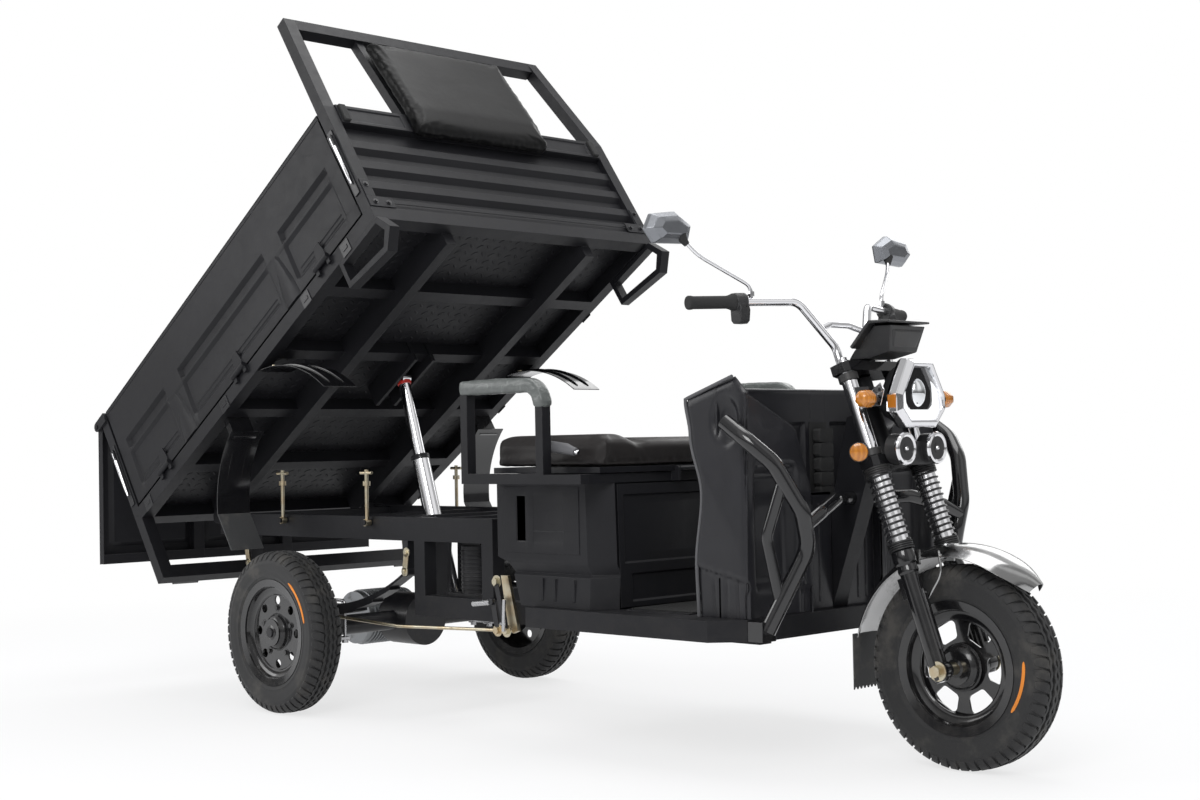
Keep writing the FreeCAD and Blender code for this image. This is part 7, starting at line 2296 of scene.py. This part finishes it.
@dataclass
class Running:
    """Springs' U-bolts and shackles, pump and motor ribs, mat, brake fittings, ram glands, hand lever."""

    places: Places
    spring_y: float = 0.3375
    leaf_half: float = 0.022
    eye_x: float = 0.424
    eye_z: float = 0.449

    def build(self) -> None:
        """Makes the running gear's small pieces."""
        self.u_bolts()
        self.shackles()
        self.ribs()
        self.brake()
        self.ram()
        self.hand_lever()

    def u_bolts(self) -> None:
        """Bends the U-bolts over the spring packs and lays their plates."""
        s = Shape(self.places.chassis)
        spots = []
        u, low, high = 0.042, 0.208, 0.338
        for sign in SIDES:
            middle = sign * self.spring_y
            for off in (-0.029, 0.029):
                y = middle + off
                bend = rounded([(-u, y, low), (-u, y, high), (u, y, high), (u, y, low)], 0.012, 4)
                s.tube(bend, 0.0055, 10)
                spots += [((x, y, 0.2145), (0, 0, -1)) for x in (-u, u)]
            s.box((-0.058, middle - 0.038, 0.2145), (0.058, middle + 0.038, 0.2225))
        add_piece("spring_u_bolts", s, Dress("chassis", STEEL, "zinc_steel", smooth=40.0))
        add_bolts("u_bolt_nuts", spots, M12, self.places.chassis, "chassis")

    def shackles(self) -> None:
        """Cuts the zinc-plated shackle plates on both faces of each spring end."""
        s = Shape(self.places.chassis)
        for sign in SIDES:
            for end in (-1, 1):
                for face in (-1, 1):
                    y = sign * self.spring_y + face * (self.leaf_half + 0.001)
                    top = (end * (self.eye_x + 0.010), y, 0.508)
                    foot = (end * self.eye_x, y, self.eye_z)
                    lift = face * 0.004
                    for x, _, z in (top, foot):
                        s.rod((x, y, z), (x, y + lift, z), 0.0145, 20)
                        s.rod((x, y, z), (x, y + lift * 2.4, z), 0.0070, 6)
                    s.bar((foot[0], y + lift / 2, foot[2]), (top[0], y + lift / 2, top[2]),
                          0.004, 0.022, (1, 0, 0))
        add_piece("spring_shackles", s, Dress("chassis", ZINC, "zinc_steel", bevel=0.0008))

    def ribs(self) -> None:
        """Repeats the pump's rings, the motor's fins and the mat's ribs along lines."""
        ring = Shape()
        ring.lathe([(0.0515, 0.0), (0.0545, 0.001), (0.0545, 0.004), (0.0515, 0.005)], 40, True)
        mesh = repeat(ring.mesh("ring"), Layout.LINE, PUMP, {"Count": 10, "Step": (0.0, 0.0, 0.0125)},
                      self.places.chassis @ moved(0.640, -0.250, 0.398))
        add_piece("pump_rings", mesh, Dress("chassis", PUMP, "pump_case", smooth=40.0))
        fin = Shape()
        fin.lathe([(0.0875, 0.0), (0.0930, 0.001), (0.0930, 0.004), (0.0875, 0.005)], 48, True)
        mesh = repeat(fin.mesh("fin"), Layout.LINE, CAST, {"Count": 13, "Step": (0.0, 0.0, 0.0135)},
                      self.places.chassis @ moved(-0.178, -0.082, 0.255) @ AXLE_TURN)
        add_piece("motor_fins", mesh, Dress("chassis", CAST, "motor_case", smooth=40.0))
        rib = Shape()
        rib.box((-0.0025, -0.380, -0.001), (0.0025, 0.380, 0.003))
        mesh = repeat(rib.mesh("rib"), Layout.LINE, GRIP, {"Count": 25, "Step": (0.0088, 0.0, 0.0)},
                      self.places.chassis @ moved(1.409, 0.0, 0.387))
        add_piece("mat_ribs", mesh, Dress("chassis", GRIP, "grip_rubber"))

    def brake(self) -> None:
        """Adds the brake linkage's bolts, links and return spring."""
        face = -0.3975
        spots = [((x, face, z), (0, -1, 0)) for x, z in ((0.889, 0.440), (0.928, 0.302), (0.890, 0.302))]
        add_bolts("brake_bolts", spots, M12, self.places.chassis, "chassis", ZINC)
        s = Shape(self.places.chassis)
        s.bar((0.890, face - 0.001, 0.302), (0.872, face - 0.001, 0.382), 0.004, 0.020, (1, 0, 0))
        s.bar((0.888, face - 0.004, 0.440), (0.928, face - 0.004, 0.302), 0.004, 0.018, (1, 0, 0))
        s.rod((0.872, face, 0.382), (0.872, face - 0.012, 0.382), 0.010, 6)
        add_piece("brake_links", s, Dress("chassis", FRAME, "frame_paint", bevel=0.0008))
        coil = Shape(self.places.chassis)
        start, end = Vector((0.790, face - 0.006, 0.372)), Vector((0.866, face - 0.006, 0.380))
        coil.tube([start.lerp(end, i / 48) for i in range(49)],
                  lambda t: 0.0072 + 0.0012 * math.sin(46.0 * t), 14)
        coil.rod((0.928, face - 0.014, 0.302), (0.934, face - 0.014, 0.392), 0.0055, 12)
        add_piece("brake_springs", coil, Dress("chassis", STEEL, "zinc_steel", smooth=60.0))

    def ram(self) -> None:
        """Turns the ram's glands and the red seal below its eye."""
        ends = (("ram_barrel", 0.272, 0.0385, 0.0355), ("ram_sleeve", 0.507, 0.0310, 0.0285))
        for body, base, radius, bore in ends:
            s = Shape(self.places.ram)
            groove = radius - 0.001
            s.lathe([(bore, base), (radius, base + 0.001), (radius, base + 0.009), (groove, base + 0.010),
                     (groove, base + 0.011), (radius, base + 0.012), (radius, base + 0.017),
                     (bore, base + 0.018)], 48, True)
            add_piece(body + "_gland", s, Dress(body, FRAME, "frame_paint", smooth=30.0))
        seal = Shape(self.places.ram)
        seal.lathe([(0.0195, 0.776), (0.0235, 0.777), (0.0240, 0.782), (0.0235, 0.788), (0.0195, 0.789)],
                   40, True)
        add_piece("ram_rod_seal", seal, Dress("ram_rod", CAP, "red_lens", smooth=40.0))

    def hand_lever(self) -> None:
        """Shapes the grey hand-brake lever beside the seat with its bright button."""
        s = Shape(self.places.chassis)
        line = ((1.205, 0.812), (1.235, 0.822), (1.290, 0.815), (1.328, 0.806))
        s.tube([(x, -0.500, z) for x, z in line],
               lambda t: 0.011 + 0.006 * math.sin(math.pi * t) ** 0.6, 18, flat=0.8)
        s.box((1.196, -0.496, 0.745), (1.224, -0.503, 0.824))
        s.box((1.196, -0.496, 0.745), (1.224, -0.516, 0.751))
        add_piece("hand_brake_lever", s, Dress("chassis", TRIM, "black_plastic", smooth=45.0, bevel=0.001))
        knob = Shape(self.places.chassis @ moved(1.329, -0.500, 0.8057) @ turned_about_y(98.0))
        knob.lathe([(0.0, 0.010), (0.005, 0.010), (0.0065, 0.008), (0.0065, 0.0), (0.0, 0.0)], 20)
        add_piece("hand_brake_button", knob, Dress("chassis", CHROME, "chrome_plate"))


@dataclass
class SignalLamps:
    """Side indicators with their brackets and the round reflectors beside the fork."""

    places: Places
    x: float = 2.030
    z: float = 0.925

    def build(self) -> None:
        """Makes the lamps, brackets and reflectors."""
        lenses = Shape()
        caps = Shape()
        plates = Shape(self.places.chassis)
        hole_shade_discs = Shape(self.places.chassis)
        profile = ((0.149, 0.0180), (0.153, 0.0225), (0.166, 0.0238), (0.180, 0.0232), (0.190, 0.0190),
                   (0.1955, 0.0100))
        neck = [(0.0, 0.128), (0.010, 0.128), (0.0180, 0.140), (0.0195, 0.149), (0.0195, 0.152), (0.0, 0.152)]
        corner = [(1.992, 0.932), (2.040, 0.966), (2.052, 0.948), (2.040, 0.908), (2.000, 0.905)]
        for sign in SIDES:
            place = self.places.chassis @ moved(self.x, 0.0, self.z) @ outward_turn(sign)
            lenses.loft([ring_points(r, h, 8, math.pi / 8) for h, r in profile], place=place)
            caps.lathe(neck, 28, place=place)
            caps.rod((2.022, sign * 0.091, self.z), (2.024, sign * 0.135, self.z), 0.0068, 14,
                     self.places.chassis)
            plates.loft([[(x, sign * y, z) for x, z in corner] for y in (0.1190, 0.1215)])
            # Black discs through each bracket plate stand for its holes: painted shade, with no opening cut.
            for x, z in ((2.008, 0.918), (2.034, 0.922), (2.038, 0.948), (2.020, 0.938)):
                hole_shade_discs.rod((x, sign * 0.1185, z), (x, sign * 0.1222, z), 0.0050, 14)
            face = self.places.chassis @ moved(1.985, sign * 0.142, 0.792) \
                @ Matrix.Rotation(sign * 0.95, 4, "Z") @ turned_about_y(90.0)
            lenses.lathe([(0.0, 0.007), (0.014, 0.0062), (0.0225, 0.004), (0.0235, 0.0)], 40, place=face)
            caps.lathe([(0.0, 0.001), (0.0245, 0.001), (0.0250, -0.004), (0.0, -0.006)], 40, place=face)
        add_piece("indicator_lenses", lenses,
                  Dress("steering", AMBER, "amber_lens", smooth=50.0, bevel=0.0015), ("indicators",))
        add_piece("indicator_caps", caps, Dress("steering", PLASTIC, "black_plastic"))
        add_piece("indicator_brackets", plates, Dress("steering", CHROME, "chrome_plate", bevel=0.0006))
        add_piece("bracket_hole_shade", hole_shade_discs, Dress("steering", FRAME, "frame_paint"))


CAD_FINISHES: tuple[tuple[Finish, str], ...] = (
    (BODY, "main_frame seat_box seat_frame floor_pan bed_frame bed_floor headboard corner_guards "
           "side_board_right side_board_left tailgate"),
    (FRAME, "rear_axle leaf_springs seat_lid"),
    (GLOSS, "crash_bars rear_mudguards fork_legs fork_yokes front_wheel_rim rear_wheel_right_rim "
            "rear_wheel_left_rim"),
    (PLASTIC, "battery_pack hand_controls mirrors headlamp twin_horns instrument_cowl"),
    (CHROME, "ram_barrel ram_sleeve ram_rod handlebar front_mudguard"),
    (ZINC, "brake_rod hold_downs_rear hold_downs_front front_spindle"),
    (TYRE, "front_wheel_tyre rear_wheel_right_tyre rear_wheel_left_tyre"),
    (FLAP, "rear_flaps front_flap"), (CAST, "drive_motor"), (PUMP, "hydraulic_unit"),
    (FILM, "armrest_pads"), (SHIELD, "leg_shield"), (COVER, "seat_pad"), (PADDING, "headboard_pad"),
    (RED, "tail_lamps"), (COIL, "fork_springs"), (AMBER, "indicators"),
)


def dress_frame(nodes: dict[str, bpy.types.Object]) -> None:
    """Gives every CAD node its finish.

    Args:
        nodes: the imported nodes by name.
    """
    for finish, names in CAD_FINISHES:
        for name in names.split():
            for slot in nodes[name].material_slots:
                slot.material = finish.material()


def main() -> None:
    """Builds the trike's looks in order."""
    logging.basicConfig(level=logging.INFO, format="%(message)s")
    for leftover in list(bpy.data.objects):
        bpy.data.objects.remove(leftover)
    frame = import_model()
    places = Places(frame["joints"])
    Studio().build()
    dress_frame(frame["nodes"])
    LoadBed(places).build()
    BedTrim(places).build()
    for node, outward in (("rear_wheel_right", -1), ("rear_wheel_left", 1)):
        Wheel(node, places.at(node + "_spin"), outward).build()
    Wheel("front_wheel", places.at("front_wheel_spin"), -1, arc=(-30.0, 9.0, 0.186, 0.202), nuts=0).build()
    Fork(places).build()
    FrontEnd(places).build()
    SignalLamps(places).build()
    LegShield(places).build()
    SeatBox(places).build()
    Running(places).build()
    SoftGoods(places).build()


if __name__ == "__main__":
    main()
